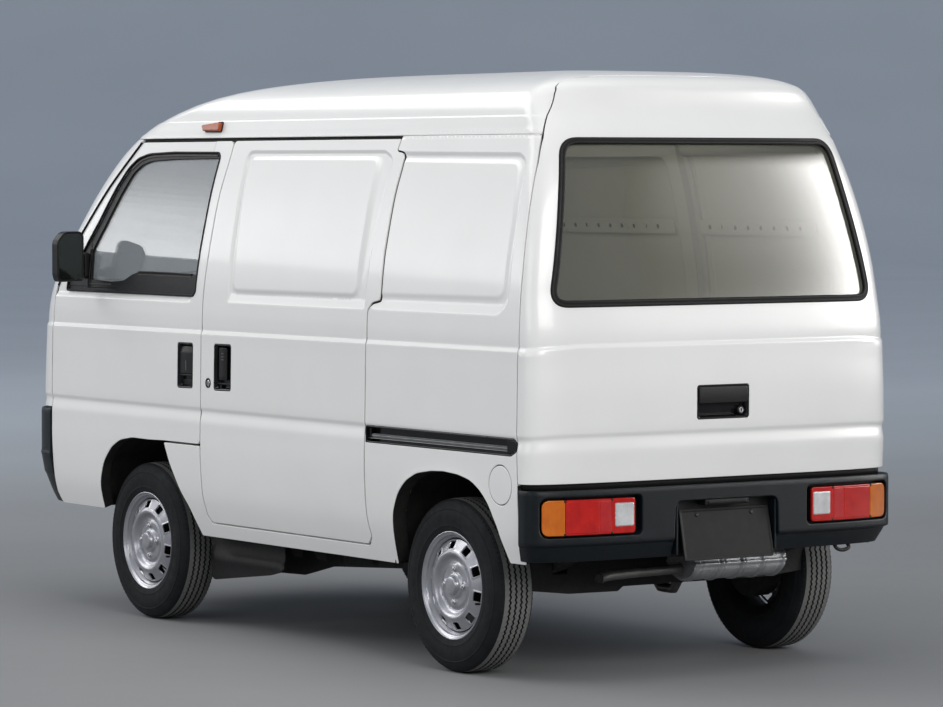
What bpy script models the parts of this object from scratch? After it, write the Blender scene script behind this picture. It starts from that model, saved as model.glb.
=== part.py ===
# Small one-box van, high roof, blank-sided cargo body.
# Metres. +X forward, +Y left, +Z up. Origin on the ground under the middle of the body.
import bpy
import bmesh
import math
from mathutils import Matrix, Vector

# ---------------------------------------------------------------- driving dimensions
LENGTH = 3.295            # over the bumpers
BODY_WIDTH = 1.395        # over the body sides
ROOF_TOP = 1.8598
FRONT_AXLE_X = 0.784
REAR_AXLE_X = -1.107
WHEEL_Z = 0.2700          # wheel centre height
TYRE_R = 0.2700
TYRE_Y = 0.5825           # wheel centre plane, each side
TYRE_HALF = 0.0725
RIM_R = 0.1660

GAP = 0.0035              # half of the seam round a moving panel
TOUCH = 0.0003            # gap between solids that rest on each other
T_DOOR = 0.042
T_SIDE = 0.055
T_FRAME_OUT = 0.048
T_FRAME_IN = 0.085
T_ROOF = 0.034
T_NOSE = 0.050
T_GATE = 0.042

ROOF_EDGE_Z = 1.6550      # drip line, bottom edge of the roof pressing
DOOR_TOP_Z = 1.6450
NOSE_BOTTOM_Z = 0.7060

STEER_TOP = Vector((FRONT_AXLE_X, 0.44, 0.62))
STEER_LOW = Vector((FRONT_AXLE_X, 0.55, 0.17))
DOOR_HINGE_X = 1.3825
DOOR_HINGE_Y = 0.7000
GATE_HINGE_X = -1.3900
GATE_HINGE_Z = 1.8420
LID_HINGE = (-1.3790, 0.6990)
LID_X = -1.4390
LID_Z = 0.6020
LID_R = 0.0585

# ---------------------------------------------------------------- clean start
for ob in list(bpy.data.objects):
    bpy.data.objects.remove(ob, do_unlink=True)

PARTS = bpy.data.collections.new("microvan")
CUTTERS = bpy.data.collections.new("microvan_cutters")
bpy.context.scene.collection.children.link(PARTS)
bpy.context.scene.collection.children.link(CUTTERS)


# ---------------------------------------------------------------- helpers
def material(name, color, rough, metal=0.0, alpha=1.0):
    m = bpy.data.materials.new(name)
    m.use_nodes = True
    b = m.node_tree.nodes["Principled BSDF"]
    b.inputs["Base Color"].default_value = (color[0], color[1], color[2], 1.0)
    b.inputs["Roughness"].default_value = rough
    b.inputs["Metallic"].default_value = metal
    b.inputs["Alpha"].default_value = alpha
    return m


def add(name, mesh, coll=None, loc=(0, 0, 0)):
    ob = bpy.data.objects.new(name, mesh)
    ob.location = loc
    (coll or PARTS).objects.link(ob)
    if coll is CUTTERS:
        ob.hide_render = True
        ob.display_type = 'WIRE'
    return ob


def interp(table, t):
    """Straight-line reading of a table of (station, value)."""
    if t <= table[0][0]:
        return table[0][1]
    for (a, va), (b, vb) in zip(table, table[1:]):
        if t <= b:
            return va + (vb - va) * (t - a) / (b - a)
    return table[-1][1]


def baked(ob):
    """The evaluated mesh of an object, in world space, with caps welded."""
    bpy.context.view_layer.update()
    dg = bpy.context.evaluated_depsgraph_get()
    me = bpy.data.meshes.new_from_object(ob.evaluated_get(dg))
    me.transform(ob.matrix_world)
    bm = bmesh.new()
    bm.from_mesh(me)
    bmesh.ops.remove_doubles(bm, verts=bm.verts, dist=1e-5)
    bm.to_mesh(me)
    bm.free()
    return me


def replace_by_mesh(ob, name, coll=None):
    me = baked(ob)
    bpy.data.objects.remove(ob, do_unlink=True)
    return add(name, me, coll)


def outline(name, pts, half, axis, mid=0.0, coll=None):
    """A flat outline extruded by half each way along an axis.
    axis Y: pts are (x, z); axis X: pts are (y, z); axis Z: pts are (x, y)."""
    cu = bpy.data.curves.new(name, 'CURVE')
    cu.dimensions = '2D'
    cu.fill_mode = 'BOTH'
    cu.extrude = half
    sp = cu.splines.new('POLY')
    sp.points.add(len(pts) - 1)
    for p, q in zip(sp.points, pts):
        p.co = (q[0], q[1], 0.0, 1.0)
    sp.use_cyclic_u = True
    ob = bpy.data.objects.new(name + "_curve", cu)
    bpy.context.scene.collection.objects.link(ob)
    if axis == 'Y':      # local x->X, local y->Z, local z->-Y
        ob.matrix_world = Matrix(((1, 0, 0, 0), (0, 0, -1, mid), (0, 1, 0, 0), (0, 0, 0, 1)))
    elif axis == 'X':    # local x->Y, local y->Z, local z->X
        ob.matrix_world = Matrix(((0, 0, 1, mid), (1, 0, 0, 0), (0, 1, 0, 0), (0, 0, 0, 1)))
    else:
        ob.matrix_world = Matrix.Translation((0, 0, mid))
    return replace_by_mesh(ob, name, coll)


def box(name, lo, hi, coll=None, bevel=0.0, segs=2):
    bm = bmesh.new()
    bmesh.ops.create_cube(bm, size=1.0)
    me = bpy.data.meshes.new(name)
    size = [h - l for l, h in zip(lo, hi)]
    mid = [(h + l) / 2 for l, h in zip(lo, hi)]
    bmesh.ops.scale(bm, vec=size, verts=bm.verts)
    bmesh.ops.translate(bm, vec=mid, verts=bm.verts)
    bm.to_mesh(me)
    bm.free()
    ob = add(name, me, coll)
    if bevel:
        m = ob.modifiers.new("Round", 'BEVEL')
        m.width = bevel
        m.segments = segs
        m.limit_method = 'ANGLE'
    return ob


def cylinder(name, p0, p1, r0, r1=None, segs=20, coll=None):
    p0, p1 = Vector(p0), Vector(p1)
    d = p1 - p0
    bm = bmesh.new()
    bmesh.ops.create_cone(bm, cap_ends=True, segments=segs, radius1=r0,
                          radius2=r0 if r1 is None else r1, depth=d.length)
    rot = d.to_track_quat('Z', 'Y').to_matrix().to_4x4()
    bmesh.ops.transform(bm, matrix=Matrix.Translation((p0 + p1) / 2) @ rot, verts=bm.verts)
    me = bpy.data.meshes.new(name)
    bm.to_mesh(me)
    bm.free()
    return add(name, me, coll)


def tube(name, pts, radius, coll=None, res=2):
    cu = bpy.data.curves.new(name, 'CURVE')
    cu.dimensions = '3D'
    cu.bevel_depth = radius
    cu.bevel_resolution = res
    cu.use_fill_caps = True
    sp = cu.splines.new('POLY')
    sp.points.add(len(pts) - 1)
    for p, q in zip(sp.points, pts):
        p.co = (q[0], q[1], q[2], 1.0)
    ob = bpy.data.objects.new(name + "_curve", cu)
    bpy.context.scene.collection.objects.link(ob)
    return replace_by_mesh(ob, name, coll)


def turned(name, profile, steps, closed=False, coll=None):
    """Profile of (radius, height) points turned about local Z with a Screw modifier.
    The outer side runs from the top down."""
    me = bpy.data.meshes.new(name)
    n = len(profile)
    bm = bmesh.new()
    vs = [bm.verts.new((r, 0.0, h)) for r, h in profile]
    for i in range(n - 1):
        bm.edges.new((vs[i], vs[i + 1]))
    if closed:
        bm.edges.new((vs[-1], vs[0]))
    bm.to_mesh(me)
    bm.free()
    ob = add(name, me, coll)
    m = ob.modifiers.new("Turn", 'SCREW')
    m.axis = 'Z'
    m.steps = steps
    m.render_steps = steps
    m.use_merge_vertices = True
    m.merge_threshold = 0.00005
    m.use_smooth_shade = True
    return ob


def boolean(ob, other, op):
    m = ob.modifiers.new(op.title(), 'BOOLEAN')
    m.operation = op
    m.object = other
    m.solver = 'EXACT'
    return m


def finish(ob, mat, sharp=35.0):
    """Bake the piece, clean it, shade it and give it its material."""
    me = baked(ob)
    bm = bmesh.new()
    bm.from_mesh(me)
    bmesh.ops.dissolve_degenerate(bm, dist=1e-5, edges=bm.edges)
    bmesh.ops.remove_doubles(bm, verts=bm.verts, dist=2e-5)
    loose = [v for v in bm.verts if not v.link_faces]
    bmesh.ops.delete(bm, geom=loose, context='VERTS')
    bmesh.ops.dissolve_limit(bm, angle_limit=math.radians(0.5), verts=bm.verts, edges=bm.edges)
    bmesh.ops.triangulate(bm, faces=bm.faces)
    bmesh.ops.recalc_face_normals(bm, faces=bm.faces)
    bm.to_mesh(me)
    bm.free()
    me.shade_smooth()
    me.set_sharp_from_angle(angle=math.radians(sharp))
    ob.modifiers.clear()
    old = ob.matrix_world.copy()
    me.transform(old.inverted())
    ob.data = me
    me.materials.clear()
    me.materials.append(mat)
    return ob


def union(name, first, rest, coll=None):
    for r in rest:
        boolean(first, r, 'UNION')
    me = baked(first)
    for r in rest:
        bpy.data.objects.remove(r, do_unlink=True)
    bpy.data.objects.remove(first, do_unlink=True)
    return add(name, me, coll)


def set_origin(ob, point):
    p = Vector(point)
    ob.data.transform(Matrix.Translation(-p))
    ob.location = p
    bpy.context.view_layer.update()


def mirrored(ob, name, coll=None):
    """The same piece on the other side of the van."""
    bpy.context.view_layer.update()
    me = ob.data.copy()
    me.transform(ob.matrix_world)
    me.transform(Matrix.Scale(-1.0, 4, (0, 1, 0)))
    bm = bmesh.new()
    bm.from_mesh(me)
    bmesh.ops.reverse_faces(bm, faces=bm.faces)
    bm.to_mesh(me)
    bm.free()
    new = add(name, me, coll)
    loc = ob.location
    if loc.length > 0:
        set_origin(new, (loc.x, -loc.y, loc.z))
    return new


# ---------------------------------------------------------------- outer body surface
# stations up the height: (z, half width, front centre x, rear centre x, front exponent, rear exponent)
STATIONS = [
    (0.3000, 0.6400, 1.578, -1.585, 3.4, 4.0),
    (0.3450, 0.6560, 1.594, -1.600, 3.4, 4.0),
    (0.4000, 0.6730, 1.606, -1.612, 3.4, 4.0),
    (0.4550, 0.6870, 1.612, -1.618, 3.4, 4.0),
    (0.5500, 0.6945, 1.616, -1.622, 3.4, 4.0),
    (0.6200, 0.6970, 1.618, -1.624, 3.4, 4.0),
    (0.7220, 0.6945, 1.618, -1.630, 3.4, 4.0),
    (0.7450, 0.6915, 1.622, -1.634, 3.4, 4.0),
    (0.8700, 0.6915, 1.627, -1.634, 3.3, 4.0),
    (0.9980, 0.6905, 1.622, -1.629, 3.2, 3.9),
    (1.0120, 0.6885, 1.620, -1.626, 3.2, 3.9),
    (1.0550, 0.6855, 1.618, -1.622, 3.1, 4.1),
    (1.1080, 0.6814, 1.608, -1.614, 3.0, 4.4),
    (1.1500, 0.6796, 1.588, -1.605, 3.0, 4.6),
    (1.2600, 0.6651, 1.514, -1.593, 3.0, 4.8),
    (1.3600, 0.6469, 1.441, -1.578, 3.0, 4.8),
    (1.4500, 0.6288, 1.371, -1.561, 3.0, 4.6),
    (1.5300, 0.6087, 1.303, -1.545, 3.0, 4.3),
    (1.6000, 0.5881, 1.234, -1.530, 3.0, 3.9),
    (1.6550, 0.5735, 1.162, -1.510, 2.8, 3.7),
    (1.7000, 0.5647, 1.073, -1.486, 2.7, 3.5),
    (1.7350, 0.5565, 0.968, -1.469, 2.6, 3.3),
    (1.7702, 0.5389, 0.837, -1.460, 2.6, 3.2),
    (1.7999, 0.5089, 0.683, -1.455, 2.5, 3.3),
    (1.8248, 0.4497, 0.494, -1.428, 2.5, 3.4),
    (1.8428, 0.3682, 0.283, -1.362, 2.4, 3.4),
    (1.8538, 0.2615, 0.038, -1.235, 2.4, 3.2),
    (ROOF_TOP, 0.1392, -0.260, -1.030, 2.4, 2.8),
]
FRONT_CORNER = 0.300      # length of the rounded front corner along X
REAR_CORNER = 0.115
QUARTER_STEPS = 6


def side_normal(i):
    """Outward normal of the side profile at a station, in (y, z)."""
    a = STATIONS[max(i - 1, 0)]
    b = STATIONS[min(i + 1, len(STATIONS) - 1)]
    dz, dw = b[0] - a[0], b[1] - a[1]
    n = math.hypot(dz, dw)
    return dz / n, -dw / n


def body_ring(i, inset):
    z, w, xf, xr, pf, pr = STATIONS[i]
    ny, nz = side_normal(i)
    w2 = max(w - inset * ny, 0.04)
    z2 = z - inset * nz
    k = max(ny, 0.0)
    xf2 = xf - inset * (0.35 + 0.85 * k)
    xr2 = xr + inset * (0.15 + 0.85 * k)
    fc = min(FRONT_CORNER, w2 * 0.9)
    rc = min(REAR_CORNER, w2 * 0.5)
    half = []
    for k in range(QUARTER_STEPS + 1):
        t = math.pi / 2 * k / QUARTER_STEPS
        half.append((xf2 - fc + fc * math.cos(t) ** (2 / pf), w2 * math.sin(t) ** (2 / pf)))
    for k in range(QUARTER_STEPS, -1, -1):
        t = math.pi / 2 * k / QUARTER_STEPS
        half.append((xr2 + rc - rc * math.cos(t) ** (2 / pr), w2 * math.sin(t) ** (2 / pr)))
    full = half + [(x, -y) for x, y in reversed(half[1:-1])]
    return [(x, y, z2) for x, y in full]


def body_solid(name, inset, drop=0.0):
    """Loft through all the stations, inset by a wall thickness; drop lowers its floor."""
    bm = bmesh.new()
    rings = []
    for i in range(len(STATIONS)):
        pts = body_ring(i, inset)
        if i == 0 and drop:
            pts = [(x, y, z - drop) for x, y, z in pts]
        rings.append([bm.verts.new(p) for p in pts])
    n = len(rings[0])
    for a, b in zip(rings, rings[1:]):
        for k in range(n):
            bm.faces.new((a[k], a[(k + 1) % n], b[(k + 1) % n], b[k]))
    bm.faces.new(list(reversed(rings[0])))
    bm.faces.new(rings[-1])
    bmesh.ops.recalc_face_normals(bm, faces=bm.faces)
    bmesh.ops.triangulate(bm, faces=bm.faces)
    me = bpy.data.meshes.new(name)
    bm.to_mesh(me)
    bm.free()
    return add(name, me, CUTTERS)


def shell(name, t_out, t_in):
    a = body_solid(name + "_out", t_out)
    b = body_solid(name + "_in", t_in, drop=0.05)
    boolean(a, b, 'DIFFERENCE')
    me = baked(a)
    bpy.data.objects.remove(a, do_unlink=True)
    bpy.data.objects.remove(b, do_unlink=True)
    return me


SHELL_DOOR = shell("shell_door", 0.0, T_DOOR)
SHELL_SIDE = shell("shell_side", 0.0, T_SIDE)
SHELL_FRAME = shell("shell_frame", T_FRAME_OUT, T_FRAME_IN)
SHELL_ROOF = shell("shell_roof", 0.0, T_ROOF)
SHELL_NOSE = shell("shell_nose", 0.0, T_NOSE)
SHELL_GLASS = shell("shell_glass", 0.006, 0.011)


def panel(name, mesh, region, cuts=()):
    """Piece of a body shell inside a region, with openings cut."""
    ob = add(name, mesh.copy())
    boolean(ob, region, 'INTERSECT')
    for c in cuts:
        boolean(ob, c, 'DIFFERENCE')
    return ob


# ---------------------------------------------------------------- seam lines, side view (x, z)
SEAM_FRONT = [(1.386, 0.300), (1.386, 1.020), (1.382, 1.100), (1.370, 1.140), (1.235, 1.333),
              (1.096, 1.490), (0.956, 1.632), (0.940, DOOR_TOP_Z)]
SEAM_B = [(0.341, 0.440), (0.342, 1.030), (0.343, 1.105), (0.338, 1.190), (0.333, 1.263), (0.331, 1.327),
          (0.329, 1.400), (0.324, 1.477), (0.315, 1.545), (0.311, 1.596), (0.307, DOOR_TOP_Z)]
SEAM_C = [(-0.718, DOOR_TOP_Z + GAP), (-0.709, 1.612), (-0.714, 1.607), (-0.735, 1.605), (-0.750, 1.600),
          (-0.756, 1.588), (-0.755, 1.544), (-0.749, 1.476), (-0.747, 1.384), (-0.746, 1.284),
          (-0.750, 1.153), (-0.746, 1.137), (-0.706, 1.129), (-0.682, 1.107), (-0.682, 0.455),
          (-0.688, 0.392), (-0.662, 0.3635)]
SEAM_GATE = [(-1.532, 0.300), (-1.531, 0.606), (-1.523, 0.743), (-1.523, 1.071), (-1.517, 1.249),
             (-1.497, 1.457), (-1.482, 1.568), (-1.464, 1.646), (-1.439, 1.712), (-1.424, 1.767),
             (-1.417, 1.790), (-1.404, 1.810), (-1.390, 1.832), (-1.390, 1.950)]
GATE_LOW = [p for p in SEAM_GATE if 0.60 < p[1] < ROOF_EDGE_Z]
GATE_HIGH = [p for p in SEAM_GATE if ROOF_EDGE_Z < p[1] < 1.90]
GATE_AT_EDGE = -1.4605        # the gate seam's x at the drip line
ARCH_FRONT = [(1.058, 0.200), (1.058, 0.361), (1.050, 0.453), (1.012, 0.533), (0.950, 0.588),
              (0.888, 0.615), (0.804, 0.627), (0.688, 0.626), (0.584, 0.6215)]
ARCH_SILL = [(0.584, 0.6215), (0.551, 0.556), (0.497, 0.475), (0.448, 0.412), (0.424, 0.355),
             (0.408, 0.314)]
ARCH_REAR = [(-0.806, 0.314), (-0.826, 0.420), (-0.838, 0.480), (-0.872, 0.544), (-0.921, 0.585),
             (-0.982, 0.611), (-1.064, 0.623), (-1.131, 0.626), (-1.211, 0.621), (-1.283, 0.607),
             (-1.336, 0.577), (-1.374, 0.540), (-1.413, 0.476), (-1.440, 0.400), (-1.450, 0.366)]


def shifted(line, dx):
    return [(x + dx, z) for x, z in line]


def offset_line(line, d):
    """An open line moved sideways by d, to the left of its direction; the ends keep their height."""
    out = []
    for i, p in enumerate(line):
        p = Vector(p)
        a = (p - Vector(line[i - 1])).normalized() if i > 0 else None
        b = (Vector(line[i + 1]) - p).normalized() if i < len(line) - 1 else None
        a = a or b
        b = b or a
        na, nb = Vector((-a.y, a.x)), Vector((-b.y, b.x))
        m = (na + nb).normalized()
        q = p + m * (d / max(m.dot(na), 0.5))
        out.append((q.x, p.y if i in (0, len(line) - 1) else q.y))
    return out


Y_MID, Y_HALF = 0.5, 0.5          # side cutters run from y = 0 to y = 1

# front door
door_pts = ([(1.386 - GAP, 0.402), (1.362, 0.3635), (1.058, 0.3635)] + ARCH_FRONT[2:-1]
            + [(0.584, 0.6285), (0.341 + GAP, 0.6285)]
            + shifted(SEAM_B[1:], GAP)
            + [(0.940 - GAP, DOOR_TOP_Z)] + list(reversed(shifted(SEAM_FRONT[1:-1], -GAP))))
region = outline("door_front_region", door_pts, Y_HALF, 'Y', Y_MID, CUTTERS)
WINDOW_DOOR = [(0.428, 1.125), (0.400, 1.145), (0.376, 1.590), (0.390, 1.605), (0.691, 1.607),
               (0.861, 1.602), (0.931, 1.587), (0.980, 1.555), (1.035, 1.488), (1.112, 1.373),
               (1.190, 1.270), (1.288, 1.152), (1.292, 1.125)]


def scaled_outline(pts, d):
    """The outline moved in by d all round (mitred)."""
    n = len(pts)
    area = sum(pts[i][0] * pts[(i + 1) % n][1] - pts[(i + 1) % n][0] * pts[i][1] for i in range(n))
    s = 1.0 if area > 0 else -1.0
    out = []
    for i in range(n):
        p0, p1, p2 = Vector(pts[i - 1]), Vector(pts[i]), Vector(pts[(i + 1) % n])
        a = (p1 - p0).normalized()
        b = (p2 - p1).normalized()
        na = Vector((-a.y, a.x)) * s
        nb = Vector((-b.y, b.x)) * s
        m = (na + nb).normalized()
        out.append(tuple(p1 + m * (d / max(m.dot(na), 0.4))))
    return out


window = outline("door_window_cut", WINDOW_DOOR, Y_HALF, 'Y', Y_MID, CUTTERS)
pane = outline("door_pane_region", scaled_outline(WINDOW_DOOR, TOUCH), Y_HALF, 'Y', Y_MID, CUTTERS)

PAINT = material("body_paint", (0.86, 0.86, 0.85), 0.18)
PAINT_DOOR = material("door_paint", (0.86, 0.86, 0.85), 0.18)
GLASS_M = material("clear_glass", (0.55, 0.60, 0.58), 0.03, 0.0, 0.35)
GLASS_T = material("tinted_glass", (0.22, 0.21, 0.17), 0.03, 0.0, 0.5)
PLASTIC = material("bumper_plastic", (0.045, 0.052, 0.062), 0.45)
BLACK = material("black_trim", (0.012, 0.012, 0.013), 0.4)
LAMP = material("lamp_lens", (0.70, 0.05, 0.03), 0.1)
HEAD = material("headlamp_lens", (0.80, 0.82, 0.84), 0.05)
RUBBER = material("tyre_rubber", (0.018, 0.018, 0.020), 0.75)
STEEL = material("wheel_steel", (0.62, 0.63, 0.68), 0.35, 0.8)
IRON = material("chassis_iron", (0.03, 0.03, 0.032), 0.6, 0.3)
SILVER = material("exhaust_steel", (0.55, 0.55, 0.55), 0.4, 0.9)
PLATE = material("plate", (0.05, 0.05, 0.055), 0.5)
SEAT = material("seat_cloth", (0.16, 0.17, 0.19), 0.9)
DASH = material("dash_plastic", (0.10, 0.11, 0.12), 0.6)

front_door_left = panel("front_door_left", SHELL_DOOR, region, [window])
finish(front_door_left, PAINT_DOOR)
set_origin(front_door_left, (DOOR_HINGE_X, DOOR_HINGE_Y, 0.90))
mirrored(front_door_left, "front_door_right")
door_glass_left = panel("door_glass_left", SHELL_GLASS, pane)
finish(door_glass_left, GLASS_M)
mirrored(door_glass_left, "door_glass_right")

# sliding door
slide_pts = (list(reversed(shifted(SEAM_B[1:], -GAP)))
             + [(0.341 - GAP, 0.462), (0.332, 0.392), (0.312, 0.3635 + GAP), (-0.656, 0.3635 + GAP)]
             + list(reversed(offset_line(SEAM_C[:-1], GAP)[1:]))
             + [(-0.718 + GAP, DOOR_TOP_Z)])
region = outline("door_slide_region", slide_pts, Y_HALF, 'Y', Y_MID, CUTTERS)
sliding_door_left = panel("sliding_door_left", SHELL_DOOR, region)
finish(sliding_door_left, PAINT_DOOR)
mirrored(sliding_door_left, "sliding_door_right")

# ---------------------------------------------------------------- body side: quarter panel, rocker, door frame
side_pts = (shifted(GATE_LOW, GAP) + [(GATE_AT_EDGE + GAP, ROOF_EDGE_Z - TOUCH)]
            + [(-0.720 - GAP, ROOF_EDGE_Z - TOUCH)]
            + offset_line(SEAM_C[:-1], -GAP) + [(-0.664, 0.3635 - GAP),
               (0.318, 0.3635 - GAP), (0.3385, 0.390), (0.341 + GAP, 0.462), (0.341 + GAP, 0.6215)]
            + ARCH_SILL + ARCH_REAR + [(-1.532 + GAP, 0.366)])
region = outline("side_region", side_pts, 0.30, 'Y', 0.66, CUTTERS)
frame_pts = [(0.395, 0.3145), (0.395, 1.612), (0.900, 1.612), (0.900, ROOF_EDGE_Z - TOUCH),
             (-0.800, ROOF_EDGE_Z - TOUCH), (-0.800, 0.3145)]
frame_hole = [(0.250, 0.430), (0.250, 1.612), (-0.650, 1.612), (-0.650, 0.430)]
frame_region = outline("frame_region", frame_pts, 0.30, 'Y', 0.66, CUTTERS)
frame_cut = outline("frame_cut", frame_hole, Y_HALF + 0.1, 'Y', Y_MID, CUTTERS)
side_skin = panel("side_skin", SHELL_SIDE, region)
side_frame = panel("side_frame", SHELL_FRAME, frame_region, [frame_cut])
lid_cut = cylinder("lid_recess", (LID_X, 0.666, LID_Z), (LID_X, 0.80, LID_Z), LID_R + 0.0055, segs=24,
                   coll=CUTTERS)
side_panel_right = mirrored(union("side_tmp", side_skin, [side_frame], CUTTERS), "side_panel_right")
side_panel_left = mirrored(side_panel_right, "side_panel_left")
boolean(side_panel_left, lid_cut, 'DIFFERENCE')
bpy.data.objects.remove(bpy.data.objects["side_tmp"], do_unlink=True)
finish(side_panel_left, PAINT)
finish(side_panel_right, PAINT)

# fuel lid: a thin disc following the quarter panel
lid = cylinder("fuel_lid", (LID_X, 0.6855, LID_Z), (LID_X, 0.6965, LID_Z), LID_R, segs=24)
finish(lid, PAINT_DOOR)
set_origin(lid, (LID_HINGE[0], LID_HINGE[1], LID_Z))

# ---------------------------------------------------------------- roof
roof_pts = [(1.4, ROOF_EDGE_Z), (1.4, 2.0), (-1.390 + GAP, 2.0)] + list(reversed(
    shifted(GATE_HIGH, GAP))) + [(GATE_AT_EDGE + GAP, ROOF_EDGE_Z)]
region = outline("roof_region", roof_pts, 1.0, 'Y', 0.0, CUTTERS)
roof = panel("roof_panel", SHELL_ROOF, region)
finish(roof, PAINT)

# ---------------------------------------------------------------- nose and screen pillars
nose_pts = (shifted(SEAM_FRONT[1:-1], GAP) + [(0.940 + GAP, DOOR_TOP_Z), (0.930, ROOF_EDGE_Z - TOUCH),
            (2.0, ROOF_EDGE_Z - TOUCH), (2.0, NOSE_BOTTOM_Z), (1.386 + GAP, NOSE_BOTTOM_Z)])
region = outline("nose_region", nose_pts, 1.0, 'Y', 0.0, CUTTERS)
SCREEN = [(-0.592, 1.200), (-0.580, 1.165), (-0.540, 1.150), (-0.300, 1.140), (0.300, 1.140),
          (0.540, 1.150), (0.580, 1.165), (0.592, 1.200), (0.510, 1.590), (0.480, 1.622),
          (0.300, 1.630), (-0.300, 1.630), (-0.480, 1.622), (-0.510, 1.590)]
screen_cut = outline("screen_cut", SCREEN, 0.5, 'X', 1.4, CUTTERS)
nose = panel("front_panel", SHELL_NOSE, region, [screen_cut])
finish(nose, PAINT)
screen_region = outline("screen_region", scaled_outline(SCREEN, TOUCH), 0.5, 'X', 1.4, CUTTERS)
screen = panel("windscreen", SHELL_GLASS, screen_region)
finish(screen, GLASS_M)

# ---------------------------------------------------------------- tailgate
gate_pts = ([(-2.0, 0.6095), (-1.531 - GAP, 0.6095)] + shifted(SEAM_GATE[2:-1], -GAP)
            + [(-1.390 - GAP, 2.0), (-2.0, 2.0)])
region = outline("gate_region", gate_pts, 1.0, 'Y', 0.0, CUTTERS)
REAR_WINDOW = [(-0.600, 1.190), (-0.592, 1.158), (-0.560, 1.146), (0.560, 1.146), (0.592, 1.158),
               (0.600, 1.190), (0.522, 1.570), (0.505, 1.612), (0.460, 1.636), (-0.460, 1.636),
               (-0.505, 1.612), (-0.522, 1.570)]
rear_cut = outline("rear_window_cut", REAR_WINDOW, 0.3, 'X', -1.6, CUTTERS)
gate = panel("tailgate", SHELL_DOOR, region, [rear_cut])
finish(gate, PAINT_DOOR)
set_origin(gate, (GATE_HINGE_X, 0.0, GATE_HINGE_Z))
rear_region = outline("rear_pane_region", scaled_outline(REAR_WINDOW, TOUCH), 0.3, 'X', -1.6, CUTTERS)
gate_glass = panel("tailgate_glass", SHELL_GLASS, rear_region)
finish(gate_glass, GLASS_T)

# ---------------------------------------------------------------- floor, one stepped pressing
FLOOR_LINE = [(1.425, 0.760), (1.355, 0.440), (1.105, 0.440), (1.105, 0.650), (-1.545, 0.650),
              (-1.545, 0.420)]
FLOOR_HALF_Y = 0.585
bm = bmesh.new()
vs = [bm.verts.new((x, -FLOOR_HALF_Y, z)) for x, z in FLOOR_LINE]
es = [bm.edges.new((vs[i], vs[i + 1])) for i in range(len(vs) - 1)]
bmesh.ops.extrude_edge_only(bm, edges=es)
bm.verts.ensure_lookup_table()
for v in bm.verts[len(FLOOR_LINE):]:
    v.co.y = FLOOR_HALF_Y
me = bpy.data.meshes.new("floor_pan")
bm.to_mesh(me)
bm.free()
floor = add("floor_pan", me)
m = floor.modifiers.new("Thick", 'SOLIDIFY')
m.thickness = 0.012
m.offset = 0.0
m.use_even_offset = True
finish(floor, PAINT)

# ---------------------------------------------------------------- chassis: two rails and cross members
RAIL_LO, RAIL_HI = 0.345, 0.425
pieces = []
for s in (1, -1):
    pieces.append(box("rail", (-1.340, 0.260 * s - 0.0 if s > 0 else -0.320, RAIL_LO),
                      (1.440, 0.320 if s > 0 else -0.260, RAIL_HI), CUTTERS))
for x, lo, hi in ((1.400, 0.352, 0.418), (0.380, 0.352, 0.418), (-0.060, 0.352, 0.418),
                  (-0.900, 0.352, 0.418), (-1.300, 0.352, 0.418)):
    pieces.append(box("cross", (x - 0.035, -0.300, lo), (x + 0.035, 0.300, hi), CUTTERS))
for x in (0.600, -0.640, -1.250):
    for s in (1, -1):
        pieces.append(box("outrigger", (x - 0.03, min(0.300 * s, 0.40 * s), 0.360),
                          (x + 0.03, max(0.300 * s, 0.40 * s), 0.410), CUTTERS) if x == -0.640 else
                      box("riser", (x - 0.03, min(0.272 * s, 0.308 * s), 0.400),
                          (x + 0.03, max(0.272 * s, 0.308 * s), 0.6435), CUTTERS))
for s in (1, -1):
    pieces.append(box("jack_pad", (-0.430, 0.290 * s - 0.025, 0.333), (-0.370, 0.290 * s + 0.025, 0.350), CUTTERS))
chassis = union("chassis_frame", pieces[0], pieces[1:])
finish(chassis, IRON)

# engine: one plain block under the load floor, ahead of the rear axle
engine = box("engine_block", (-0.800, -0.245, 0.205), (-0.300, 0.245, 0.580), bevel=0.02, segs=1)
cutr = box("engine_cross_clear", (-0.99, -0.5, 0.34), (-0.80, 0.5, 0.43), CUTTERS)
finish(engine, IRON)
bpy.data.objects.remove(cutr, do_unlink=True)
tank = box("fuel_tank", (-0.260, 0.335, 0.300), (0.240, 0.550, 0.560), bevel=0.03, segs=2)
finish(tank, IRON)

# ---------------------------------------------------------------- front suspension: cross member and lower arms
cm = box("cm", (FRONT_AXLE_X - 0.04, -0.330, 0.220), (FRONT_AXLE_X + 0.04, 0.330, RAIL_LO - TOUCH), CUTTERS,
         bevel=0.012, segs=1)
arms = []
for s in (1, -1):
    arms.append(box("arm", (FRONT_AXLE_X - 0.030, min(0.300 * s, 0.498 * s), 0.166),
                    (FRONT_AXLE_X + 0.030, max(0.300 * s, 0.498 * s), 0.190), CUTTERS))
    arms.append(box("drop", (FRONT_AXLE_X - 0.030, min(0.270 * s, 0.320 * s), 0.170),
                    (FRONT_AXLE_X + 0.030, max(0.270 * s, 0.320 * s), 0.240), CUTTERS))
    arms.append(cylinder("radius_rod", (FRONT_AXLE_X + 0.01, 0.375 * s, 0.178),
                         (1.330, 0.275 * s, 0.300), 0.011, segs=8, coll=CUTTERS))
    arms.append(box("rod_seat", (1.300, min(0.250 * s, 0.300 * s), 0.280),
                    (1.350, max(0.250 * s, 0.300 * s), RAIL_LO - TOUCH), CUTTERS))
susp = union("front_suspension", cm, arms)
finish(susp, IRON)

# ---------------------------------------------------------------- knuckles: strut, brake disc and hub
steer_dir = (STEER_TOP - STEER_LOW).normalized()


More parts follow.
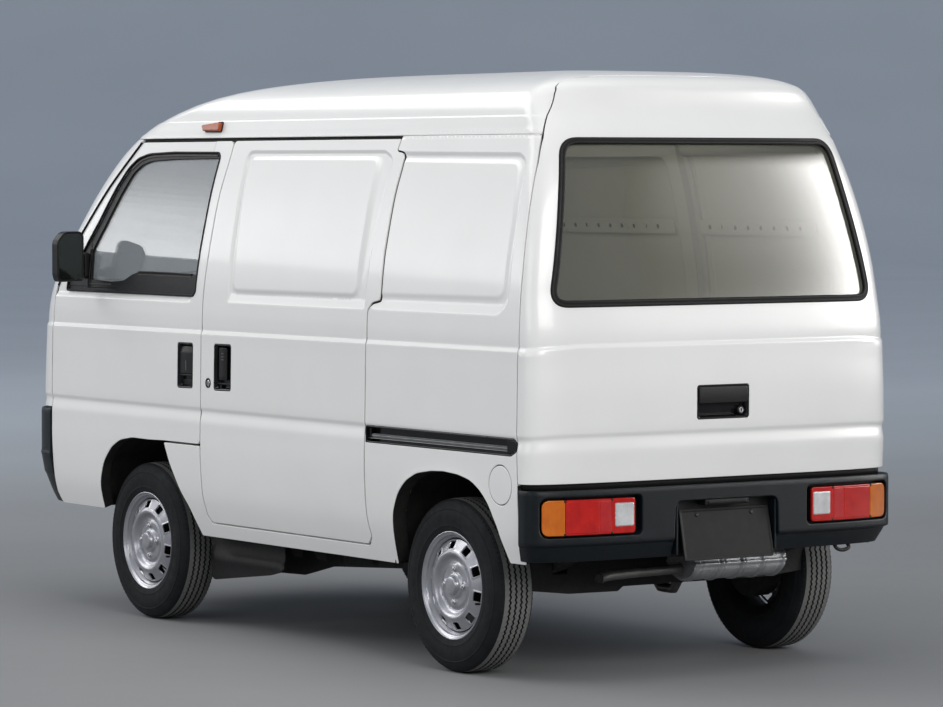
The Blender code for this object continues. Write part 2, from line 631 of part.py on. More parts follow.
def steer_point(z):
    k = (z - STEER_LOW.z) / (STEER_TOP.z - STEER_LOW.z)
    return STEER_LOW + (STEER_TOP - STEER_LOW) * k


strut = cylinder("strut", steer_point(0.180), steer_point(0.600), 0.020, segs=12, coll=CUTTERS)
hub = cylinder("hub", (FRONT_AXLE_X, 0.500, WHEEL_Z), (FRONT_AXLE_X, 0.582, WHEEL_Z), 0.034, segs=16,
               coll=CUTTERS)
disc = cylinder("disc", (FRONT_AXLE_X, 0.548, WHEEL_Z), (FRONT_AXLE_X, 0.560, WHEEL_Z), 0.112, segs=24,
                coll=CUTTERS)
spring_seat = cylinder("spring_seat", steer_point(0.500), steer_point(0.590), 0.028, segs=12, coll=CUTTERS)
knuckle_left = union("knuckle_left", hub, [disc, strut, spring_seat])
finish(knuckle_left, IRON)
set_origin(knuckle_left, steer_point(WHEEL_Z))
mirrored(knuckle_left, "knuckle_right")

# ---------------------------------------------------------------- rear axle: beam, drums and leaf springs
beam = cylinder("beam", (REAR_AXLE_X, -0.575, WHEEL_Z), (REAR_AXLE_X, 0.575, WHEEL_Z), 0.028, segs=14,
                coll=CUTTERS)
more = []
for s in (1, -1):
    more.append(cylinder("drum", (REAR_AXLE_X, 0.500 * s, WHEEL_Z), (REAR_AXLE_X, 0.565 * s, WHEEL_Z), 0.100,
                         segs=20, coll=CUTTERS))
    leaf = []
    N = 6
    for k in range(N + 1):
        u = -1.0 + 2.0 * k / N
        leaf.append((REAR_AXLE_X + 0.02 + 0.40 * u, 0.292 + 0.105 * u * u))
    pts = [(x, z + 0.014) for x, z in leaf] + [(x, z - 0.014) for x, z in reversed(leaf)]
    more.append(outline("leaf", pts, 0.024, 'Y', 0.420 * s, CUTTERS))
axle = union("rear_axle", beam, more)
finish(axle, IRON)

# ---------------------------------------------------------------- exhaust: oval muffler, tail pipe and front pipe
MUF_X, MUF_Z = -1.455, 0.337
oval = []
for k in range(20):
    t = 2 * math.pi * k / 20
    oval.append((MUF_X + 0.082 * math.cos(t), MUF_Z + 0.062 * math.sin(t)))
muffler = outline("muffler_can", oval, 0.185, 'Y', -0.150, CUTTERS)
tail = tube("tail_pipe", [(MUF_X, 0.02, 0.318), (MUF_X - 0.005, 0.12, 0.316), (MUF_X - 0.01, 0.24, 0.314),
                          (MUF_X - 0.02, 0.33, 0.311), (MUF_X - 0.04, 0.372, 0.306)], 0.014, CUTTERS)
front_pipe = tube("front_pipe", [(MUF_X + 0.05, -0.20, 0.320), (-1.30, -0.20, 0.318), (-1.20, -0.19, 0.312),
                                 (-1.14, -0.18, 0.216), (-1.07, -0.18, 0.216), (-1.00, -0.18, 0.290),
                                 (-0.90, -0.18, 0.300), (-0.8015, -0.18, 0.300)], 0.016, CUTTERS)
exhaust = union("exhaust", muffler, [tail, front_pipe])
finish(exhaust, SILVER)


# ---------------------------------------------------------------- bumpers
def bumper_outline(front, grow, x_end, depth):
    """Plan outline of a wrap-round bumper: outer superellipse, inner one set in by depth."""
    pts_out, pts_in = [], []
    if front:
        xc, half, corner, p = LENGTH / 2 + grow, BODY_WIDTH / 2 + grow, 0.300, 3.3
    else:
        xc, half, corner, p = LENGTH / 2 + grow, BODY_WIDTH / 2 + grow, 0.105, 3.8
    for store, d in ((pts_out, 0.0), (pts_in, depth)):
        w = half - d
        xx = xc - d * 1.15
        c = min(corner, xx - x_end - 0.001)
        store.append((x_end, w))
        n = 9
        for k in range(n, -1, -1):
            t = math.pi / 2 * k / n
            store.append((xx - c + c * math.cos(t) ** (2 / p), w * math.sin(t) ** (2 / p)))
    outer = pts_out + [(x, -y) for x, y in reversed(pts_out[:-1])]
    inner = pts_in + [(x, -y) for x, y in reversed(pts_in[:-1])]
    loop = outer + list(reversed(inner))
    if not front:
        loop = [(-x, y) for x, y in loop]
    return loop


def bumper(name, front, levels, x_end, depth):
    """Loft of plan outlines between levels of (height, growth); the bottom edge draws in."""
    bm = bmesh.new()
    rings = []
    for z, g in levels:
        rings.append([bm.verts.new((x, y, z)) for x, y in bumper_outline(front, g, x_end, depth + g)])
    n = len(rings[0])
    for a, b in zip(rings, rings[1:]):
        for k in range(n):
            bm.faces.new((a[k], a[(k + 1) % n], b[(k + 1) % n], b[k]))
    bm.faces.new(rings[-1])
    bm.faces.new(list(reversed(rings[0])))
    bmesh.ops.triangulate(bm, faces=bm.faces)
    bmesh.ops.recalc_face_normals(bm, faces=bm.faces)
    me = bpy.data.meshes.new(name)
    bm.to_mesh(me)
    bm.free()
    return add(name, me)


REAR_LEVELS = [(0.372, -0.030), (0.417, -0.004), (0.427, 0.0), (0.584, 0.0), (0.594, -0.007)]
FRONT_LEVELS = [(0.362, -0.046), (0.462, -0.012), (0.530, 0.0), (0.692, 0.0), (0.702, -0.007)]
rear_bumper = bumper("rear_bumper", False, REAR_LEVELS, 1.5335, 0.052)
LAMP_OUT, LAMP_IN = 0.666, 0.334
LAMP_LO, LAMP_HI = 0.452, 0.568
for s in (1, -1):
    c = box("lamp_recess", (-1.80, min(LAMP_OUT * s, LAMP_IN * s), LAMP_LO),
            (-1.545, max(LAMP_OUT * s, LAMP_IN * s), LAMP_HI), CUTTERS)
    boolean(rear_bumper, c, 'DIFFERENCE')
c = outline("plate_recess", [(-0.206, 0.30), (0.196, 0.30), (0.190, 0.545), (-0.200, 0.545)], 0.05, 'X',
            -1.6745, CUTTERS)
boolean(rear_bumper, c, 'DIFFERENCE')
finish(rear_bumper, PLASTIC)

# tail lamps: slices of the same outline, just inside the recess
loop = bumper_outline(False, -0.0045, 1.5335, 0.040)
lamp_full = outline("lamp_full", loop, (LAMP_HI - LAMP_LO) / 2 - 0.003, 'Z', (LAMP_HI + LAMP_LO) / 2, CUTTERS)
lamp_slab = box("lamp_slab", (-1.80, LAMP_IN + 0.003, 0.40), (-1.575, LAMP_OUT - 0.003, 0.62), CUTTERS)
tail_lamp_left = add("tail_lamp_left", lamp_full.data.copy())
boolean(tail_lamp_left, lamp_slab, 'INTERSECT')
finish(tail_lamp_left, LAMP)
mirrored(tail_lamp_left, "tail_lamp_right")

# front bumper, with headlamps above it in the nose
front_bumper = bumper("front_bumper", True, FRONT_LEVELS, 1.3905, 0.050)
c = box("grille_slot", (1.50, -0.36, 0.455), (1.80, 0.36, 0.520), CUTTERS)
boolean(front_bumper, c, 'DIFFERENCE')
finish(front_bumper, PLASTIC)

HEAD_PTS = [(0.335, 0.760), (0.335, 0.905), (0.560, 0.915), (0.600, 0.895), (0.600, 0.770), (0.560, 0.752)]
head_cut = outline("head_cut", HEAD_PTS, 0.3, 'X', 1.6, CUTTERS)
head_cut_r = outline("head_cut_r", [(-y, z) for y, z in reversed(HEAD_PTS)], 0.3, 'X', 1.6, CUTTERS)
SHELL_LAMP = shell("shell_lamp", 0.003, 0.040)
for nm, cutter in (("l", head_cut), ("r", head_cut_r)):
    boolean(nose, cutter, 'DIFFERENCE')
finish(nose, PAINT)
head_region = outline("head_region", scaled_outline(HEAD_PTS, 0.0015), 0.3, 'X', 1.6, CUTTERS)
headlamp_left = panel("headlamp_left", SHELL_LAMP, head_region)
finish(headlamp_left, HEAD)
mirrored(headlamp_left, "headlamp_right")

# ---------------------------------------------------------------- number plates, blank
plate_rear = box("plate_rear", (-0.003, -0.1815, -0.0905), (0.003, 0.1815, 0.0905))
plate_rear.location = (-1.6385, -0.009, 0.4465)
finish(plate_rear, PLATE)
plate_front = box("plate_front", (1.6335, -0.165, 0.560), (1.6375, 0.165, 0.690))
c = box("plate_seat_front", (1.6330, -0.168, 0.545), (1.80, 0.168, 0.80), CUTTERS)
boolean(front_bumper, c, 'DIFFERENCE')
finish(front_bumper, PLASTIC)
finish(plate_front, PLATE)

# ---------------------------------------------------------------- door mirrors, riding on the doors
mirror_head = box("mirror_head", (1.080, 0.722, 1.156), (1.150, 0.830, 1.336), CUTTERS, bevel=0.026, segs=2)
mirror_arm = box("mirror_arm", (1.138, 0.6550, 1.165), (1.196, 0.745, 1.262), CUTTERS, bevel=0.010, segs=1)
mirror_left = union("mirror_left", mirror_head, [mirror_arm])
door_clear = body_solid("mirror_clear", -TOUCH)
boolean(mirror_left, door_clear, 'DIFFERENCE')
finish(mirror_left, BLACK)
mirrored(mirror_left, "mirror_right")

# ---------------------------------------------------------------- wheels
TYRE_HALF_PROFILE = [(0.1500, 0.0545), (0.1720, 0.0655), (0.2100, 0.0725), (0.2520, 0.0650), (0.2700, 0.0440)]
TYRE_PROFILE = TYRE_HALF_PROFILE + [(r, -a) for r, a in reversed(TYRE_HALF_PROFILE)]
RIM_PROFILE = [(0.0, 0.0440), (0.0250, 0.0420), (0.0300, 0.0310), (0.0660, 0.0300), (0.0900, 0.0420),
               (0.1140, 0.0370), (0.1430, 0.0220), (0.1430, 0.0630), (0.1655, 0.0650), (0.1497, 0.0545),
               (0.1497, -0.0545), (0.1655, -0.0650), (0.1430, -0.0630), (0.1430, 0.0100),
               (0.0900, 0.0320), (0.0660, 0.0200), (0.0, 0.0200)]
TYRE_SEGS, RIM_SEGS = 32, 16

hole_cut = None
holes = []
for k in range(10):
    t = math.radians(36 * k)
    r = 0.1290
    holes.append(cylinder("vent", (r * math.cos(t), r * math.sin(t), -0.02),
                          (r * math.cos(t), r * math.sin(t), 0.060), 0.0105, segs=6, coll=CUTTERS))
bpy.context.view_layer.update()
bm = bmesh.new()
for h in holes:
    bm.from_mesh(h.data)
me = bpy.data.meshes.new("vents")
bm.to_mesh(me)
bm.free()
for h in holes:
    bpy.data.objects.remove(h, do_unlink=True)
vents = add("vents", me, CUTTERS)

tyre0 = turned("tyre_front_left", TYRE_PROFILE, TYRE_SEGS, closed=True)
finish(tyre0, RUBBER)
rim0 = turned("rim_front_left", RIM_PROFILE, RIM_SEGS)
boolean(rim0, vents, 'DIFFERENCE')
finish(rim0, STEEL, sharp=25)

for corner, x, s in (("front_left", FRONT_AXLE_X, 1), ("front_right", FRONT_AXLE_X, -1),
                     ("rear_left", REAR_AXLE_X, 1), ("rear_right", REAR_AXLE_X, -1)):
    for kind, src in (("tyre", tyre0), ("rim", rim0)):
        name = kind + "_" + corner
        ob = bpy.data.objects.get(name)
        if ob is None:
            ob = add(name, src.data)
        ob.location = (x, s * TYRE_Y, WHEEL_Z)
        ob.rotation_euler = (-s * math.pi / 2, 0.0, 0.0)

# ---------------------------------------------------------------- cab: seats, dashboard, steering wheel
for nm, yc in (("seat_right", -0.325), ("seat_left", 0.325)):
    cushion = box("cushion", (0.400, yc - 0.235, 0.6565), (0.880, yc + 0.235, 0.800), CUTTERS, bevel=0.035)
    back = outline("back", [(0.470, 0.720), (0.345, 0.720), (0.235, 1.220), (0.315, 1.240)], 0.215, 'Y', yc,
                   CUTTERS)
    head = outline("head_rest", [(0.312, 1.200), (0.240, 1.200), (0.215, 1.375), (0.290, 1.380)], 0.125, 'Y',
                   yc, CUTTERS)
    seat = union(nm, cushion, [back, head])
    finish(seat, SEAT)

DASH_PTS = [(1.420, 0.780), (1.240, 0.780), (1.190, 0.900), (1.190, 1.000), (1.230, 1.075), (1.420, 1.095)]
dash = outline("dash", DASH_PTS, 0.565, 'Y', 0.0, CUTTERS)
WHEEL_C = Vector((1.035, -0.325, 1.020))
col_dir = Vector((-0.607, 0.0, 0.794)).normalized()
column = cylinder("column", WHEEL_C - col_dir * 0.40, WHEEL_C - col_dir * 0.045, 0.024, segs=12, coll=CUTTERS)
dashboard = union("dashboard", dash, [column])
finish(dashboard, DASH)

bm = bmesh.new()
me = bpy.data.meshes.new("steering_wheel")
SEG_U, SEG_V, R_BIG, R_SMALL = 28, 8, 0.178, 0.0125
ring = []
for i in range(SEG_U):
    u = 2 * math.pi * i / SEG_U
    row = []
    for j in range(SEG_V):
        v = 2 * math.pi * j / SEG_V
        rr = R_BIG + R_SMALL * math.cos(v)
        row.append(bm.verts.new((rr * math.cos(u), rr * math.sin(u), R_SMALL * math.sin(v))))
    ring.append(row)
for i in range(SEG_U):
    for j in range(SEG_V):
        bm.faces.new((ring[i][j], ring[(i + 1) % SEG_U][j], ring[(i + 1) % SEG_U][(j + 1) % SEG_V],
                      ring[i][(j + 1) % SEG_V]))
bmesh.ops.recalc_face_normals(bm, faces=bm.faces)
bm.to_mesh(me)
bm.free()
wheel = add("steering_rim", me, CUTTERS)
boss = cylinder("boss", (0, 0, -0.038), (0, 0, 0.004), 0.042, segs=14, coll=CUTTERS)
spokes = [box("spoke", (-0.175, -0.016, -0.010), (0.175, 0.016, 0.002), CUTTERS),
          box("spoke2", (-0.175, -0.016, -0.0102), (-0.02, 0.016, 0.0018), CUTTERS)]
spoke3 = box("spoke3", (-0.014, -0.175, -0.010), (0.014, 0.0, 0.0022), CUTTERS)
bpy.data.objects.remove(spokes[1], do_unlink=True)
steer = union("steering_wheel", wheel, [boss, spokes[0], spoke3])
# the spokes' line is turned so that the cross spoke runs from side to side of the van
rot = col_dir.to_track_quat('Z', 'Y').to_matrix().to_4x4()
steer.data.transform(rot)
steer.location = WHEEL_C
bpy.context.view_layer.update()
finish(steer, BLACK)

# ---------------------------------------------------------------- every cutter stays hidden
for ob in CUTTERS.objects:
    ob.hide_render = True
    ob.display_type = 'WIRE'
for ob in list(CUTTERS.objects):
    if not ob.users_collection:
        bpy.data.objects.remove(ob, do_unlink=True)
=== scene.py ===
import bpy
import bmesh
import math
import numpy as np
from mathutils import Matrix, Vector
from mathutils.geometry import delaunay_2d_cdt


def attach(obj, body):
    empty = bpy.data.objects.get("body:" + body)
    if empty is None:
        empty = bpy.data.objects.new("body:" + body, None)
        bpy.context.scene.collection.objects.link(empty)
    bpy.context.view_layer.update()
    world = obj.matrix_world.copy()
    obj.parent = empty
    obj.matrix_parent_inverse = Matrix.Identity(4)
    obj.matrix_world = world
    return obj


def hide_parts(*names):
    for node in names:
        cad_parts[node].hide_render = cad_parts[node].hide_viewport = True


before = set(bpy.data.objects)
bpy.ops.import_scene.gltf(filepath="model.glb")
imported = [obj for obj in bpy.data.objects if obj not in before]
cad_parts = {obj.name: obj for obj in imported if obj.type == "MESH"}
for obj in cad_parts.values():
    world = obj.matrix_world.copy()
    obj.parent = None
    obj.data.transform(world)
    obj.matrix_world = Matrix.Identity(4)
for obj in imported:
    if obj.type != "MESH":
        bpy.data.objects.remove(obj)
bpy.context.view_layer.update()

# =====================================================================================================
# 1. outer surface of the body, as numbers
# =====================================================================================================
# z, half width, front centre x, rear centre x, front exponent, rear exponent (pressed lines left out)
TAB = np.array([
    (0.2500, 0.6230, 1.562, -1.570, 3.4, 4.0),
    (0.3000, 0.6400, 1.578, -1.585, 3.4, 4.0),
    (0.3450, 0.6560, 1.594, -1.600, 3.4, 4.0),
    (0.4000, 0.6730, 1.606, -1.612, 3.4, 4.0),
    (0.4550, 0.6860, 1.612, -1.618, 3.4, 4.0),
    (0.5500, 0.6938, 1.616, -1.622, 3.4, 4.0),
    (0.6200, 0.6960, 1.618, -1.624, 3.4, 4.0),
    (0.7000, 0.6946, 1.6195, -1.629, 3.4, 4.0),
    (0.8700, 0.6915, 1.622, -1.632, 3.3, 4.0),
    (0.9600, 0.6900, 1.6215, -1.630, 3.2, 3.9),
    (1.0550, 0.6855, 1.616, -1.624, 3.1, 4.1),
    (1.1080, 0.6814, 1.606, -1.614, 3.0, 4.4),
    (1.1500, 0.6785, 1.588, -1.605, 3.0, 4.6),
    (1.2600, 0.6651, 1.514, -1.593, 3.0, 4.8),
    (1.3600, 0.6469, 1.441, -1.578, 3.0, 4.8),
    (1.4500, 0.6288, 1.371, -1.561, 3.0, 4.6),
    (1.5300, 0.6087, 1.303, -1.545, 3.0, 4.3),
    (1.6000, 0.5881, 1.234, -1.530, 3.0, 3.9),
    (1.6550, 0.5735, 1.162, -1.510, 2.8, 3.7),
    (1.7000, 0.5647, 1.073, -1.486, 2.7, 3.5),
    (1.7350, 0.5565, 0.968, -1.469, 2.6, 3.3),
    (1.7702, 0.5389, 0.837, -1.460, 2.6, 3.2),
    (1.7999, 0.5089, 0.683, -1.455, 2.5, 3.3),
    (1.8248, 0.4497, 0.494, -1.428, 2.5, 3.4),
    (1.8428, 0.3682, 0.283, -1.362, 2.4, 3.4),
    (1.8538, 0.2615, 0.038, -1.235, 2.4, 3.2),
    (1.8596, 0.1392, -0.260, -1.030, 2.4, 2.8),
    (1.8604, 0.0005, -0.620, -0.660, 2.4, 2.8),
])
FC, RC = 0.300, 0.115


def pchip(x, y, xi):
    h = np.diff(x)
    d = np.diff(y) / h
    m = np.zeros_like(y)
    ok = d[:-1] * d[1:] > 0
    w1, w2 = 2 * h[1:] + h[:-1], h[1:] + 2 * h[:-1]
    dd = np.where(d == 0, 1.0, d)
    m[1:-1] = np.where(ok, (w1 + w2) / (w1 / dd[:-1] + w2 / dd[1:]), 0.0)
    m[0], m[-1] = d[0], d[-1]
    i = np.clip(np.searchsorted(x, xi) - 1, 0, len(x) - 2)
    t = (xi - x[i]) / h[i]
    t2, t3 = t * t, t * t * t
    return ((2 * t3 - 3 * t2 + 1) * y[i] + (t3 - 2 * t2 + t) * h[i] * m[i]
            + (-2 * t3 + 3 * t2) * y[i + 1] + (t3 - t2) * h[i] * m[i + 1])


def blur(v, sigma):
    """Gaussian smoothing of evenly spaced numbers, with straight run-outs at the ends."""
    r = int(4 * sigma) + 1
    k = np.exp(-0.5 * (np.arange(-r, r + 1) / sigma) ** 2)
    k /= k.sum()
    pre = v[0] - (v[r:0:-1] - v[0])
    post = v[-1] - (v[-2:-r - 2:-1] - v[-1])
    return np.convolve(np.concatenate([pre, v, post]), k, mode="valid")


_d = np.diff(TAB, axis=0)
_b = np.concatenate([[0.0], np.cumsum(np.hypot(_d[:, 0], np.maximum(np.abs(_d[:, 1]), 0.5 * np.abs(_d[:, 3]))))])
BD = np.arange(0.0, _b[-1], 0.002)
COL = [blur(pchip(_b, TAB[:, c], BD), 9.0) for c in range(6)]
ZD = np.maximum.accumulate(COL[0] + np.arange(len(BD)) * 1e-9)
B_TOP = BD[-1]


def b_of_z(z):
    return np.interp(z, ZD, BD)


def cols(b):
    return [np.interp(b, BD, c) for c in COL]


# arclength of the rounded quarters at a reference height, so that ring coordinates are near real lengths
def squircle(phi, p):
    c, s = np.cos(phi), np.sin(phi)
    k = (np.abs(c) ** p + np.abs(s) ** p) ** (-1.0 / p)
    return c * k, s * k


PHI = np.linspace(0.0, math.pi / 2, 800)


def arc_table(corner, half, p):
    c, s = squircle(PHI, p)
    return np.concatenate([[0.0], np.cumsum(np.hypot(np.diff(c * corner), np.diff(s * half)))])


AF, AR = arc_table(FC, 0.690, 3.2), arc_table(RC, 0.690, 4.1)
LF, LR = AF[-1], AR[-1]
LS = 2.80


def ring_end(u, b, fwd):
    """Point of the body from the front (fwd 1) or rear (-1) centre line; u is the way round, + to the left."""
    z, w, xf, xr, pf, pr = cols(b)
    A, L, C, p = (AF, LF, FC, pf) if fwd > 0 else (AR, LR, RC, pr)
    C = np.minimum(C, w * (0.9 if fwd > 0 else 0.5))
    au = np.abs(u)
    phi = np.interp(np.minimum(au, L), A, PHI)
    c, s = squircle(phi, p)
    end = xf if fwd > 0 else -xr
    x = end - C + C * c
    y = w * s
    over = np.maximum(au - L, 0.0)
    scale = np.minimum(1.0, ((xf - np.minimum(FC, w * 0.9)) - (xr + np.minimum(RC, w * 0.5))) / LS)
    x = x - over * scale
    x = x if fwd > 0 else -x
    return np.stack([x, np.sign(u) * y, z], -1)


def surf_front(u, v):
    return ring_end(u, b_of_z(v), 1)


def surf_rear(u, v):
    """v is the distance up the body, as b."""
    return ring_end(u, v, -1)


def surf_roof(u, v):
    """u runs from the front centre line (0) round the left side to the rear centre line (LF + LS + LR)."""
    total = LF + LS + LR
    half = LF + LS / 2
    a = ring_end(u, v, 1)
    b = ring_end(total - u, v, -1)
    return np.where((u < half)[:, None], a, b)


def side_y(x, z):
    b = b_of_z(z)
    _, w, xf, xr, pf, pr = cols(b)
    fc, rc = np.minimum(FC, w * 0.9), np.minimum(RC, w * 0.5)
    cf = np.clip((x - (xf - fc)) / fc, 0.0, 0.9999)
    cr = np.clip(((xr + rc) - x) / rc, 0.0, 0.9999)
    y = w * (1 - cf ** pf) ** (1 / pf)
    return y * (1 - cr ** pr) ** (1 / pr)


def surf_side(u, v):
    return np.stack([u, side_y(u, v), v], -1)


def u_front(x, z):
    """Way round from the front centre line of the point at x on the left side."""
    x, z = np.asarray(x, float), np.asarray(z, float)
    _, w, xf, xr, pf, pr = cols(b_of_z(z))
    c = (x - (xf - FC)) / FC
    cc = np.clip(c, 0.0, 1.0)
    s = (1 - cc ** pf) ** (1 / pf)
    a = np.interp(np.arctan2(s, cc), PHI, AF)
    return np.where(c >= 0, a, LF + (xf - FC - x) / np.minimum(1.0, ((xf - FC) - (xr + RC)) / LS))


def u_rear(x, z):
    x, z = np.asarray(x, float), np.asarray(z, float)
    _, w, xf, xr, pf, pr = cols(b_of_z(z))
    rc = np.minimum(RC, w * 0.5)
    fc = np.minimum(FC, w * 0.9)
    c = ((xr + rc) - x) / rc
    cc = np.clip(c, 0.0, 1.0)
    s = (1 - cc ** pr) ** (1 / pr)
    a = np.interp(np.arctan2(s, cc), PHI, AR)
    return np.where(c >= 0, a, LR + (x - xr - rc) / np.minimum(1.0, ((xf - fc) - (xr + rc)) / LS))


def u_from_y(y, z, fwd):
    y, z = np.asarray(y, float), np.asarray(z, float)
    _, w, xf, xr, pf, pr = cols(b_of_z(z))
    p = pf if fwd > 0 else pr
    s = np.clip(np.abs(y) / w, 0.0, 0.99999)
    c = (1 - s ** p) ** (1 / p)
    return np.sign(y) * np.interp(np.arctan2(s, c), PHI, AF if fwd > 0 else AR)


# =====================================================================================================
# 2. outlines, distances, panels
# =====================================================================================================
def rounded(pts, r, step=0.008):
    """Closed outline with every corner rounded by r (or r per corner), then resampled."""
    pts = [np.array(p[:2], float) for p in pts]
    n = len(pts)
    rs = r if isinstance(r, (list, tuple)) else [r] * n
    out = []
    for i in range(n):
        p0, p1, p2 = pts[i - 1], pts[i], pts[(i + 1) % n]
        a, b = p0 - p1, p2 - p1
        la, lb = np.linalg.norm(a), np.linalg.norm(b)
        a, b = a / la, b / lb
        cosv = np.clip(a @ b, -1, 1)
        half = math.acos(cosv) / 2
        t = rs[i] / max(math.tan(half), 1e-6)
        t = min(t, 0.48 * la, 0.48 * lb)
        if t < 1e-5 or half > math.radians(89.7):
            out.append(p1)
            continue
        q0, q2 = p1 + a * t, p1 + b * t
        m = max(2, int(math.ceil((math.pi - 2 * half) / math.radians(14))) + 1)
        for k in range(m + 1):
            s = k / m
            out.append((1 - s) ** 2 * q0 + 2 * s * (1 - s) * p1 + s * s * q2)
    return resample(np.array(out), step, True)


def resample(pts, step, closed=False, keep=True):
    """Points along a polyline no farther apart than step; the given points stay."""
    pts = np.asarray(pts, float)
    out = []
    n = len(pts)
    for i in range(n if closed else n - 1):
        p, q = pts[i], pts[(i + 1) % n]
        m = max(1, int(math.ceil(np.linalg.norm(q - p) / step)))
        for k in range(m):
            out.append(p + (q - p) * k / m)
    if not closed:
        out.append(pts[-1])
    out = np.array(out)
    keepers = [0]
    for i in range(1, len(out)):
        if np.linalg.norm(out[i] - out[keepers[-1]]) > step * 0.18:
            keepers.append(i)
    if closed and np.linalg.norm(out[keepers[-1]] - out[0]) < step * 0.18:
        keepers.pop()
    return out[keepers]


def smooth_line(pts, step=0.008):
    """A smooth open curve through the points (centripetal Catmull-Rom)."""
    P = np.asarray(pts, float)
    P = np.vstack([2 * P[0] - P[1], P, 2 * P[-1] - P[-2]])
    out = []
    for i in range(1, len(P) - 2):
        p0, p1, p2, p3 = P[i - 1:i + 3]
        m = max(2, int(np.linalg.norm(p2 - p1) / step))
        t0, t1 = 0.0, max(np.linalg.norm(p1 - p0), 1e-6) ** 0.5
        t2 = t1 + max(np.linalg.norm(p2 - p1), 1e-6) ** 0.5
        t3 = t2 + max(np.linalg.norm(p3 - p2), 1e-6) ** 0.5
        for k in range(m):
            t = t1 + (t2 - t1) * k / m
            a1 = (t1 - t) / (t1 - t0) * p0 + (t - t0) / (t1 - t0) * p1
            a2 = (t2 - t) / (t2 - t1) * p1 + (t - t1) / (t2 - t1) * p2
            a3 = (t3 - t) / (t3 - t2) * p2 + (t - t2) / (t3 - t2) * p3
            b1 = (t2 - t) / (t2 - t0) * a1 + (t - t0) / (t2 - t0) * a2
            b2 = (t3 - t) / (t3 - t1) * a2 + (t - t1) / (t3 - t1) * a3
            out.append((t2 - t) / (t2 - t1) * b1 + (t - t1) / (t2 - t1) * b2)
    out.append(P[-2])
    return np.array(out)


def area2(loop):
    x, y = loop[:, 0], loop[:, 1]
    return float(np.sum(x * np.roll(y, -1) - np.roll(x, -1) * y))


def ccw(loop):
    return loop if area2(loop) > 0 else loop[::-1].copy()


def loop_normals(loop):
    """Unit outward directions at the points of an anticlockwise loop."""
    a = loop - np.roll(loop, 1, 0)
    b = np.roll(loop, -1, 0) - loop
    a /= np.maximum(np.linalg.norm(a, axis=1, keepdims=True), 1e-12)
    b /= np.maximum(np.linalg.norm(b, axis=1, keepdims=True), 1e-12)
    t = a + b
    t /= np.maximum(np.linalg.norm(t, axis=1, keepdims=True), 1e-9)
    return np.stack([t[:, 1], -t[:, 0]], 1), np.clip(np.sum(t * a, 1), 0.5, 1.0)


def grow(loop, d):
    n, k = loop_normals(loop)
    return loop + n * (d / k)[:, None]


def inside(P, loop):
    x, y = P[:, 0], P[:, 1]
    r = np.zeros(len(P), bool)
    x0, y0 = loop[-1]
    for x1, y1 in loop:
        if y0 != y1:
            c = (y1 > y) != (y0 > y)
            if c.any():
                r ^= c & (x < (x0 - x1) * (y - y1) / (y0 - y1) + x1)
        x0, y0 = x1, y1
    return r


def dist_line(P, line, closed=False):
    """Distance from points to a polyline."""
    line = np.asarray(line, float)
    best = np.full(len(P), 1e9)
    n = len(line)
    for i in range(n if closed else n - 1):
        a, b = line[i], line[(i + 1) % n]
        d = b - a
        L = max(d @ d, 1e-14)
        t = np.clip(((P - a) @ d) / L, 0, 1)
        q = P - (a + t[:, None] * d)
        best = np.minimum(best, q[:, 0] ** 2 + q[:, 1] ** 2)
    return np.sqrt(best)


def sdf(P, loop):
    """Signed distance to a closed loop, positive inside."""
    d = dist_line(P, loop, True)
    return np.where(inside(P, loop), d, -d)


def sstep(t):
    t = np.clip(t, 0, 1)
    return t * t * (3 - 2 * t)


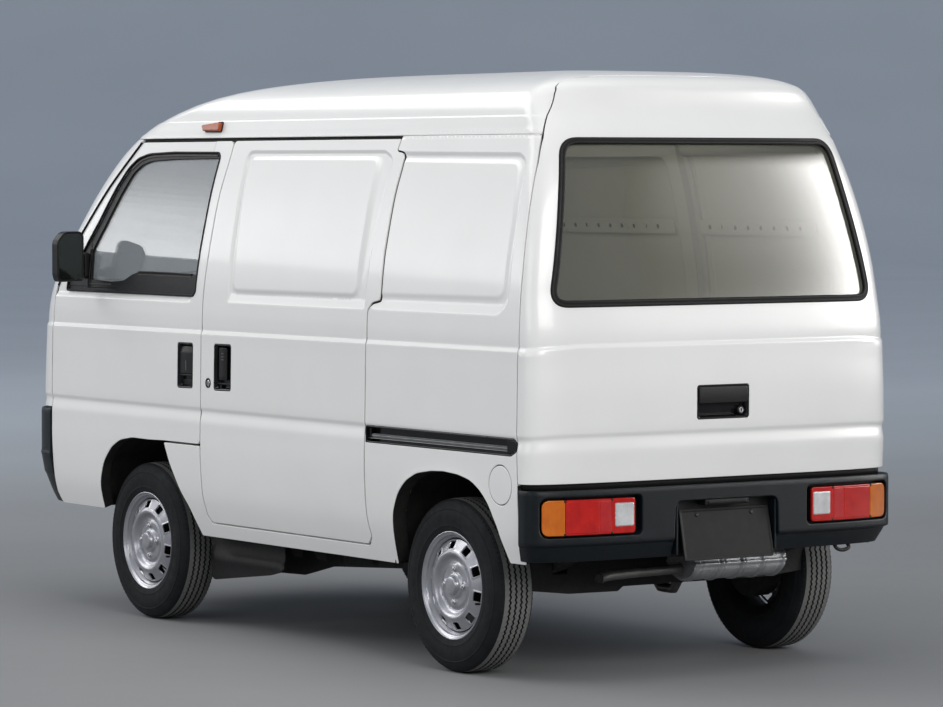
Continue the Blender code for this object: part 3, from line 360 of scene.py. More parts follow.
class Mesh:
    """Collects vertices, their normals and triangles."""

    def __init__(self):
        self.v, self.n, self.f, self.m, self.count = [], [], [], [], 0

    def add(self, v, n, f, mat=0):
        v, n = np.asarray(v, float).reshape(-1, 3), np.asarray(n, float).reshape(-1, 3)
        f = np.asarray(f, int).reshape(-1, 3)
        if len(f):
            g = np.cross(v[f[:, 1]] - v[f[:, 0]], v[f[:, 2]] - v[f[:, 0]])
            s = np.sum(g * n[f[:, 0]], 1)
            if np.sum(s) < 0:
                f = f[:, ::-1]
        self.v.append(v)
        self.n.append(n)
        self.f.append(f + self.count)
        self.m.append(np.full(len(f), mat))
        self.count += len(v)

    def grid(self, V, N, mat=0, wrap_u=False, wrap_v=False):
        """V is (rows, columns, 3)."""
        r, c = V.shape[:2]
        idx = np.arange(r * c).reshape(r, c)
        R = np.roll(idx, -1, 0) if wrap_u else idx[1:]
        A = idx if wrap_u else idx[:-1]
        if not wrap_v:
            a, b, c2, d = A[:, :-1], A[:, 1:], R[:, 1:], R[:, :-1]
        else:
            a, b, c2, d = A, np.roll(A, -1, 1), np.roll(R, -1, 1), R
        f = np.concatenate([np.stack([a, b, c2], -1).reshape(-1, 3), np.stack([a, c2, d], -1).reshape(-1, 3)])
        V, N, f = V.reshape(-1, 3), N.reshape(-1, 3), f
        g = np.cross(V[f[:, 1]] - V[f[:, 0]], V[f[:, 2]] - V[f[:, 0]])
        good = np.linalg.norm(g, axis=1) > 1e-12
        self.add(V, N, f[good], mat)

    def build(self, name, mats, mirror=False, smooth=True):
        v, n, f = np.concatenate(self.v), np.concatenate(self.n), np.concatenate(self.f)
        m = np.concatenate(self.m)
        n = n / np.maximum(np.linalg.norm(n, axis=1, keepdims=True), 1e-9)
        if mirror:
            v = v * [1, -1, 1]
            n = n * [1, -1, 1]
            f = f[:, ::-1]
        me = bpy.data.meshes.new(name)
        me.vertices.add(len(v))
        me.vertices.foreach_set("co", v.astype(np.float32).ravel())
        me.loops.add(len(f) * 3)
        me.loops.foreach_set("vertex_index", f.astype(np.int32).ravel())
        me.polygons.add(len(f))
        me.polygons.foreach_set("loop_start", np.arange(0, len(f) * 3, 3, dtype=np.int32))
        me.polygons.foreach_set("material_index", m.astype(np.int32))
        me.update(calc_edges=True)
        me.shade_smooth()
        me.normals_split_custom_set_from_vertices(n.astype(np.float32).tolist())
        for mat in mats:
            me.materials.append(mat)
        ob = bpy.data.objects.new(name, me)
        bpy.context.scene.collection.objects.link(ob)
        return ob


def evaluate(surf, hfun, U, V, fwd=None, offset=0.0, eps=0.0006):
    """Points and unit normals of the surface with its pressed height, moved in by offset."""
    def base_normal(u, v):
        e = 0.002
        du = surf(u + e, v) - surf(u - e, v)
        dv = surf(u, v + e) - surf(u, v - e)
        n = np.cross(du, dv)
        n /= np.maximum(np.linalg.norm(n, axis=1, keepdims=True), 1e-12)
        return n

    def orient(n, p):
        out = p - np.array([0.0, 0.0, 0.9]) * [0, 0, 1] - np.stack([np.clip(p[:, 0], -1.2, 1.0), 0 * p[:, 0], 0 * p[:, 0]], 1)
        out[:, 2] = np.where(p[:, 2] > 1.2, out[:, 2], 0)
        s = np.sign(np.sum(n * out))
        return n * (s if s != 0 else 1.0)

    P0 = surf(U, V)
    if hasattr(surf, "dirn"):
        N0 = base_normal(U, V)
        N0 = N0 * (1.0 if np.sum(N0 * surf.dirn) > 0 else -1.0)
    else:
        N0 = orient(base_normal(U, V), P0)
    sign = 1.0 if np.sum(base_normal(U, V) * N0) > 0 else -1.0
    if hfun is None:
        return P0 - N0 * offset, N0

    def full(u, v):
        return surf(u, v) + sign * base_normal(u, v) * (hfun(u, v) - offset)[:, None]
    P = full(U, V)
    du = full(U + eps, V) - full(U - eps, V)
    dv = full(U, V + eps) - full(U, V - eps)
    n = np.cross(du, dv) * sign
    n /= np.maximum(np.linalg.norm(n, axis=1, keepdims=True), 1e-12)
    return P, n


def band(loop, levels, step=0.008, closed=True):
    """Points on lines parallel to an outline, at distances levels (+ outward)."""
    out = []
    if closed:
        base = resample(ccw(np.asarray(loop, float)), step, True)
        for d in levels:
            out.append(grow(base, d))
    else:
        base = resample(np.asarray(loop, float), step)
        t = np.gradient(base, axis=0)
        t /= np.maximum(np.linalg.norm(t, axis=1, keepdims=True), 1e-9)
        n = np.stack([t[:, 1], -t[:, 0]], 1)
        for d in levels:
            out.append(base + n * d)
    return np.concatenate(out)


def panel(out, surf, loop, holes=(), h=None, depth=0.03, r=0.0018, base=0.022, rows=(), colsx=(), extra=(),
          offset=0.0, mat=0, mat_in=None, hem=None, inner=True, inner_base=0.07, edge_step=0.008, seg=3,
          dark=None, mat_painted_shade=0):
    """A pressed panel on a surface: outer skin, rounded edge, flange and inner skin, added to the Mesh out."""
    loops = [ccw(np.asarray(loop, float))] + [ccw(np.asarray(q, float)) for q in holes]
    if callable(hem):
        hem = hem(loops[0])
    hems = [hem if hem is not None else np.ones(len(loops[0]), bool)] + [np.ones(len(q), bool) for q in loops[1:]]
    moved = []
    for i, q in enumerate(loops):
        d = np.where(hems[i], r, 0.0) * (-1 if i == 0 else 1)
        n, k = loop_normals(q)
        moved.append(q + n * (d / k)[:, None])
    lo, hi = moved[0].min(0), moved[0].max(0)

    def axis(a, b, step, special):
        s = sorted(t for t in special if a + 0.002 < t < b - 0.002)
        m = max(2, int(round((b - a) / step)) + 1)
        g = [t for t in np.linspace(a, b, m) if all(abs(t - q) > step * 0.45 for q in s)]
        return np.array(sorted(g + s))
    gx, gz = axis(lo[0], hi[0], base, colsx), axis(lo[1], hi[1], base, rows)
    G = np.stack(np.meshgrid(gx, gz), -1).reshape(-1, 2)
    feats = [e for e in extra if len(e)]
    if feats:
        F = np.concatenate(feats)
        cell = 0.0055
        occ = set(map(tuple, np.floor(F / cell).astype(int)))
        key = np.floor(G / cell).astype(int)
        near = np.array([any((a + i, b + j) in occ for i in (-1, 0, 1) for j in (-1, 0, 1)) for a, b in key])
        G = np.concatenate([G[~near], F])
    ok = inside(G, moved[0])
    for q in moved[1:]:
        ok &= ~inside(G, q)
    G = G[ok]
    far = np.ones(len(G), bool)
    for q in moved:
        far &= dist_line(G, q, True) > 0.0035
    G = G[far]

    def mesh2d(grid):
        pts = np.concatenate(moved + [grid])
        start, edges, faces = 0, [], []
        for i, q in enumerate(moved):
            ids = list(range(start, start + len(q)))
            if i == 0:
                faces.append(ids)
            else:
                edges += [(ids[k - 1], ids[k]) for k in range(len(ids))]
            start += len(q)
        res = delaunay_2d_cdt([Vector((float(a), float(b))) for a, b in pts], edges, faces, 1, 1e-7, False)
        P2 = np.array([(q[0], q[1]) for q in res[0]])
        T = np.array([t for t in res[2] if len(t) == 3], int)
        c = P2[T].mean(1)
        ok2 = inside(c, moved[0])
        for q in moved[1:]:
            ok2 &= ~inside(c, q)
        return P2, T[ok2]
    P2, T = mesh2d(G)
    P, N = evaluate(surf, h, P2[:, 0], P2[:, 1], offset=offset)
    out.add(P, N, T, mat)
    if mat_in is None:
        mat_in = mat
    # rounded edge and flange
    for i, q in enumerate(moved):
        on = hems[i]
        sgn = 1.0 if i == 0 else -1.0
        nn, _ = loop_normals(q)
        P1, N1 = evaluate(surf, h, q[:, 0], q[:, 1], offset=offset)
        Q = q + nn * sgn * 0.001
        P3, _ = evaluate(surf, h, Q[:, 0], Q[:, 1], offset=offset)
        B = P3 - P1
        B -= N1 * np.sum(B * N1, 1, keepdims=True)
        B /= np.maximum(np.linalg.norm(B, axis=1, keepdims=True), 1e-9)
        rows_v, rows_n = [], []
        for k in range(seg + 1):
            th = math.pi / 2 * k / seg
            rows_v.append(P1 + B * (r * math.sin(th)) - N1 * (r * (1 - math.cos(th))))
            rows_n.append(N1 * math.cos(th) + B * math.sin(th))
        rows_v.append(P1 + B * r - N1 * depth)
        rows_n.append(B)
        V = np.stack(rows_v, 0)
        Nn = np.stack(rows_n, 0)
        m = len(q)
        A = np.arange(m)
        Bn = (A + 1) % m
        use = on[A] & on[Bn]
        A, Bn = A[use], Bn[use]
        for k in range(len(rows_v) - 1):
            f = np.concatenate([np.stack([A, Bn, Bn + m], -1), np.stack([A, Bn + m, A + m], -1)])
            vv, n2 = V[k:k + 2].reshape(-1, 3), Nn[k:k + 2].reshape(-1, 3)
            # where dark(q) holds, the flange row takes the black material instead of the paint: painted shade for the
            # inside of seams and arch lips
            if dark is not None and i == 0 and k == len(rows_v) - 2:
                shade_rows = dark(q)[A]
                shade_rows = np.concatenate([shade_rows, shade_rows])
                out.add(vv, n2, f[~shade_rows], mat)
                out.add(vv, n2, f[shade_rows], mat_painted_shade)
            else:
                out.add(vv, n2, f, mat)
    if inner:
        gx, gz = axis(lo[0], hi[0], inner_base, ()), axis(lo[1], hi[1], inner_base, ())
        G = np.stack(np.meshgrid(gx, gz), -1).reshape(-1, 2)
        ok = inside(G, moved[0])
        for q in moved[1:]:
            ok &= ~inside(G, q)
        for q in moved:
            ok &= dist_line(G, q, True) > inner_base * 0.3
        P2, T = mesh2d(G[ok])
        P, N = evaluate(surf, None, P2[:, 0], P2[:, 1], offset=offset)
        out.add(P - N * depth, -N, T, mat_in)


def sweep(out, surf, line, section, closed=False, h=None, mat=0, offset=0.0, taper=None, caps=True):
    """A closed section (s across, n outward) carried along a line on a surface."""
    q = np.asarray(line, float)
    P, N = evaluate(surf, h, q[:, 0], q[:, 1], offset=offset)
    if closed:
        Tn = np.roll(P, -1, 0) - np.roll(P, 1, 0)
    else:
        Tn = np.gradient(P, axis=0)
    Tn /= np.maximum(np.linalg.norm(Tn, axis=1, keepdims=True), 1e-9)
    Bn = np.cross(N, Tn)
    Bn /= np.maximum(np.linalg.norm(Bn, axis=1, keepdims=True), 1e-9)
    sec = np.asarray(section, float)
    if area2(sec) < 0:
        sec = sec[::-1]
    sn, _ = loop_normals(sec)
    k = np.ones(len(q)) if taper is None else np.asarray(taper)
    V = P[:, None, :] + Bn[:, None, :] * (sec[None, :, 0:1] * k[:, None, None]) + N[:, None, :] * (sec[None, :, 1:2] * k[:, None, None])
    NN = Bn[:, None, :] * sn[None, :, 0:1] + N[:, None, :] * sn[None, :, 1:2] + 0 * V
    out.grid(V, NN, mat, wrap_u=closed, wrap_v=True)
    if not closed and caps:
        for e, s in ((0, -1), (-1, 1)):
            c = V[e].mean(0)
            vv = np.vstack([V[e], c])
            m = len(sec)
            f = np.stack([np.arange(m), (np.arange(m) + 1) % m, np.full(m, m)], -1)
            nn = np.tile(Tn[e] * s, (m + 1, 1))
            out.add(vv, nn, f, mat)


def ring_section(w, t, n=10, flat=0.0):
    """Half-round strip section: w wide, t tall, standing on the surface."""
    a = np.linspace(0, math.pi, n)
    top = np.stack([w / 2 * np.sign(np.cos(a)) * np.abs(np.cos(a)) ** 0.7, t * np.abs(np.sin(a)) ** 0.7], 1)
    return np.vstack([top, [(-w / 2, -flat), (w / 2, -flat)]]) if flat else top


# =====================================================================================================
# 3. materials
# =====================================================================================================
def new_mat(name):
    m = bpy.data.materials.new(name)
    m.use_nodes = True
    nt = m.node_tree
    return m, nt, nt.nodes["Principled BSDF"]


def noise(nt, scale, detail=3.0, rough=0.55, coord="Object"):
    tc = nt.nodes.new("ShaderNodeTexCoord")
    no = nt.nodes.new("ShaderNodeTexNoise")
    no.inputs["Scale"].default_value = scale
    no.inputs["Detail"].default_value = detail
    no.inputs["Roughness"].default_value = rough
    nt.links.new(tc.outputs[coord], no.inputs["Vector"])
    return no


def ramp(nt, src, a, b, lo=0.3, hi=0.7):
    r = nt.nodes.new("ShaderNodeValToRGB")
    r.color_ramp.elements[0].position = lo
    r.color_ramp.elements[1].position = hi
    r.color_ramp.elements[0].color = (*a, 1.0)
    r.color_ramp.elements[1].color = (*b, 1.0)
    nt.links.new(src, r.inputs[0])
    return r


def rangemap(nt, src, lo, hi, f0=0.3, f1=0.7):
    r = nt.nodes.new("ShaderNodeMapRange")
    r.inputs["From Min"].default_value = f0
    r.inputs["From Max"].default_value = f1
    r.inputs["To Min"].default_value = lo
    r.inputs["To Max"].default_value = hi
    nt.links.new(src, r.inputs["Value"])
    return r


def bumped(nt, bsdf, src, strength, dist):
    b = nt.nodes.new("ShaderNodeBump")
    b.inputs["Strength"].default_value = strength
    b.inputs["Distance"].default_value = dist
    nt.links.new(src, b.inputs["Height"])
    nt.links.new(b.outputs[0], bsdf.inputs["Normal"])
    return b


def finish_mat(name, c0, c1, rough=(0.3, 0.4), metal=0.0, scale=40.0, bump=0.0, bump_scale=300.0, coat=0.0,
               coat_rough=0.03, spec=0.5, ior=None, sheen=0.0):
    m, nt, b = new_mat(name)
    n1 = noise(nt, scale)
    r = ramp(nt, n1.outputs["Fac"], c0, c1)
    nt.links.new(r.outputs[0], b.inputs["Base Color"])
    n2 = noise(nt, scale * 2.3, 4.0)
    mr = rangemap(nt, n2.outputs["Fac"], rough[0], rough[1])
    nt.links.new(mr.outputs[0], b.inputs["Roughness"])
    b.inputs["Metallic"].default_value = metal
    b.inputs["Coat Weight"].default_value = coat
    b.inputs["Coat Roughness"].default_value = coat_rough
    b.inputs["Specular IOR Level"].default_value = spec
    b.inputs["Sheen Weight"].default_value = sheen
    if ior:
        b.inputs["IOR"].default_value = ior
    if bump:
        n3 = noise(nt, bump_scale, 2.0)
        bumped(nt, b, n3.outputs["Fac"], bump, 0.001)
    return m


def glass_mat(name, c0, c1, alpha, rough=0.02, spec=0.5, ior=1.52):
    m, nt, b = new_mat(name)
    n1 = noise(nt, 3.0, 2.0)
    r = ramp(nt, n1.outputs["Fac"], c0, c1)
    nt.links.new(r.outputs[0], b.inputs["Base Color"])
    n2 = noise(nt, 6.0, 3.0)
    mr = rangemap(nt, n2.outputs["Fac"], rough * 0.6, rough * 1.6)
    nt.links.new(mr.outputs[0], b.inputs["Roughness"])
    b.inputs["IOR"].default_value = ior
    b.inputs["Specular IOR Level"].default_value = spec
    b.inputs["Alpha"].default_value = alpha
    m.surface_render_method = 'DITHERED'
    return m


def lens_mat(name, c0, c1, rough=0.06, transmission=0.0, scale=260.0, alpha=1.0):
    """Moulded lamp plastic with fine optic ribs."""
    m, nt, b = new_mat(name)
    n1 = noise(nt, 25.0, 2.0)
    r = ramp(nt, n1.outputs["Fac"], c0, c1)
    nt.links.new(r.outputs[0], b.inputs["Base Color"])
    n2 = noise(nt, 60.0, 2.0)
    mr = rangemap(nt, n2.outputs["Fac"], rough, rough * 2.2)
    nt.links.new(mr.outputs[0], b.inputs["Roughness"])
    tc = nt.nodes.new("ShaderNodeTexCoord")
    wv = nt.nodes.new("ShaderNodeTexWave")
    wv.wave_type = 'BANDS'
    wv.bands_direction = 'Y'
    wv.inputs["Scale"].default_value = scale / 6.283
    nt.links.new(tc.outputs["Object"], wv.inputs["Vector"])
    bumped(nt, b, wv.outputs["Fac"], 0.25, 0.0008)
    b.inputs["Coat Weight"].default_value = 0.45
    b.inputs["Coat Roughness"].default_value = 0.02
    b.inputs["Specular IOR Level"].default_value = 0.35
    b.inputs["Transmission Weight"].default_value = transmission
    b.inputs["Alpha"].default_value = alpha
    return m


M_PAINT = finish_mat("paint_white", (0.825, 0.825, 0.815), (0.85, 0.85, 0.84), (0.30, 0.36), scale=3.0, bump=0.02,
                     bump_scale=900.0, coat=0.40, coat_rough=0.085, spec=0.5)
M_INNER = finish_mat("paint_inner", (0.66, 0.67, 0.68), (0.70, 0.71, 0.72), (0.40, 0.50), scale=5.0, bump=0.05,
                     bump_scale=500.0)
M_PLASTIC = finish_mat("plastic_bumper", (0.0032, 0.0058, 0.0082), (0.0050, 0.0082, 0.0112), (0.34, 0.44), scale=30.0,
                       bump=0.25, bump_scale=2200.0, spec=0.22)
M_BLACK = finish_mat("trim_black", (0.0045, 0.0045, 0.0050), (0.0075, 0.0075, 0.0080), (0.34, 0.46), scale=50.0, bump=0.15,
                     bump_scale=1800.0, spec=0.25)
M_GLOSSB = finish_mat("trim_gloss_black", (0.006, 0.006, 0.007), (0.010, 0.010, 0.011), (0.10, 0.16), scale=20.0,
                      coat=0.15, spec=0.3)
M_RUBBER = finish_mat("rubber_seal", (0.0050, 0.0050, 0.0055), (0.0085, 0.0085, 0.0090), (0.50, 0.62), scale=60.0,
                      bump=0.2, bump_scale=900.0, spec=0.2)
# tread ribs lighter than the rubber: painted light on the rib tops; grooves near black: painted shade in the grooves of
# the same rubber
M_TREAD_PAINTED_LIGHT = finish_mat("tyre_tread_rib", (0.105, 0.107, 0.103), (0.170, 0.172, 0.164), (0.60, 0.75), scale=260.0, bump=0.5, bump_scale=900.0)
M_GROOVE_PAINTED_SHADE = finish_mat("tyre_groove_painted_shade", (0.004, 0.004, 0.004), (0.007, 0.007, 0.007), (0.80, 0.90), scale=60.0)
M_TYRE = finish_mat("tyre_rubber_worn", (0.0055, 0.0065, 0.0080), (0.0100, 0.0112, 0.0130), (0.62, 0.78), scale=18.0,
                    bump=0.35, bump_scale=1200.0, spec=0.2)
M_STEEL = finish_mat("wheel_silver", (0.36, 0.362, 0.395), (0.43, 0.432, 0.465), (0.28, 0.36), metal=0.72, scale=25.0,
                     bump=0.06, bump_scale=1500.0, coat=0.3, coat_rough=0.15)
M_METAL = finish_mat("bright_metal", (0.60, 0.60, 0.62), (0.68, 0.68, 0.70), (0.18, 0.30), metal=1.0, scale=60.0,
                     bump=0.05, bump_scale=700.0)
M_IRON = finish_mat("chassis_black", (0.010, 0.010, 0.011), (0.026, 0.024, 0.022), (0.55, 0.75), scale=14.0,
                    bump=0.3, bump_scale=200.0, spec=0.25)
M_EXH = finish_mat("exhaust_aluminised", (0.42, 0.43, 0.44), (0.55, 0.56, 0.57), (0.35, 0.50), metal=0.9, scale=35.0,
                   bump=0.15, bump_scale=300.0)
M_GLASS = glass_mat("glass_clear", (0.36, 0.39, 0.40), (0.40, 0.43, 0.44), 0.38, spec=0.7, ior=2.2)
M_TINT = glass_mat("glass_bronze", (0.046, 0.045, 0.030), (0.054, 0.053, 0.036), 0.44, spec=0.62, ior=2.2)
M_AMBER = lens_mat("lens_amber", (0.54, 0.118, 0.002), (0.66, 0.160, 0.004))
M_AMBER_SIDE = lens_mat("lens_amber_side", (0.33, 0.050, 0.003), (0.42, 0.075, 0.005))
M_RED = lens_mat("lens_red", (0.42, 0.004, 0.003), (0.56, 0.009, 0.005))
M_WHITE = lens_mat("lens_white", (0.52, 0.52, 0.53), (0.68, 0.68, 0.69))
M_CLEAR = lens_mat("lens_clear", (0.80, 0.82, 0.84), (0.86, 0.88, 0.90), alpha=0.30)
M_PLATE = finish_mat("plate_blank", (0.011, 0.011, 0.011), (0.015, 0.015, 0.015), (0.42, 0.50), scale=30.0, bump=0.05, spec=0.1)
M_CLOTH = finish_mat("cloth_grey", (0.10, 0.105, 0.115), (0.155, 0.16, 0.17), (0.80, 0.95), scale=600.0, bump=0.6,
                     bump_scale=1500.0, sheen=0.4, spec=0.2)
M_VINYL = finish_mat("vinyl_dark", (0.055, 0.057, 0.062), (0.075, 0.077, 0.082), (0.50, 0.62), scale=60.0, bump=0.35,
                     bump_scale=1400.0)
M_DASH = finish_mat("dash_grey", (0.080, 0.086, 0.095), (0.100, 0.106, 0.115), (0.52, 0.66), scale=40.0, bump=0.3,
                    bump_scale=1600.0)
M_MAT = finish_mat("floor_mat", (0.030, 0.030, 0.032), (0.050, 0.050, 0.052), (0.75, 0.90), scale=90.0, bump=0.5,
                   bump_scale=700.0)
M_MIRROR_DARK = finish_mat("mirror_glass_dark", (0.13, 0.145, 0.135), (0.15, 0.165, 0.155), (0.03, 0.05), metal=1.0, scale=4.0)
M_MIRROR = finish_mat("mirror_silver", (0.55, 0.57, 0.60), (0.60, 0.62, 0.65), (0.02, 0.04), metal=1.0, scale=4.0)

# =====================================================================================================
# 4. seam lines (side view, x z) and pressed heights
# =====================================================================================================
GAP = 0.0027
DOOR_TOP_Z, ROOF_EDGE_Z = 1.6450, 1.6550
SEAM_FRONT = [(1.386, 0.300), (1.386, 1.020), (1.382, 1.100), (1.370, 1.140), (1.235, 1.333), (1.096, 1.490),
              (0.956, 1.632), (0.940, DOOR_TOP_Z)]
SEAM_B = [(0.341, 0.440), (0.342, 1.030), (0.343, 1.105), (0.338, 1.190), (0.333, 1.263), (0.331, 1.327),
          (0.329, 1.400), (0.324, 1.477), (0.315, 1.545), (0.311, 1.596), (0.307, DOOR_TOP_Z)]
SEAM_C = [(-0.718, 1.6485), (-0.709, 1.612), (-0.714, 1.607), (-0.735, 1.605), (-0.750, 1.600), (-0.756, 1.588),
          (-0.755, 1.544), (-0.749, 1.476), (-0.747, 1.384), (-0.746, 1.284), (-0.750, 1.153), (-0.746, 1.137),
          (-0.706, 1.129), (-0.682, 1.107), (-0.682, 0.455), (-0.688, 0.392), (-0.662, 0.3635)]
SEAM_GATE = [(-1.532, 0.300), (-1.531, 0.606), (-1.523, 0.743), (-1.523, 1.071), (-1.517, 1.249), (-1.497, 1.457),
             (-1.482, 1.568), (-1.464, 1.646), (-1.439, 1.712), (-1.424, 1.767), (-1.417, 1.790), (-1.404, 1.810),
             (-1.390, 1.832)]
ARCH_FRONT = [(1.058, 0.200), (1.058, 0.361), (1.050, 0.453), (1.012, 0.533), (0.950, 0.588), (0.888, 0.615),
              (0.804, 0.627), (0.688, 0.626), (0.584, 0.6215)]
ARCH_SILL = [(0.584, 0.6215), (0.551, 0.556), (0.497, 0.475), (0.448, 0.412), (0.424, 0.355), (0.408, 0.314)]
ARCH_REAR = [(-0.806, 0.314), (-0.826, 0.420), (-0.838, 0.480), (-0.872, 0.544), (-0.921, 0.585), (-0.982, 0.611),
             (-1.064, 0.623), (-1.131, 0.626), (-1.211, 0.621), (-1.283, 0.607), (-1.336, 0.577), (-1.374, 0.540),
             (-1.413, 0.476), (-1.440, 0.400), (-1.450, 0.366)]
WINDOW_DOOR = [(0.4090, 1.1250), (0.3955, 1.1400), (0.376, 1.590), (0.390, 1.605), (0.691, 1.607), (0.861, 1.602),
               (0.931, 1.587), (0.980, 1.555), (1.035, 1.488), (1.112, 1.373), (1.190, 1.270), (1.288, 1.152),
               (1.292, 1.125)]


def shifted(line, dx):
    return [(x + dx, z) for x, z in line]


def offset_line(line, d):
    """An open line moved sideways by d, to the left of its direction; the ends keep their height."""
    P = np.asarray(line, float)
    out = []
    for i in range(len(P)):
        a = P[i] - P[i - 1] if i > 0 else P[1] - P[0]
        b = P[i + 1] - P[i] if i < len(P) - 1 else a
        a, b = a / np.linalg.norm(a), b / np.linalg.norm(b)
        na, nb = np.array([-a[1], a[0]]), np.array([-b[1], b[0]])
        m = na + nb
        m /= np.linalg.norm(m)
        q = P[i] + m * d / max(m @ na, 0.5)
        out.append((q[0], P[i][1] if i in (0, len(P) - 1) else q[1]))
    return out


# crease profile of the side, as height over the smooth surface (z relative to the line at z = 1.010)
CREASE_HI = np.array([(-0.060, 0.0000), (-0.030, 0.0006), (-0.016, 0.0012), (-0.0120, 0.0013), (-0.0102, 0.0010),
                      (-0.0085, 0.0002), (-0.0015, -0.0026), (0.0003, -0.0031), (0.0025, -0.0032), (0.008, -0.0027),
                      (0.020, -0.0020), (0.045, -0.0008), (0.090, 0.0)])
CREASE_LO = np.array([(-0.075, 0.0), (-0.050, 0.0005), (-0.042, 0.0006), (-0.034, 0.0001), (-0.022, -0.0016),
                      (-0.008, -0.0040), (-0.001, -0.0048), (0.003, -0.0046), (0.008, -0.0026), (0.0125, -0.0006),
                      (0.016, -0.0001), (0.030, 0.0)])
ROWS_HI = [-0.0165, -0.0125, -0.0102, -0.0085, -0.005, -0.0015, 0.0003, 0.0025, 0.006, 0.012, 0.022]
ROWS_LO = [-0.052, -0.043, -0.036, -0.029, -0.022, -0.015, -0.008, -0.003, 0.0005, 0.004, 0.008, 0.0125, 0.017]
_q = np.arange(-0.12, 0.1201, 0.0004)
HI_S = blur(np.interp(_q, CREASE_HI[:, 0], CREASE_HI[:, 1]), 2.2)
LO_S = blur(np.interp(_q, CREASE_LO[:, 0], CREASE_LO[:, 1]), 6.0)


def creases(z, zhi, zlo):
    return np.interp(z - zhi, _q, HI_S, 0, 0) + np.interp(z - zlo, _q, LO_S, 0, 0)


def z_hi(x):
    return 1.0075 + (1.39 - x) / (1.39 + 1.52) * 0.008


def h_side_base(x, z):
    return creases(z, z_hi(x), np.full_like(x, 0.738))


def ledge(z, top, bottom, depth):
    """The step in the belt: full depth above top, none below bottom."""
    return -depth * sstep((z - bottom) / (top - bottom))


# ---- sliding door: raised plate inside a soft channel
SL_OUT = rounded([(0.206, 1.612), (-0.640, 1.610), (-0.700, 1.585), (-0.672, 1.360), (-0.664, 1.105), (0.182, 1.098)],
                 [0.035, 0.05, 0.05, 0.3, 0.02, 0.02], 0.01)
SL_IN = rounded([(0.178, 1.584), (-0.606, 1.582), (-0.603, 1.155), (0.152, 1.152)], [0.03, 0.03, 0.03, 0.03], 0.01)


def h_slide(x, z):
    P = np.stack([x, z], 1)
    h = h_side_base(x, z)
    near = (z > 1.05)
    out = np.zeros_like(x)
    if near.any():
        q = P[near]
        d1 = sdf(q, SL_OUT)
        d2 = sdf(q, SL_IN)
        # the lower run of the channel opens over the belt ledge
        low = sstep((q[:, 1] - 1.104) / 0.040)
        side = sstep((d1 + 0.004) / 0.016)
        groove = -0.0068 * side * low
        lift = 0.0046 * sstep((d2 + 0.012) / 0.015)
        # above the plate the channel stays open, beside it the plate is lower
        out[near] = groove + lift
    return h + out


# ---- quarter: recess with a rounded rear end
Q_OUT = rounded([(-0.600, 1.606), (-1.392, 1.600), (-1.436, 1.578), (-1.452, 1.400), (-1.458, 1.150), (-1.400, 1.106),
                 (-0.600, 1.100)], [0.01, 0.03, 0.04, 0.2, 0.055, 0.03, 0.01], 0.01)
Q_IN = rounded([(-0.500, 1.579), (-1.396, 1.570), (-1.420, 1.400), (-1.425, 1.165), (-0.500, 1.158)],
               [0.01, 0.04, 0.2, 0.04, 0.01], 0.01)


def h_quarter(x, z):
    P = np.stack([x, z], 1)
    h = h_side_base(x, z)
    near = (z > 1.05) & (x < -0.70)
    out = np.zeros_like(x)
    if near.any():
        q = P[near]
        d1 = sdf(q, Q_OUT)
        d2 = sdf(q, Q_IN)
        low = sstep((q[:, 1] - 1.106) / 0.040)
        side = sstep((d1 + 0.004) / 0.018)
        out[near] = -0.0072 * side * low + 0.0030 * sstep((d2 + 0.012) / 0.016)
    # soft groove under the roof edge
    g = np.exp(-((z - 1.6500) / 0.0022) ** 2) * -0.0020 * sstep((-0.716 - x) / 0.01)
    return h + out + g


# ---- front door: belt ledge under the window
def h_door(x, z):
    h = h_side_base(x, z)
    k = sstep((x - 0.415) / 0.035)
    up = sstep((z - 1.100) / 0.020)
    h = h - 0.0060 * k * up
    return h


# =====================================================================================================
# 5. body panels
# =====================================================================================================
def two_sides(mesh_fn, name, mats, bodies, nodes=(None, None)):
    out = []
    for side, mirror in (("left", False), ("right", True)):
        m = Mesh()
        mesh_fn(m, side)
        ob = m.build(name + "_" + side, mats, mirror=mirror)
        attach(ob, bodies[0 if side == "left" else 1])
        nd = nodes[0 if side == "left" else 1]
        if nd:
            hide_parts(*([nd] if isinstance(nd, str) else nd))
        out.append(ob)
    return out


ROW_SIDE = [1.0108 + d for d in ROWS_HI] + [0.738 + d for d in ROWS_LO]
ROW_BELT = [1.098, 1.102, 1.106, 1.110, 1.114, 1.118, 1.122]
BELT2 = [1.102, 1.108, 1.114, 1.120, 1.126, 1.132, 1.138, 1.144, 1.150, 1.156]

# handle pockets (x, z)
HP_DOOR = rounded([(0.498, 0.966), (0.394, 0.967), (0.394, 0.813), (0.498, 0.811)], 0.012, 0.006)
HP_SLIDE = rounded([(0.256, 0.969), (0.144, 0.970), (0.144, 0.814), (0.256, 0.812)], 0.012, 0.006)
WIN = rounded(WINDOW_DOOR, [0.014, 0.014, 0.02, 0.02, 0.3, 0.2, 0.08, 0.1, 0.3, 0.5, 0.5, 0.012, 0.006], 0.008)

DOOR_LOOP = rounded(
    [(1.386 - GAP, 0.402), (1.362, 0.3638), (1.058, 0.3638)] + ARCH_FRONT[2:-1] + [(0.584, 0.6285), (0.341 + GAP, 0.6285)]
    + shifted(SEAM_B[1:], GAP) + [(0.940 - GAP, DOOR_TOP_Z)] + list(reversed(shifted(SEAM_FRONT[1:-1], -GAP))),
    [0.02, 0.02, 0.004] + [0.15] * 6 + [0.012, 0.02] + [0.3] * 10 + [0.02] + [0.3, 0.5, 0.5, 0.05, 0.2, 0.1], 0.009)


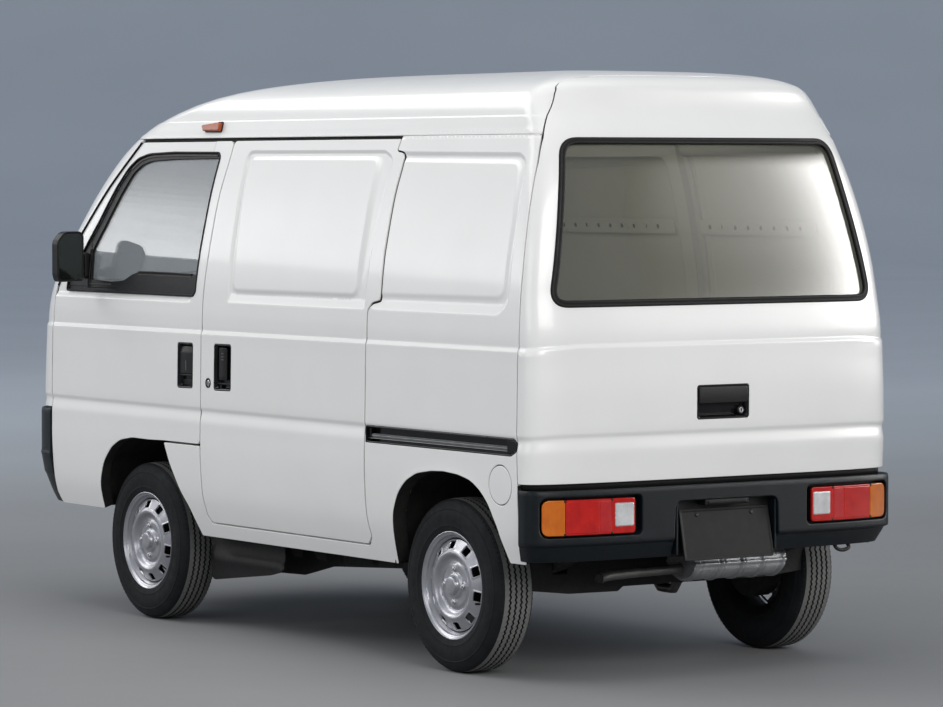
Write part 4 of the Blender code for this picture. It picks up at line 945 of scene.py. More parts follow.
def door_mesh(m, side):
    # the flange along the lower edge by the front arch is black: painted shade for the arch lip
    panel(m, surf_side, DOOR_LOOP, [WIN, HP_DOOR], h=h_door, depth=0.038, rows=ROW_SIDE + ROW_BELT,
          colsx=[0.415, 0.42, 0.425, 0.43, 0.44, 0.45, 0.46, 1.33, 1.345, 1.36, 1.372], mat_in=1,
          dark=lambda q: (q[:, 1] < 0.6283) & (q[:, 0] < 1.0615), mat_painted_shade=2)


front_doors = two_sides(door_mesh, "front_door_skin", [M_PAINT, M_INNER, M_IRON], ("door_front_left", "door_front_right"),
                        ("front_door_left", "front_door_right"))

SLIDE_LOOP = rounded(
    list(reversed(shifted(SEAM_B[1:], -GAP))) + [(0.341 - GAP, 0.462), (0.332, 0.392), (0.312, 0.3635 + GAP),
                                                (-0.656, 0.3635 + GAP)]
    + list(reversed(offset_line(SEAM_C[:-1], GAP)[1:])) + [(-0.718 + GAP, DOOR_TOP_Z)],
    [0.02] + [0.3] * 9 + [0.1, 0.03, 0.02, 0.012] + [0.012, 0.05, 0.02, 0.02, 0.008, 0.008, 0.1, 0.1, 0.1, 0.1, 0.01, 0.01, 0.01,
                                              0.006, 0.006] + [0.004], 0.009)
LOCK_C = (0.291, 0.836)


def circle2(c, r, n=28):
    t = np.arange(n) * 2 * math.pi / n
    return np.stack([c[0] + r * np.cos(t), c[1] + r * np.sin(t)], 1)


def slide_mesh(m, side):
    lv = [-0.016, -0.011, -0.006, -0.001, 0.004, 0.009]
    panel(m, surf_side, SLIDE_LOOP, [HP_SLIDE, circle2(LOCK_C, 0.0165)], h=h_slide, depth=0.038,
          rows=ROW_SIDE + BELT2, extra=[band(SL_OUT, lv, 0.012), band(SL_IN, lv, 0.012)], mat_in=1)


slide_doors = two_sides(slide_mesh, "sliding_door_skin", [M_PAINT, M_INNER], ("root", "root"),
                        ("sliding_door_left", "sliding_door_right"))

GATE_LOW = [p for p in SEAM_GATE if 0.60 < p[1] < ROOF_EDGE_Z]
GATE_HIGH = [p for p in SEAM_GATE if p[1] > ROOF_EDGE_Z]
GATE_EDGE = -1.4605
RAIL = rounded([(-0.6890, 0.745), (-0.6890, 0.691), (-1.495, 0.691), (-1.526, 0.706), (-1.526, 0.733), (-1.505, 0.745)],
               [0.004, 0.004, 0.02, 0.012, 0.012, 0.012], 0.008)
SIDE_LOOP = rounded(
    shifted(GATE_LOW, GAP) + [(GATE_EDGE + GAP, ROOF_EDGE_Z - 0.0002)] + [(-0.720 - GAP, ROOF_EDGE_Z - 0.0002)]
    + offset_line(SEAM_C[:-1], -GAP)
    + [(-0.664, 0.3635 - GAP), (0.318, 0.3635 - GAP), (0.3385, 0.390), (0.341 + GAP, 0.462), (0.341 + GAP, 0.6215)]
    + ARCH_SILL + ARCH_REAR + [(-1.532 + GAP, 0.366)],
    [0.02] + [0.3] * (len(GATE_LOW) - 1) + [0.004, 0.004]
    + [0.004, 0.006, 0.006, 0.01, 0.012, 0.012, 0.1, 0.1, 0.1, 0.1, 0.008, 0.008, 0.02, 0.022, 0.05, 0.02]
    + [0.006, 0.012, 0.02, 0.1, 0.004] + [0.004] + [0.15] * 4 + [0.006] + [0.006] + [0.15] * 13 + [0.006] + [0.006],
    0.009)
FRAME_LOOP = rounded([(0.395, 0.3300), (0.395, 1.612), (0.900, 1.612), (0.900, 1.6545), (-0.720, 1.6545),
                      (-0.720, 0.3300)], 0.004, 0.03)
FRAME_HOLE = rounded([(0.250, 0.430), (0.250, 1.612), (-0.650, 1.612), (-0.650, 0.430)], 0.04, 0.02)
LID_C, LID_R = (-1.439, 0.602), 0.0585
_lx, _lz = -1.439, 0.602


def h_side(x, z):
    h = h_quarter(x, z)
    # a soft groove under the roof edge; the rear wheel arch has a rolled lip
    d = dist_line(np.stack([x, z], 1), ARCH_REAR)
    h = h - 0.0011 * np.exp(-((z - 1.6500) / 0.0032) ** 2) * sstep((-0.722 - x) / 0.02)
    return h + 0.0010 * np.exp(-(d / 0.010) ** 2) + 0.0009 * np.exp(-(d / 0.030) ** 2)


def side_mesh(m, side):
    lv = [-0.016, -0.011, -0.006, -0.001, 0.004, 0.009]
    q_out = band(Q_OUT, lv, 0.012)
    q_out = q_out[q_out[:, 0] < -0.755]
    q_in = band(Q_IN, lv, 0.012)
    q_in = q_in[q_in[:, 0] < -0.755]
    holes = [RAIL] + ([circle2(LID_C, LID_R + 0.0035, 44)] if side == "left" else [])
    # the flanges at the wheel arches and at the lower rear corner under the tailgate are black: painted shade for the
    # arch lips and for the gap between tailgate and bumper
    panel(m, surf_side, SIDE_LOOP, holes, h=h_side, depth=0.050,
          rows=ROW_SIDE + BELT2 + [1.640, 1.645, 1.648, 1.650, 1.652],
          extra=[q_out, q_in, band(ARCH_REAR, [0.006, 0.012, 0.020, 0.032], 0.014, False),
                 band(ARCH_REAR, [-0.006, -0.012, -0.020, -0.032], 0.014, False)],
          colsx=[-1.515, -1.505, -1.495, -1.48, -1.465, -1.45], mat_in=1,
          hem=lambda q: (q[:, 1] < ROOF_EDGE_Z - 0.0010) | (q[:, 0] > -0.722) | (q[:, 0] < GATE_EDGE + GAP + 0.001),
          dark=lambda q: (dist_line(q, ARCH_REAR) < 0.006) | (dist_line(q, ARCH_SILL) < 0.004) | ((q[:, 0] < -1.5240) & (q[:, 1] < 0.6140)), mat_painted_shade=3)
    panel(m, surf_side, FRAME_LOOP, [FRAME_HOLE], depth=0.030, offset=0.052, base=0.05, mat=2, mat_in=1)


side_panels = two_sides(side_mesh, "side_panel_skin", [M_PAINT, M_INNER, M_INNER, M_IRON], ("root", "root"),
                        ("side_panel_left", "side_panel_right"))


# ---- nose with screen pillars
def z_nose(u, v):
    return creases(v, np.full_like(u, 1.0075), np.full_like(u, 0.738))


SCREEN = [(-0.592, 1.200), (-0.580, 1.165), (-0.540, 1.150), (-0.300, 1.140), (0.300, 1.140), (0.540, 1.150),
          (0.580, 1.165), (0.592, 1.200), (0.510, 1.590), (0.480, 1.622), (0.300, 1.630), (-0.300, 1.630),
          (-0.480, 1.622), (-0.510, 1.590)]
HEAD_PTS = [(0.335, 0.760), (0.335, 0.905), (0.560, 0.915), (0.600, 0.895), (0.600, 0.770), (0.560, 0.752)]


def yz_loop(pts, fwd, r, step=0.008, dense=0.03):
    q = rounded(pts, r, step)
    u = u_from_y(q[:, 0], q[:, 1], fwd)
    v = q[:, 1] if fwd > 0 else b_of_z(q[:, 1])
    return np.stack([u, v], 1)


_sf = resample(np.array(shifted(SEAM_FRONT[1:-1], GAP) + [(0.940 + GAP, DOOR_TOP_Z), (0.930, ROOF_EDGE_Z - 0.0002)]), 0.02)
_nl = np.stack([u_front(_sf[:, 0], _sf[:, 1]), _sf[:, 1]], 1)
_bot = np.array([[float(u_front(1.386 + GAP, 0.707)), 0.707]])
_left = np.vstack([_bot, _nl])
_right = _left[::-1] * [-1, 1]
NOSE_LOOP = rounded(list(_right) + list(_left), 0.004, 0.010)
SCREEN_LOOP = yz_loop(SCREEN, 1, 0.05)
HEAD_L = yz_loop(HEAD_PTS, 1, 0.012, 0.006)
HEAD_R = HEAD_L[::-1] * [-1, 1]


def h_nose(u, v):
    h = z_nose(u, v)
    P = np.stack([u, v], 1)
    # shallow pressed band between the lamps
    d = 0.36 - np.abs(u)
    k = sstep(d / 0.03) * sstep((v - 0.775) / 0.02) * sstep((0.885 - v) / 0.02)
    return h - 0.005 * k


nose = Mesh()
panel(nose, surf_front, NOSE_LOOP, [SCREEN_LOOP, HEAD_L, HEAD_R], h=h_nose, depth=0.042,
      rows=[1.0075 + d for d in ROWS_HI] + [0.738 + d for d in ROWS_LO] + [0.78, 0.79, 0.80, 0.86, 0.87, 0.88],
      colsx=[-0.36, -0.35, -0.34, -0.33, 0.33, 0.34, 0.35, 0.36], mat_in=1)
nose = nose.build("nose_skin", [M_PAINT, M_INNER])
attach(nose, "root")
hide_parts("front_panel")


# ---- tailgate
def gate_line(seam, d):
    # seam in ring coordinates, moved square to itself: d < 0 is the gate's side
    s = resample(np.array(seam, float), 0.015)
    q = np.stack([u_rear(s[:, 0], s[:, 1]), b_of_z(s[:, 1])], 1)
    t = np.gradient(q, axis=0)
    n = np.stack([t[:, 1], -t[:, 0]], 1)
    n /= np.linalg.norm(n, axis=1, keepdims=True)
    n *= np.sign(n[:, :1])
    return q + n * d


def cross_line(x0, y_from, y_to, n=40):
    """Ring coordinates of the line across the roof at x0, from the side (y_from) to the other (y_to)."""
    out = []
    bs = np.linspace(b_of_z(1.70), B_TOP - 0.004, 1500)
    for y in np.linspace(y_from, y_to, n):
        w = np.interp(bs, BD, COL[1])
        xr = np.interp(bs, BD, COL[3])
        p = np.interp(bs, BD, COL[5])
        rc = np.minimum(RC, w * 0.5)
        s = np.abs(y) / w
        ok = s < 0.999
        c = (1 - np.clip(s, 0, 0.999) ** p) ** (1 / p)
        x = xr + rc - rc * c
        ok &= np.ones_like(ok)
        idx = np.where(ok & (x > x0))[0]
        if not len(idx):
            continue
        i = idx[0]
        b = bs[max(i - 1, 0)] + (x0 - x[max(i - 1, 0)]) / max(x[i] - x[max(i - 1, 0)], 1e-9) * (bs[1] - bs[0]) if i > 0 else bs[0]
        b = float(np.clip(b, bs[0], bs[-1]))
        sb = min(abs(y) / np.interp(b, BD, COL[1]), 0.9999)
        pb = np.interp(b, BD, COL[5])
        cb = (1 - sb ** pb) ** (1 / pb)
        out.append((math.copysign(np.interp(math.atan2(sb, cb), PHI, AR), y), b))
    return np.array(out)


def seam_top_y(x0):
    """Half width at which the gate's side seam meets the line across the roof."""
    z = 1.832
    u = u_rear(x0, z)
    return float(ring_end(np.array([float(u)]), np.array([float(b_of_z(z))]), -1)[0, 1])


_gx = -1.390
_yt = seam_top_y(_gx - GAP)
_gl = gate_line([p for p in SEAM_GATE if p[1] > 0.6095 - 0.01][0:], -GAP * 0.8)
_gl = _gl[_gl[:, 1] >= b_of_z(0.6100)]
_gl = np.vstack([[float(u_rear(-1.531 - GAP, 0.6100)), float(b_of_z(0.6100))], _gl])
_top = cross_line(_gx - GAP, _yt * 0.97, -_yt * 0.97, 44)
GATE_LOOP = np.vstack([_gl, _top, _gl[::-1] * [-1, 1]])
GATE_LOOP = rounded(list(GATE_LOOP[np.concatenate([[True], np.linalg.norm(np.diff(GATE_LOOP, axis=0), axis=1) > 0.002])]),
                    [0.012] + [0.02] * 400, 0.010) if False else resample(GATE_LOOP, 0.010, True)
REAR_WINDOW = [(-0.609, 1.146), (0.609, 1.146), (0.508, 1.6365), (-0.508, 1.6365)]
RW_LOOP = yz_loop(REAR_WINDOW, -1, [0.045, 0.045, 0.062, 0.062])
GH = rounded([(-0.100, 0.788), (0.100, 0.788), (0.100, 0.893), (-0.100, 0.893)], 0.010, 0.006)
GH_LOOP = np.stack([u_from_y(GH[:, 0], GH[:, 1], -1), b_of_z(GH[:, 1])], 1)


def h_gate(u, v):
    z = np.interp(v, BD, ZD)
    zc = 1.0160 + 0.011 * sstep((LR - np.abs(u)) / 0.25)
    h = creases(z, zc, 0.738 + 0.007 * sstep((LR - np.abs(u)) / 0.2))
    return h


_zr = lambda zs: [float(b_of_z(z)) for z in zs]
gate = Mesh()
panel(gate, surf_rear, GATE_LOOP, [RW_LOOP, GH_LOOP], h=h_gate, depth=0.036,
      rows=_zr([1.025 + d for d in ROWS_HI] + [0.745 + d for d in ROWS_LO]),
      colsx=[s * (LR - d) for s in (1, -1) for d in (0.02, 0.035, 0.05, 0.065, 0.08, 0.095, 0.11, 0.125, 0.14, 0.155)],
      mat_in=1)
gate = gate.build("tailgate_skin", [M_PAINT, M_INNER])
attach(gate, "gate")
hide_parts("tailgate")

# ---- roof, two halves that meet on the middle line
UTOT = LF + LS + LR
_edge_u = np.arange(0.0, UTOT, 0.010)
_bE = float(b_of_z(ROOF_EDGE_Z))
_gate_u = UTOT - float(u_rear(GATE_EDGE + GAP, ROOF_EDGE_Z))
_e = np.stack([np.linspace(0.0, _gate_u, 380), np.full(380, _bE)], 1)
_gs = gate_line([(GATE_EDGE, ROOF_EDGE_Z)] + GATE_HIGH, GAP * 0.8)
_gs = np.stack([UTOT - _gs[:, 0], _gs[:, 1]], 1)[1:]
_yt2 = seam_top_y(_gx + GAP)
_tp = cross_line(_gx + GAP, _yt2 * 0.97, 0.0, 26)
_tp = np.stack([UTOT - _tp[:, 0], _tp[:, 1]], 1)
_rc = np.stack([np.full(12, UTOT), np.linspace(_tp[-1, 1] + 0.02, B_TOP - 0.003, 12)], 1)
_cap = np.stack([np.linspace(UTOT, 0.0, 260), np.full(260, B_TOP - 0.003)], 1)[1:]
_fc = np.stack([np.full(60, 0.0), np.linspace(B_TOP - 0.003, _bE, 60)], 1)[1:-1]
ROOF_LOOP = np.vstack([_e, _gs, _tp, _rc, _cap, _fc])
_hem = np.concatenate([np.ones(len(_e) + len(_gs) + len(_tp), bool), np.zeros(len(_rc) + len(_cap) + len(_fc), bool)])


def h_roof(u, v):
    z = np.interp(v, BD, ZD)
    # rolled lower edge and a soft crease above it
    h = 0.0016 * np.exp(-((z - 1.6635) / 0.006) ** 2) - 0.0016 * sstep((z - 1.7085) / 0.006) * sstep((1.80 - z) / 0.05)
    return h


roof = Mesh()
panel(roof, surf_roof, ROOF_LOOP, h=h_roof, depth=0.030, base=0.030, hem=_hem,
      rows=_zr([1.659, 1.662, 1.665, 1.668, 1.672, 1.704, 1.7075, 1.7095, 1.7115, 1.7135, 1.716, 1.722]),
      inner_base=0.09)
roof_l = roof.build("roof_skin_left", [M_PAINT, M_INNER])
roof_r = roof.build("roof_skin_right", [M_PAINT, M_INNER], mirror=True)
for ob in (roof_l, roof_r):
    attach(ob, "root")
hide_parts("roof_panel")

# =====================================================================================================
# 6. small solids
# =====================================================================================================
def flat_surf(origin, ex, ey):
    o, ex, ey = np.array(origin, float), np.array(ex, float), np.array(ey, float)

    def f(u, v):
        return o + np.asarray(u)[:, None] * ex + np.asarray(v)[:, None] * ey
    f.dirn = np.cross(ex, ey)
    return f


def plate_piece(m, origin, ex, ey, loop, depth, holes=(), r=0.0015, mat=0, h=None, base=0.05, **kw):
    """A flat plate with rounded edges; its outer face looks along ex x ey."""
    panel(m, flat_surf(origin, ex, ey), loop, holes, h=h, depth=depth, r=r, base=base, mat=mat, **kw)


def rect(u0, v0, u1, v1, r=0.004, step=0.02):
    return rounded([(u0, v0), (u1, v0), (u1, v1), (u0, v1)], r, step)


def block(m, lo, hi, r=0.004, mat=0, seg=3, rot=None, at=(0, 0, 0)):
    """A box with rounded edges and corners, as a subdivided superquadric-like grid."""
    lo, hi = np.array(lo, float), np.array(hi, float)
    c, s = (lo + hi) / 2, (hi - lo) / 2
    r = min(r, *(s * 0.98))
    core = s - r
    th = [math.pi / 2 * k / seg for k in range(seg + 1)]
    V, N, F, cnt = [], [], [], 0
    for ax in range(3):
        for sg in (1, -1):
            a, b = (ax + 1) % 3, (ax + 2) % 3
            lv = [-math.pi / 4 + math.pi / 2 * k / (2 * seg) for k in range(2 * seg + 1)]
            tt = [math.tan(q) for q in lv]
            # directions on the face of a cube, split at the flat part
            us = [(-1, t) for t in tt if t <= 0] + [(1, t) for t in tt if t >= 0]
            g = len(us)
            P = np.zeros((g, g, 3))
            Q = np.zeros((g, g, 3))
            for i, (si, ti) in enumerate(us):
                for j, (sj, tj) in enumerate(us):
                    d = np.zeros(3)
                    d[ax], d[a], d[b] = sg, ti, tj
                    d /= np.linalg.norm(d)
                    k = np.zeros(3)
                    k[ax], k[a], k[b] = sg * core[ax], si * core[a], sj * core[b]
                    P[i, j] = k + d * r
                    Q[i, j] = d
            V.append(P)
            N.append(Q)
    for P, Q in zip(V, N):
        P2, Q2 = P, Q
        if rot is not None:
            P2, Q2 = P @ np.array(rot).T, Q @ np.array(rot).T
        m.grid(P2 + c + np.array(at), Q2, mat)


def lathe(m, prof, n, centre, axis, mat=0, smooth_deg=30, arc=None, bumps=None):
    """Profile of (radius, height) turned about an axis direction through centre; hard corners kept."""
    ax = np.array(axis, float)
    ax /= np.linalg.norm(ax)
    t = np.array([0, 0, 1.0]) if abs(ax[2]) < 0.9 else np.array([1.0, 0, 0])
    e1 = np.cross(ax, t)
    e1 /= np.linalg.norm(e1)
    e2 = np.cross(ax, e1)
    P = np.asarray(prof, float)
    ang = np.arange(n) * 2 * math.pi / n
    segs = np.diff(P, axis=0)
    L = np.linalg.norm(segs, axis=1)
    keep = L > 1e-7
    dirs = segs / np.maximum(L[:, None], 1e-9)
    nrm = np.stack([-dirs[:, 1], dirs[:, 0]], 1)
    runs, start = [], 0
    for i in range(1, len(segs)):
        if dirs[i] @ dirs[i - 1] < math.cos(math.radians(smooth_deg)):
            runs.append((start, i))
            start = i
    runs.append((start, len(segs)))
    # outward side of the profile is to its right or left, by the shape's own turn
    area = float(np.sum(P[:-1, 0] * P[1:, 1] - P[1:, 0] * P[:-1, 1]))
    sg = -1.0 if area > 0 else 1.0
    for a, b in runs:
        pts = P[a:b + 1]
        nn = np.zeros((b - a + 1, 2))
        for i in range(a, b):
            nn[i - a] += nrm[i] * L[i]
            nn[i - a + 1] += nrm[i] * L[i]
        nn /= np.maximum(np.linalg.norm(nn, axis=1, keepdims=True), 1e-9)
        nn *= sg
        rad = np.cos(ang)[:, None] * e1 + np.sin(ang)[:, None] * e2
        V = pts[None, :, 0:1] * rad[:, None, :] + pts[None, :, 1:2] * ax + np.array(centre, float)
        N = nn[None, :, 0:1] * rad[:, None, :] + nn[None, :, 1:2] * ax + 0 * V
        m.grid(V, N, mat, wrap_u=True)


def tube_line(m, pts, radius, n=12, mat=0, step=0.01, smooth=True, caps=True):
    P = smooth_line(pts, step) if smooth else np.asarray(pts, float)
    T = np.gradient(P, axis=0)
    T /= np.linalg.norm(T, axis=1, keepdims=True)
    up = np.array([0, 0, 1.0]) if abs(T[0][2]) < 0.9 else np.array([1.0, 0, 0])
    e = np.cross(T[0], up)
    e /= np.linalg.norm(e)
    E1 = []
    for t in T:
        e = e - t * (e @ t)
        e /= np.linalg.norm(e)
        E1.append(e)
    E1 = np.array(E1)
    E2 = np.cross(T, E1)
    a = np.arange(n) * 2 * math.pi / n
    R = np.asarray(radius, float) * np.ones(len(P))
    D = np.cos(a)[None, :, None] * E1[:, None, :] + np.sin(a)[None, :, None] * E2[:, None, :]
    m.grid(P[:, None, :] + D * R[:, None, None], D, mat, wrap_v=True)
    if caps:
        for i, s in ((0, -1), (-1, 1)):
            vv = np.vstack([P[i] + D[i] * R[i], P[i]])
            f = np.stack([np.arange(n), (np.arange(n) + 1) % n, np.full(n, n)], -1)
            m.add(vv, np.tile(T[i] * s, (n + 1, 1)), f, mat)


def both(fn, name, mats, bodies=("root", "root"), nodes=(None, None)):
    return two_sides(fn, name, mats, bodies, nodes)


def single(fn, name, mats, body="root", nodes=()):
    m = Mesh()
    fn(m)
    ob = m.build(name, mats)
    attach(ob, body)
    if nodes:
        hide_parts(*nodes)
    return ob


# =====================================================================================================
# 7. glass, window rubbers and black window trim
# =====================================================================================================
def door_glass(m, side):
    panel(m, surf_side, grow(ccw(WIN), 0.004), depth=0.004, offset=0.011, r=0.0008, base=0.05, inner_base=0.08,
          edge_step=0.02)


both(door_glass, "door_glass_pane", [M_GLASS], ("door_front_left", "door_front_right"),
     ("door_glass_left", "door_glass_right"))

# visible glass inside the black frame
SIGHT = rounded([(0.4015, 1.196), (0.3925, 1.400), (0.3810, 1.583), (0.392, 1.588), (0.680, 1.586), (0.845, 1.580),
                 (0.905, 1.566), (0.950, 1.538), (1.006, 1.462), (1.083, 1.348), (1.135, 1.276), (1.142, 1.250),
                 (1.136, 1.166), (0.985, 1.160), (0.900, 1.166), (0.845, 1.188), (0.800, 1.198)],
                [0.006, 0.3, 0.006, 0.006, 0.2, 0.2, 0.08, 0.08, 0.3, 0.3, 0.02, 0.02, 0.004, 0.02, 0.05, 0.05, 0.03], 0.006)


def door_trim(m, side):
    w = ccw(WIN)
    # outer black frame, flush with the door skin, and a stepped inner lip
    panel(m, surf_side, grow(w, -0.0008), [SIGHT], depth=0.010, offset=0.0045, r=0.0012, base=0.02, mat=0,
          inner_base=0.05)
    # bead round the opening
    sweep(m, surf_side, resample(grow(w, 0.0005), 0.010, True), ring_section(0.0075, 0.0030, 8, 0.003), closed=True,
          mat=1)
    # brown-grey channel lip under the top edge
    top = smooth_line([(0.400, 1.5975), (0.690, 1.5985), (0.858, 1.5930), (0.922, 1.5780), (0.965, 1.5500)], 0.012)
    sweep(m, surf_side, top, ring_section(0.0090, 0.0022, 8, 0.003), h=None, mat=2, offset=0.004)
    # waist rubber above the garnish
    sweep(m, surf_side, smooth_line([(0.4345, 1.1955), (0.62, 1.1975), (0.795, 1.1975)], 0.012), ring_section(0.007, 0.003, 8, 0.006),
          mat=1, offset=0.004)
    sweep(m, surf_side, smooth_line([(0.4355, 1.1870), (0.62, 1.1885), (0.800, 1.1880)], 0.012), ring_section(0.0028, 0.0018, 6, 0.003),
          mat=2, offset=0.0045)
    # lower channel, two fine lips below the corner of the glass
    sweep(m, surf_side, smooth_line([(0.985, 1.1505), (1.060, 1.1500), (1.134, 1.1500)], 0.012), ring_section(0.004, 0.002, 6, 0.003),
          mat=2, offset=0.0045)
    sweep(m, surf_side, smooth_line([(0.960, 1.1400), (1.060, 1.1380), (1.150, 1.1370)], 0.012), ring_section(0.003, 0.002, 6, 0.003),
          mat=1, offset=0.0045)
    # division bar behind the mirror
    sweep(m, surf_side, smooth_line([(1.150, 1.270), (1.149, 1.220), (1.146, 1.140)], 0.012), ring_section(0.018, 0.006, 8, 0.006),
          mat=0, offset=0.004)


M_BROWN = finish_mat("seal_brown_grey", (0.065, 0.055, 0.050), (0.090, 0.078, 0.072), (0.45, 0.55), scale=50.0, bump=0.15,
                     bump_scale=800.0, spec=0.25)
both(door_trim, "door_window_trim", [M_BLACK, M_RUBBER, M_BROWN], ("door_front_left", "door_front_right"))


def rear_glass(m):
    panel(m, surf_rear, grow(ccw(RW_LOOP), 0.008), depth=0.004, offset=0.007, r=0.0008, base=0.05, inner_base=0.08)


single(rear_glass, "rear_glass_pane", [M_TINT], "gate", ("tailgate_glass",))

SEAL = np.array([(-0.0135, -0.004), (-0.0135, 0.0020), (-0.0115, 0.0046), (-0.0075, 0.0056), (-0.0035, 0.0048),
                 (-0.0015, 0.0034), (0.0005, 0.0034), (0.0025, 0.0050), (0.0065, 0.0052), (0.0100, 0.0034), (0.0115, 0.0008),
                 (0.0115, -0.004)])


def rear_seal(m):
    q = resample(ccw(RW_LOOP), 0.010, True)
    sweep(m, surf_rear, q, SEAL * [0.88, 1.0], closed=True)
    # thin bright filler strip in the middle of the rubber
    sweep(m, surf_rear, q, ring_section(0.0024, 0.0042, 6, 0.002), closed=True, mat=1)


single(rear_seal, "rear_window_seal", [M_RUBBER, M_BLACK], "gate")


def screen_glass(m):
    panel(m, surf_front, grow(ccw(SCREEN_LOOP), 0.008), depth=0.005, offset=0.007, r=0.0008, base=0.05, inner_base=0.08)


single(screen_glass, "windscreen_pane", [M_GLASS], "root", ("windscreen",))


def screen_seal(m):
    q = resample(ccw(SCREEN_LOOP), 0.010, True)
    sweep(m, surf_front, q, SEAL * [1.0, 1.0], closed=True)


single(screen_seal, "windscreen_seal", [M_RUBBER], "root")

# =====================================================================================================
# 8. seams: rain channel, pillar rubber, inner seals
# =====================================================================================================
def seam_rubbers_and_painted_shade(m, side):
    # deep dark channel between the roof edge and the doors: a black rubber floor down in the seam, painted shade for
    # the depth of the channel
    line = smooth_line([(0.935, 1.6500), (0.60, 1.6500), (0.10, 1.6500), (-0.40, 1.6500), (-0.714, 1.6500)], 0.02)
    sweep(m, surf_side, line, [(-0.0056, -0.020), (-0.0056, -0.0085), (0.0056, -0.0085), (0.0056, -0.020)], mat=0)
    # rubber in the seam of the screen pillar
    pts = [(p[0] + 0.0004, p[1]) for p in SEAM_FRONT[3:]]
    pts = resample(np.array(pts[:-1] + [(0.945, 1.6455)]), 0.012)
    sweep(m, surf_side, pts, [(-0.0032, -0.016), (-0.0032, -0.0015), (-0.0015, 0.0000), (0.0015, 0.0000), (0.0032, -0.0015), (0.0032, -0.016)], mat=0)
    # weather strips behind the seams of the doors: the wide strip is the seal, the thin black fin standing up in each
    # gap is painted shade that keeps the gap lines dark
    for line in (SEAM_B, [(x, z) for x, z in SEAM_C if z < 1.66], SEAM_FRONT[:4]):
        q = resample(np.array([p for p in line if p[1] > 0.37]), 0.015)
        sweep(m, surf_side, q, [(-0.010, -0.034), (-0.010, -0.026), (0.010, -0.026), (0.010, -0.034)], mat=0)
        sweep(m, surf_side, q, [(-0.0019, -0.030), (-0.0019, -0.0050), (0.0019, -0.0050), (0.0019, -0.030)], mat=0)


both(seam_rubbers_and_painted_shade, "seam_rubbers_and_painted_shade", [M_RUBBER])


def gate_channel(m):
    s = resample(np.array([p for p in SEAM_GATE if p[1] > 0.60]), 0.015)
    q = np.stack([u_rear(s[:, 0], s[:, 1]), b_of_z(s[:, 1])], 1)
    for sg in (1, -1):
        sweep(m, surf_rear, q * [sg, 1], [(-0.009, -0.034), (-0.009, -0.012), (0.009, -0.012), (0.009, -0.034)])
    low = np.stack([np.linspace(-LR + 0.020, LR - 0.020, 120), np.full(120, float(b_of_z(0.6020)))], 1)
    sweep(m, surf_rear, low, [(-0.016, -0.040), (-0.016, -0.014), (0.016, -0.014), (0.016, -0.040)])
    t = cross_line(_gx, _yt * 0.96, -_yt * 0.96, 30)
    sweep(m, surf_rear, t, [(-0.009, -0.034), (-0.009, -0.018), (0.009, -0.018), (0.009, -0.034)])


single(gate_channel, "tailgate_weatherstrip", [M_RUBBER])

# =====================================================================================================
# 9. handles, lock, slide rail, marker lamp, fuel lid
# =====================================================================================================
def pocket_h(loop, rim, deep):
    def f(x, z):
        d = sdf(np.stack([x, z], 1), loop)
        return -deep * sstep((d - rim) / 0.006)
    return f


def door_handle(m, side):
    lp = grow(ccw(HP_DOOR), -0.0006)
    cx = np.mean(lp[:, 0])
    z0, z1 = 0.8125, 0.9655
    # pocket bezel and floor
    panel(m, surf_side, lp, h=pocket_h(lp, 0.005, 0.017), depth=0.026, r=0.0018, base=0.004, offset=0.0004, mat=0,
          inner=False)
    # flap in the upper part: slightly domed, with a turned lower lip
    fl = rounded([(cx - 0.042, 0.862), (cx + 0.042, 0.862), (cx + 0.043, 0.955), (cx - 0.043, 0.955)], 0.006, 0.004)
    panel(m, surf_side, fl, h=lambda x, z: 0.0035 * np.cos((x - cx) / 0.044 * 1.2) - 0.006 * sstep((z - 0.93) / 0.03),
          depth=0.012, r=0.002, base=0.006, offset=0.0065, mat=1)
    # rib over the finger well and a small catch
    block(m, (cx - 0.043, 0.0, 0.8535), (cx + 0.043, 0.012, 0.8600), 0.0018, 1, at=(0, float(side_y(np.array([cx]), np.array([0.857]))[0]) - 0.0165, 0))
    yb = float(side_y(np.array([cx]), np.array([0.885]))[0])
    block(m, (cx - 0.006, yb - 0.0045, 0.873), (cx + 0.001, yb - 0.0015, 0.905), 0.0012, 2)
    block(m, (cx - 0.040, yb - 0.020, 0.822), (cx + 0.040, yb - 0.013, 0.842), 0.003, 1)


both(door_handle, "door_handle", [M_GLOSSB, M_BLACK, M_VINYL], ("door_front_left", "door_front_right"))


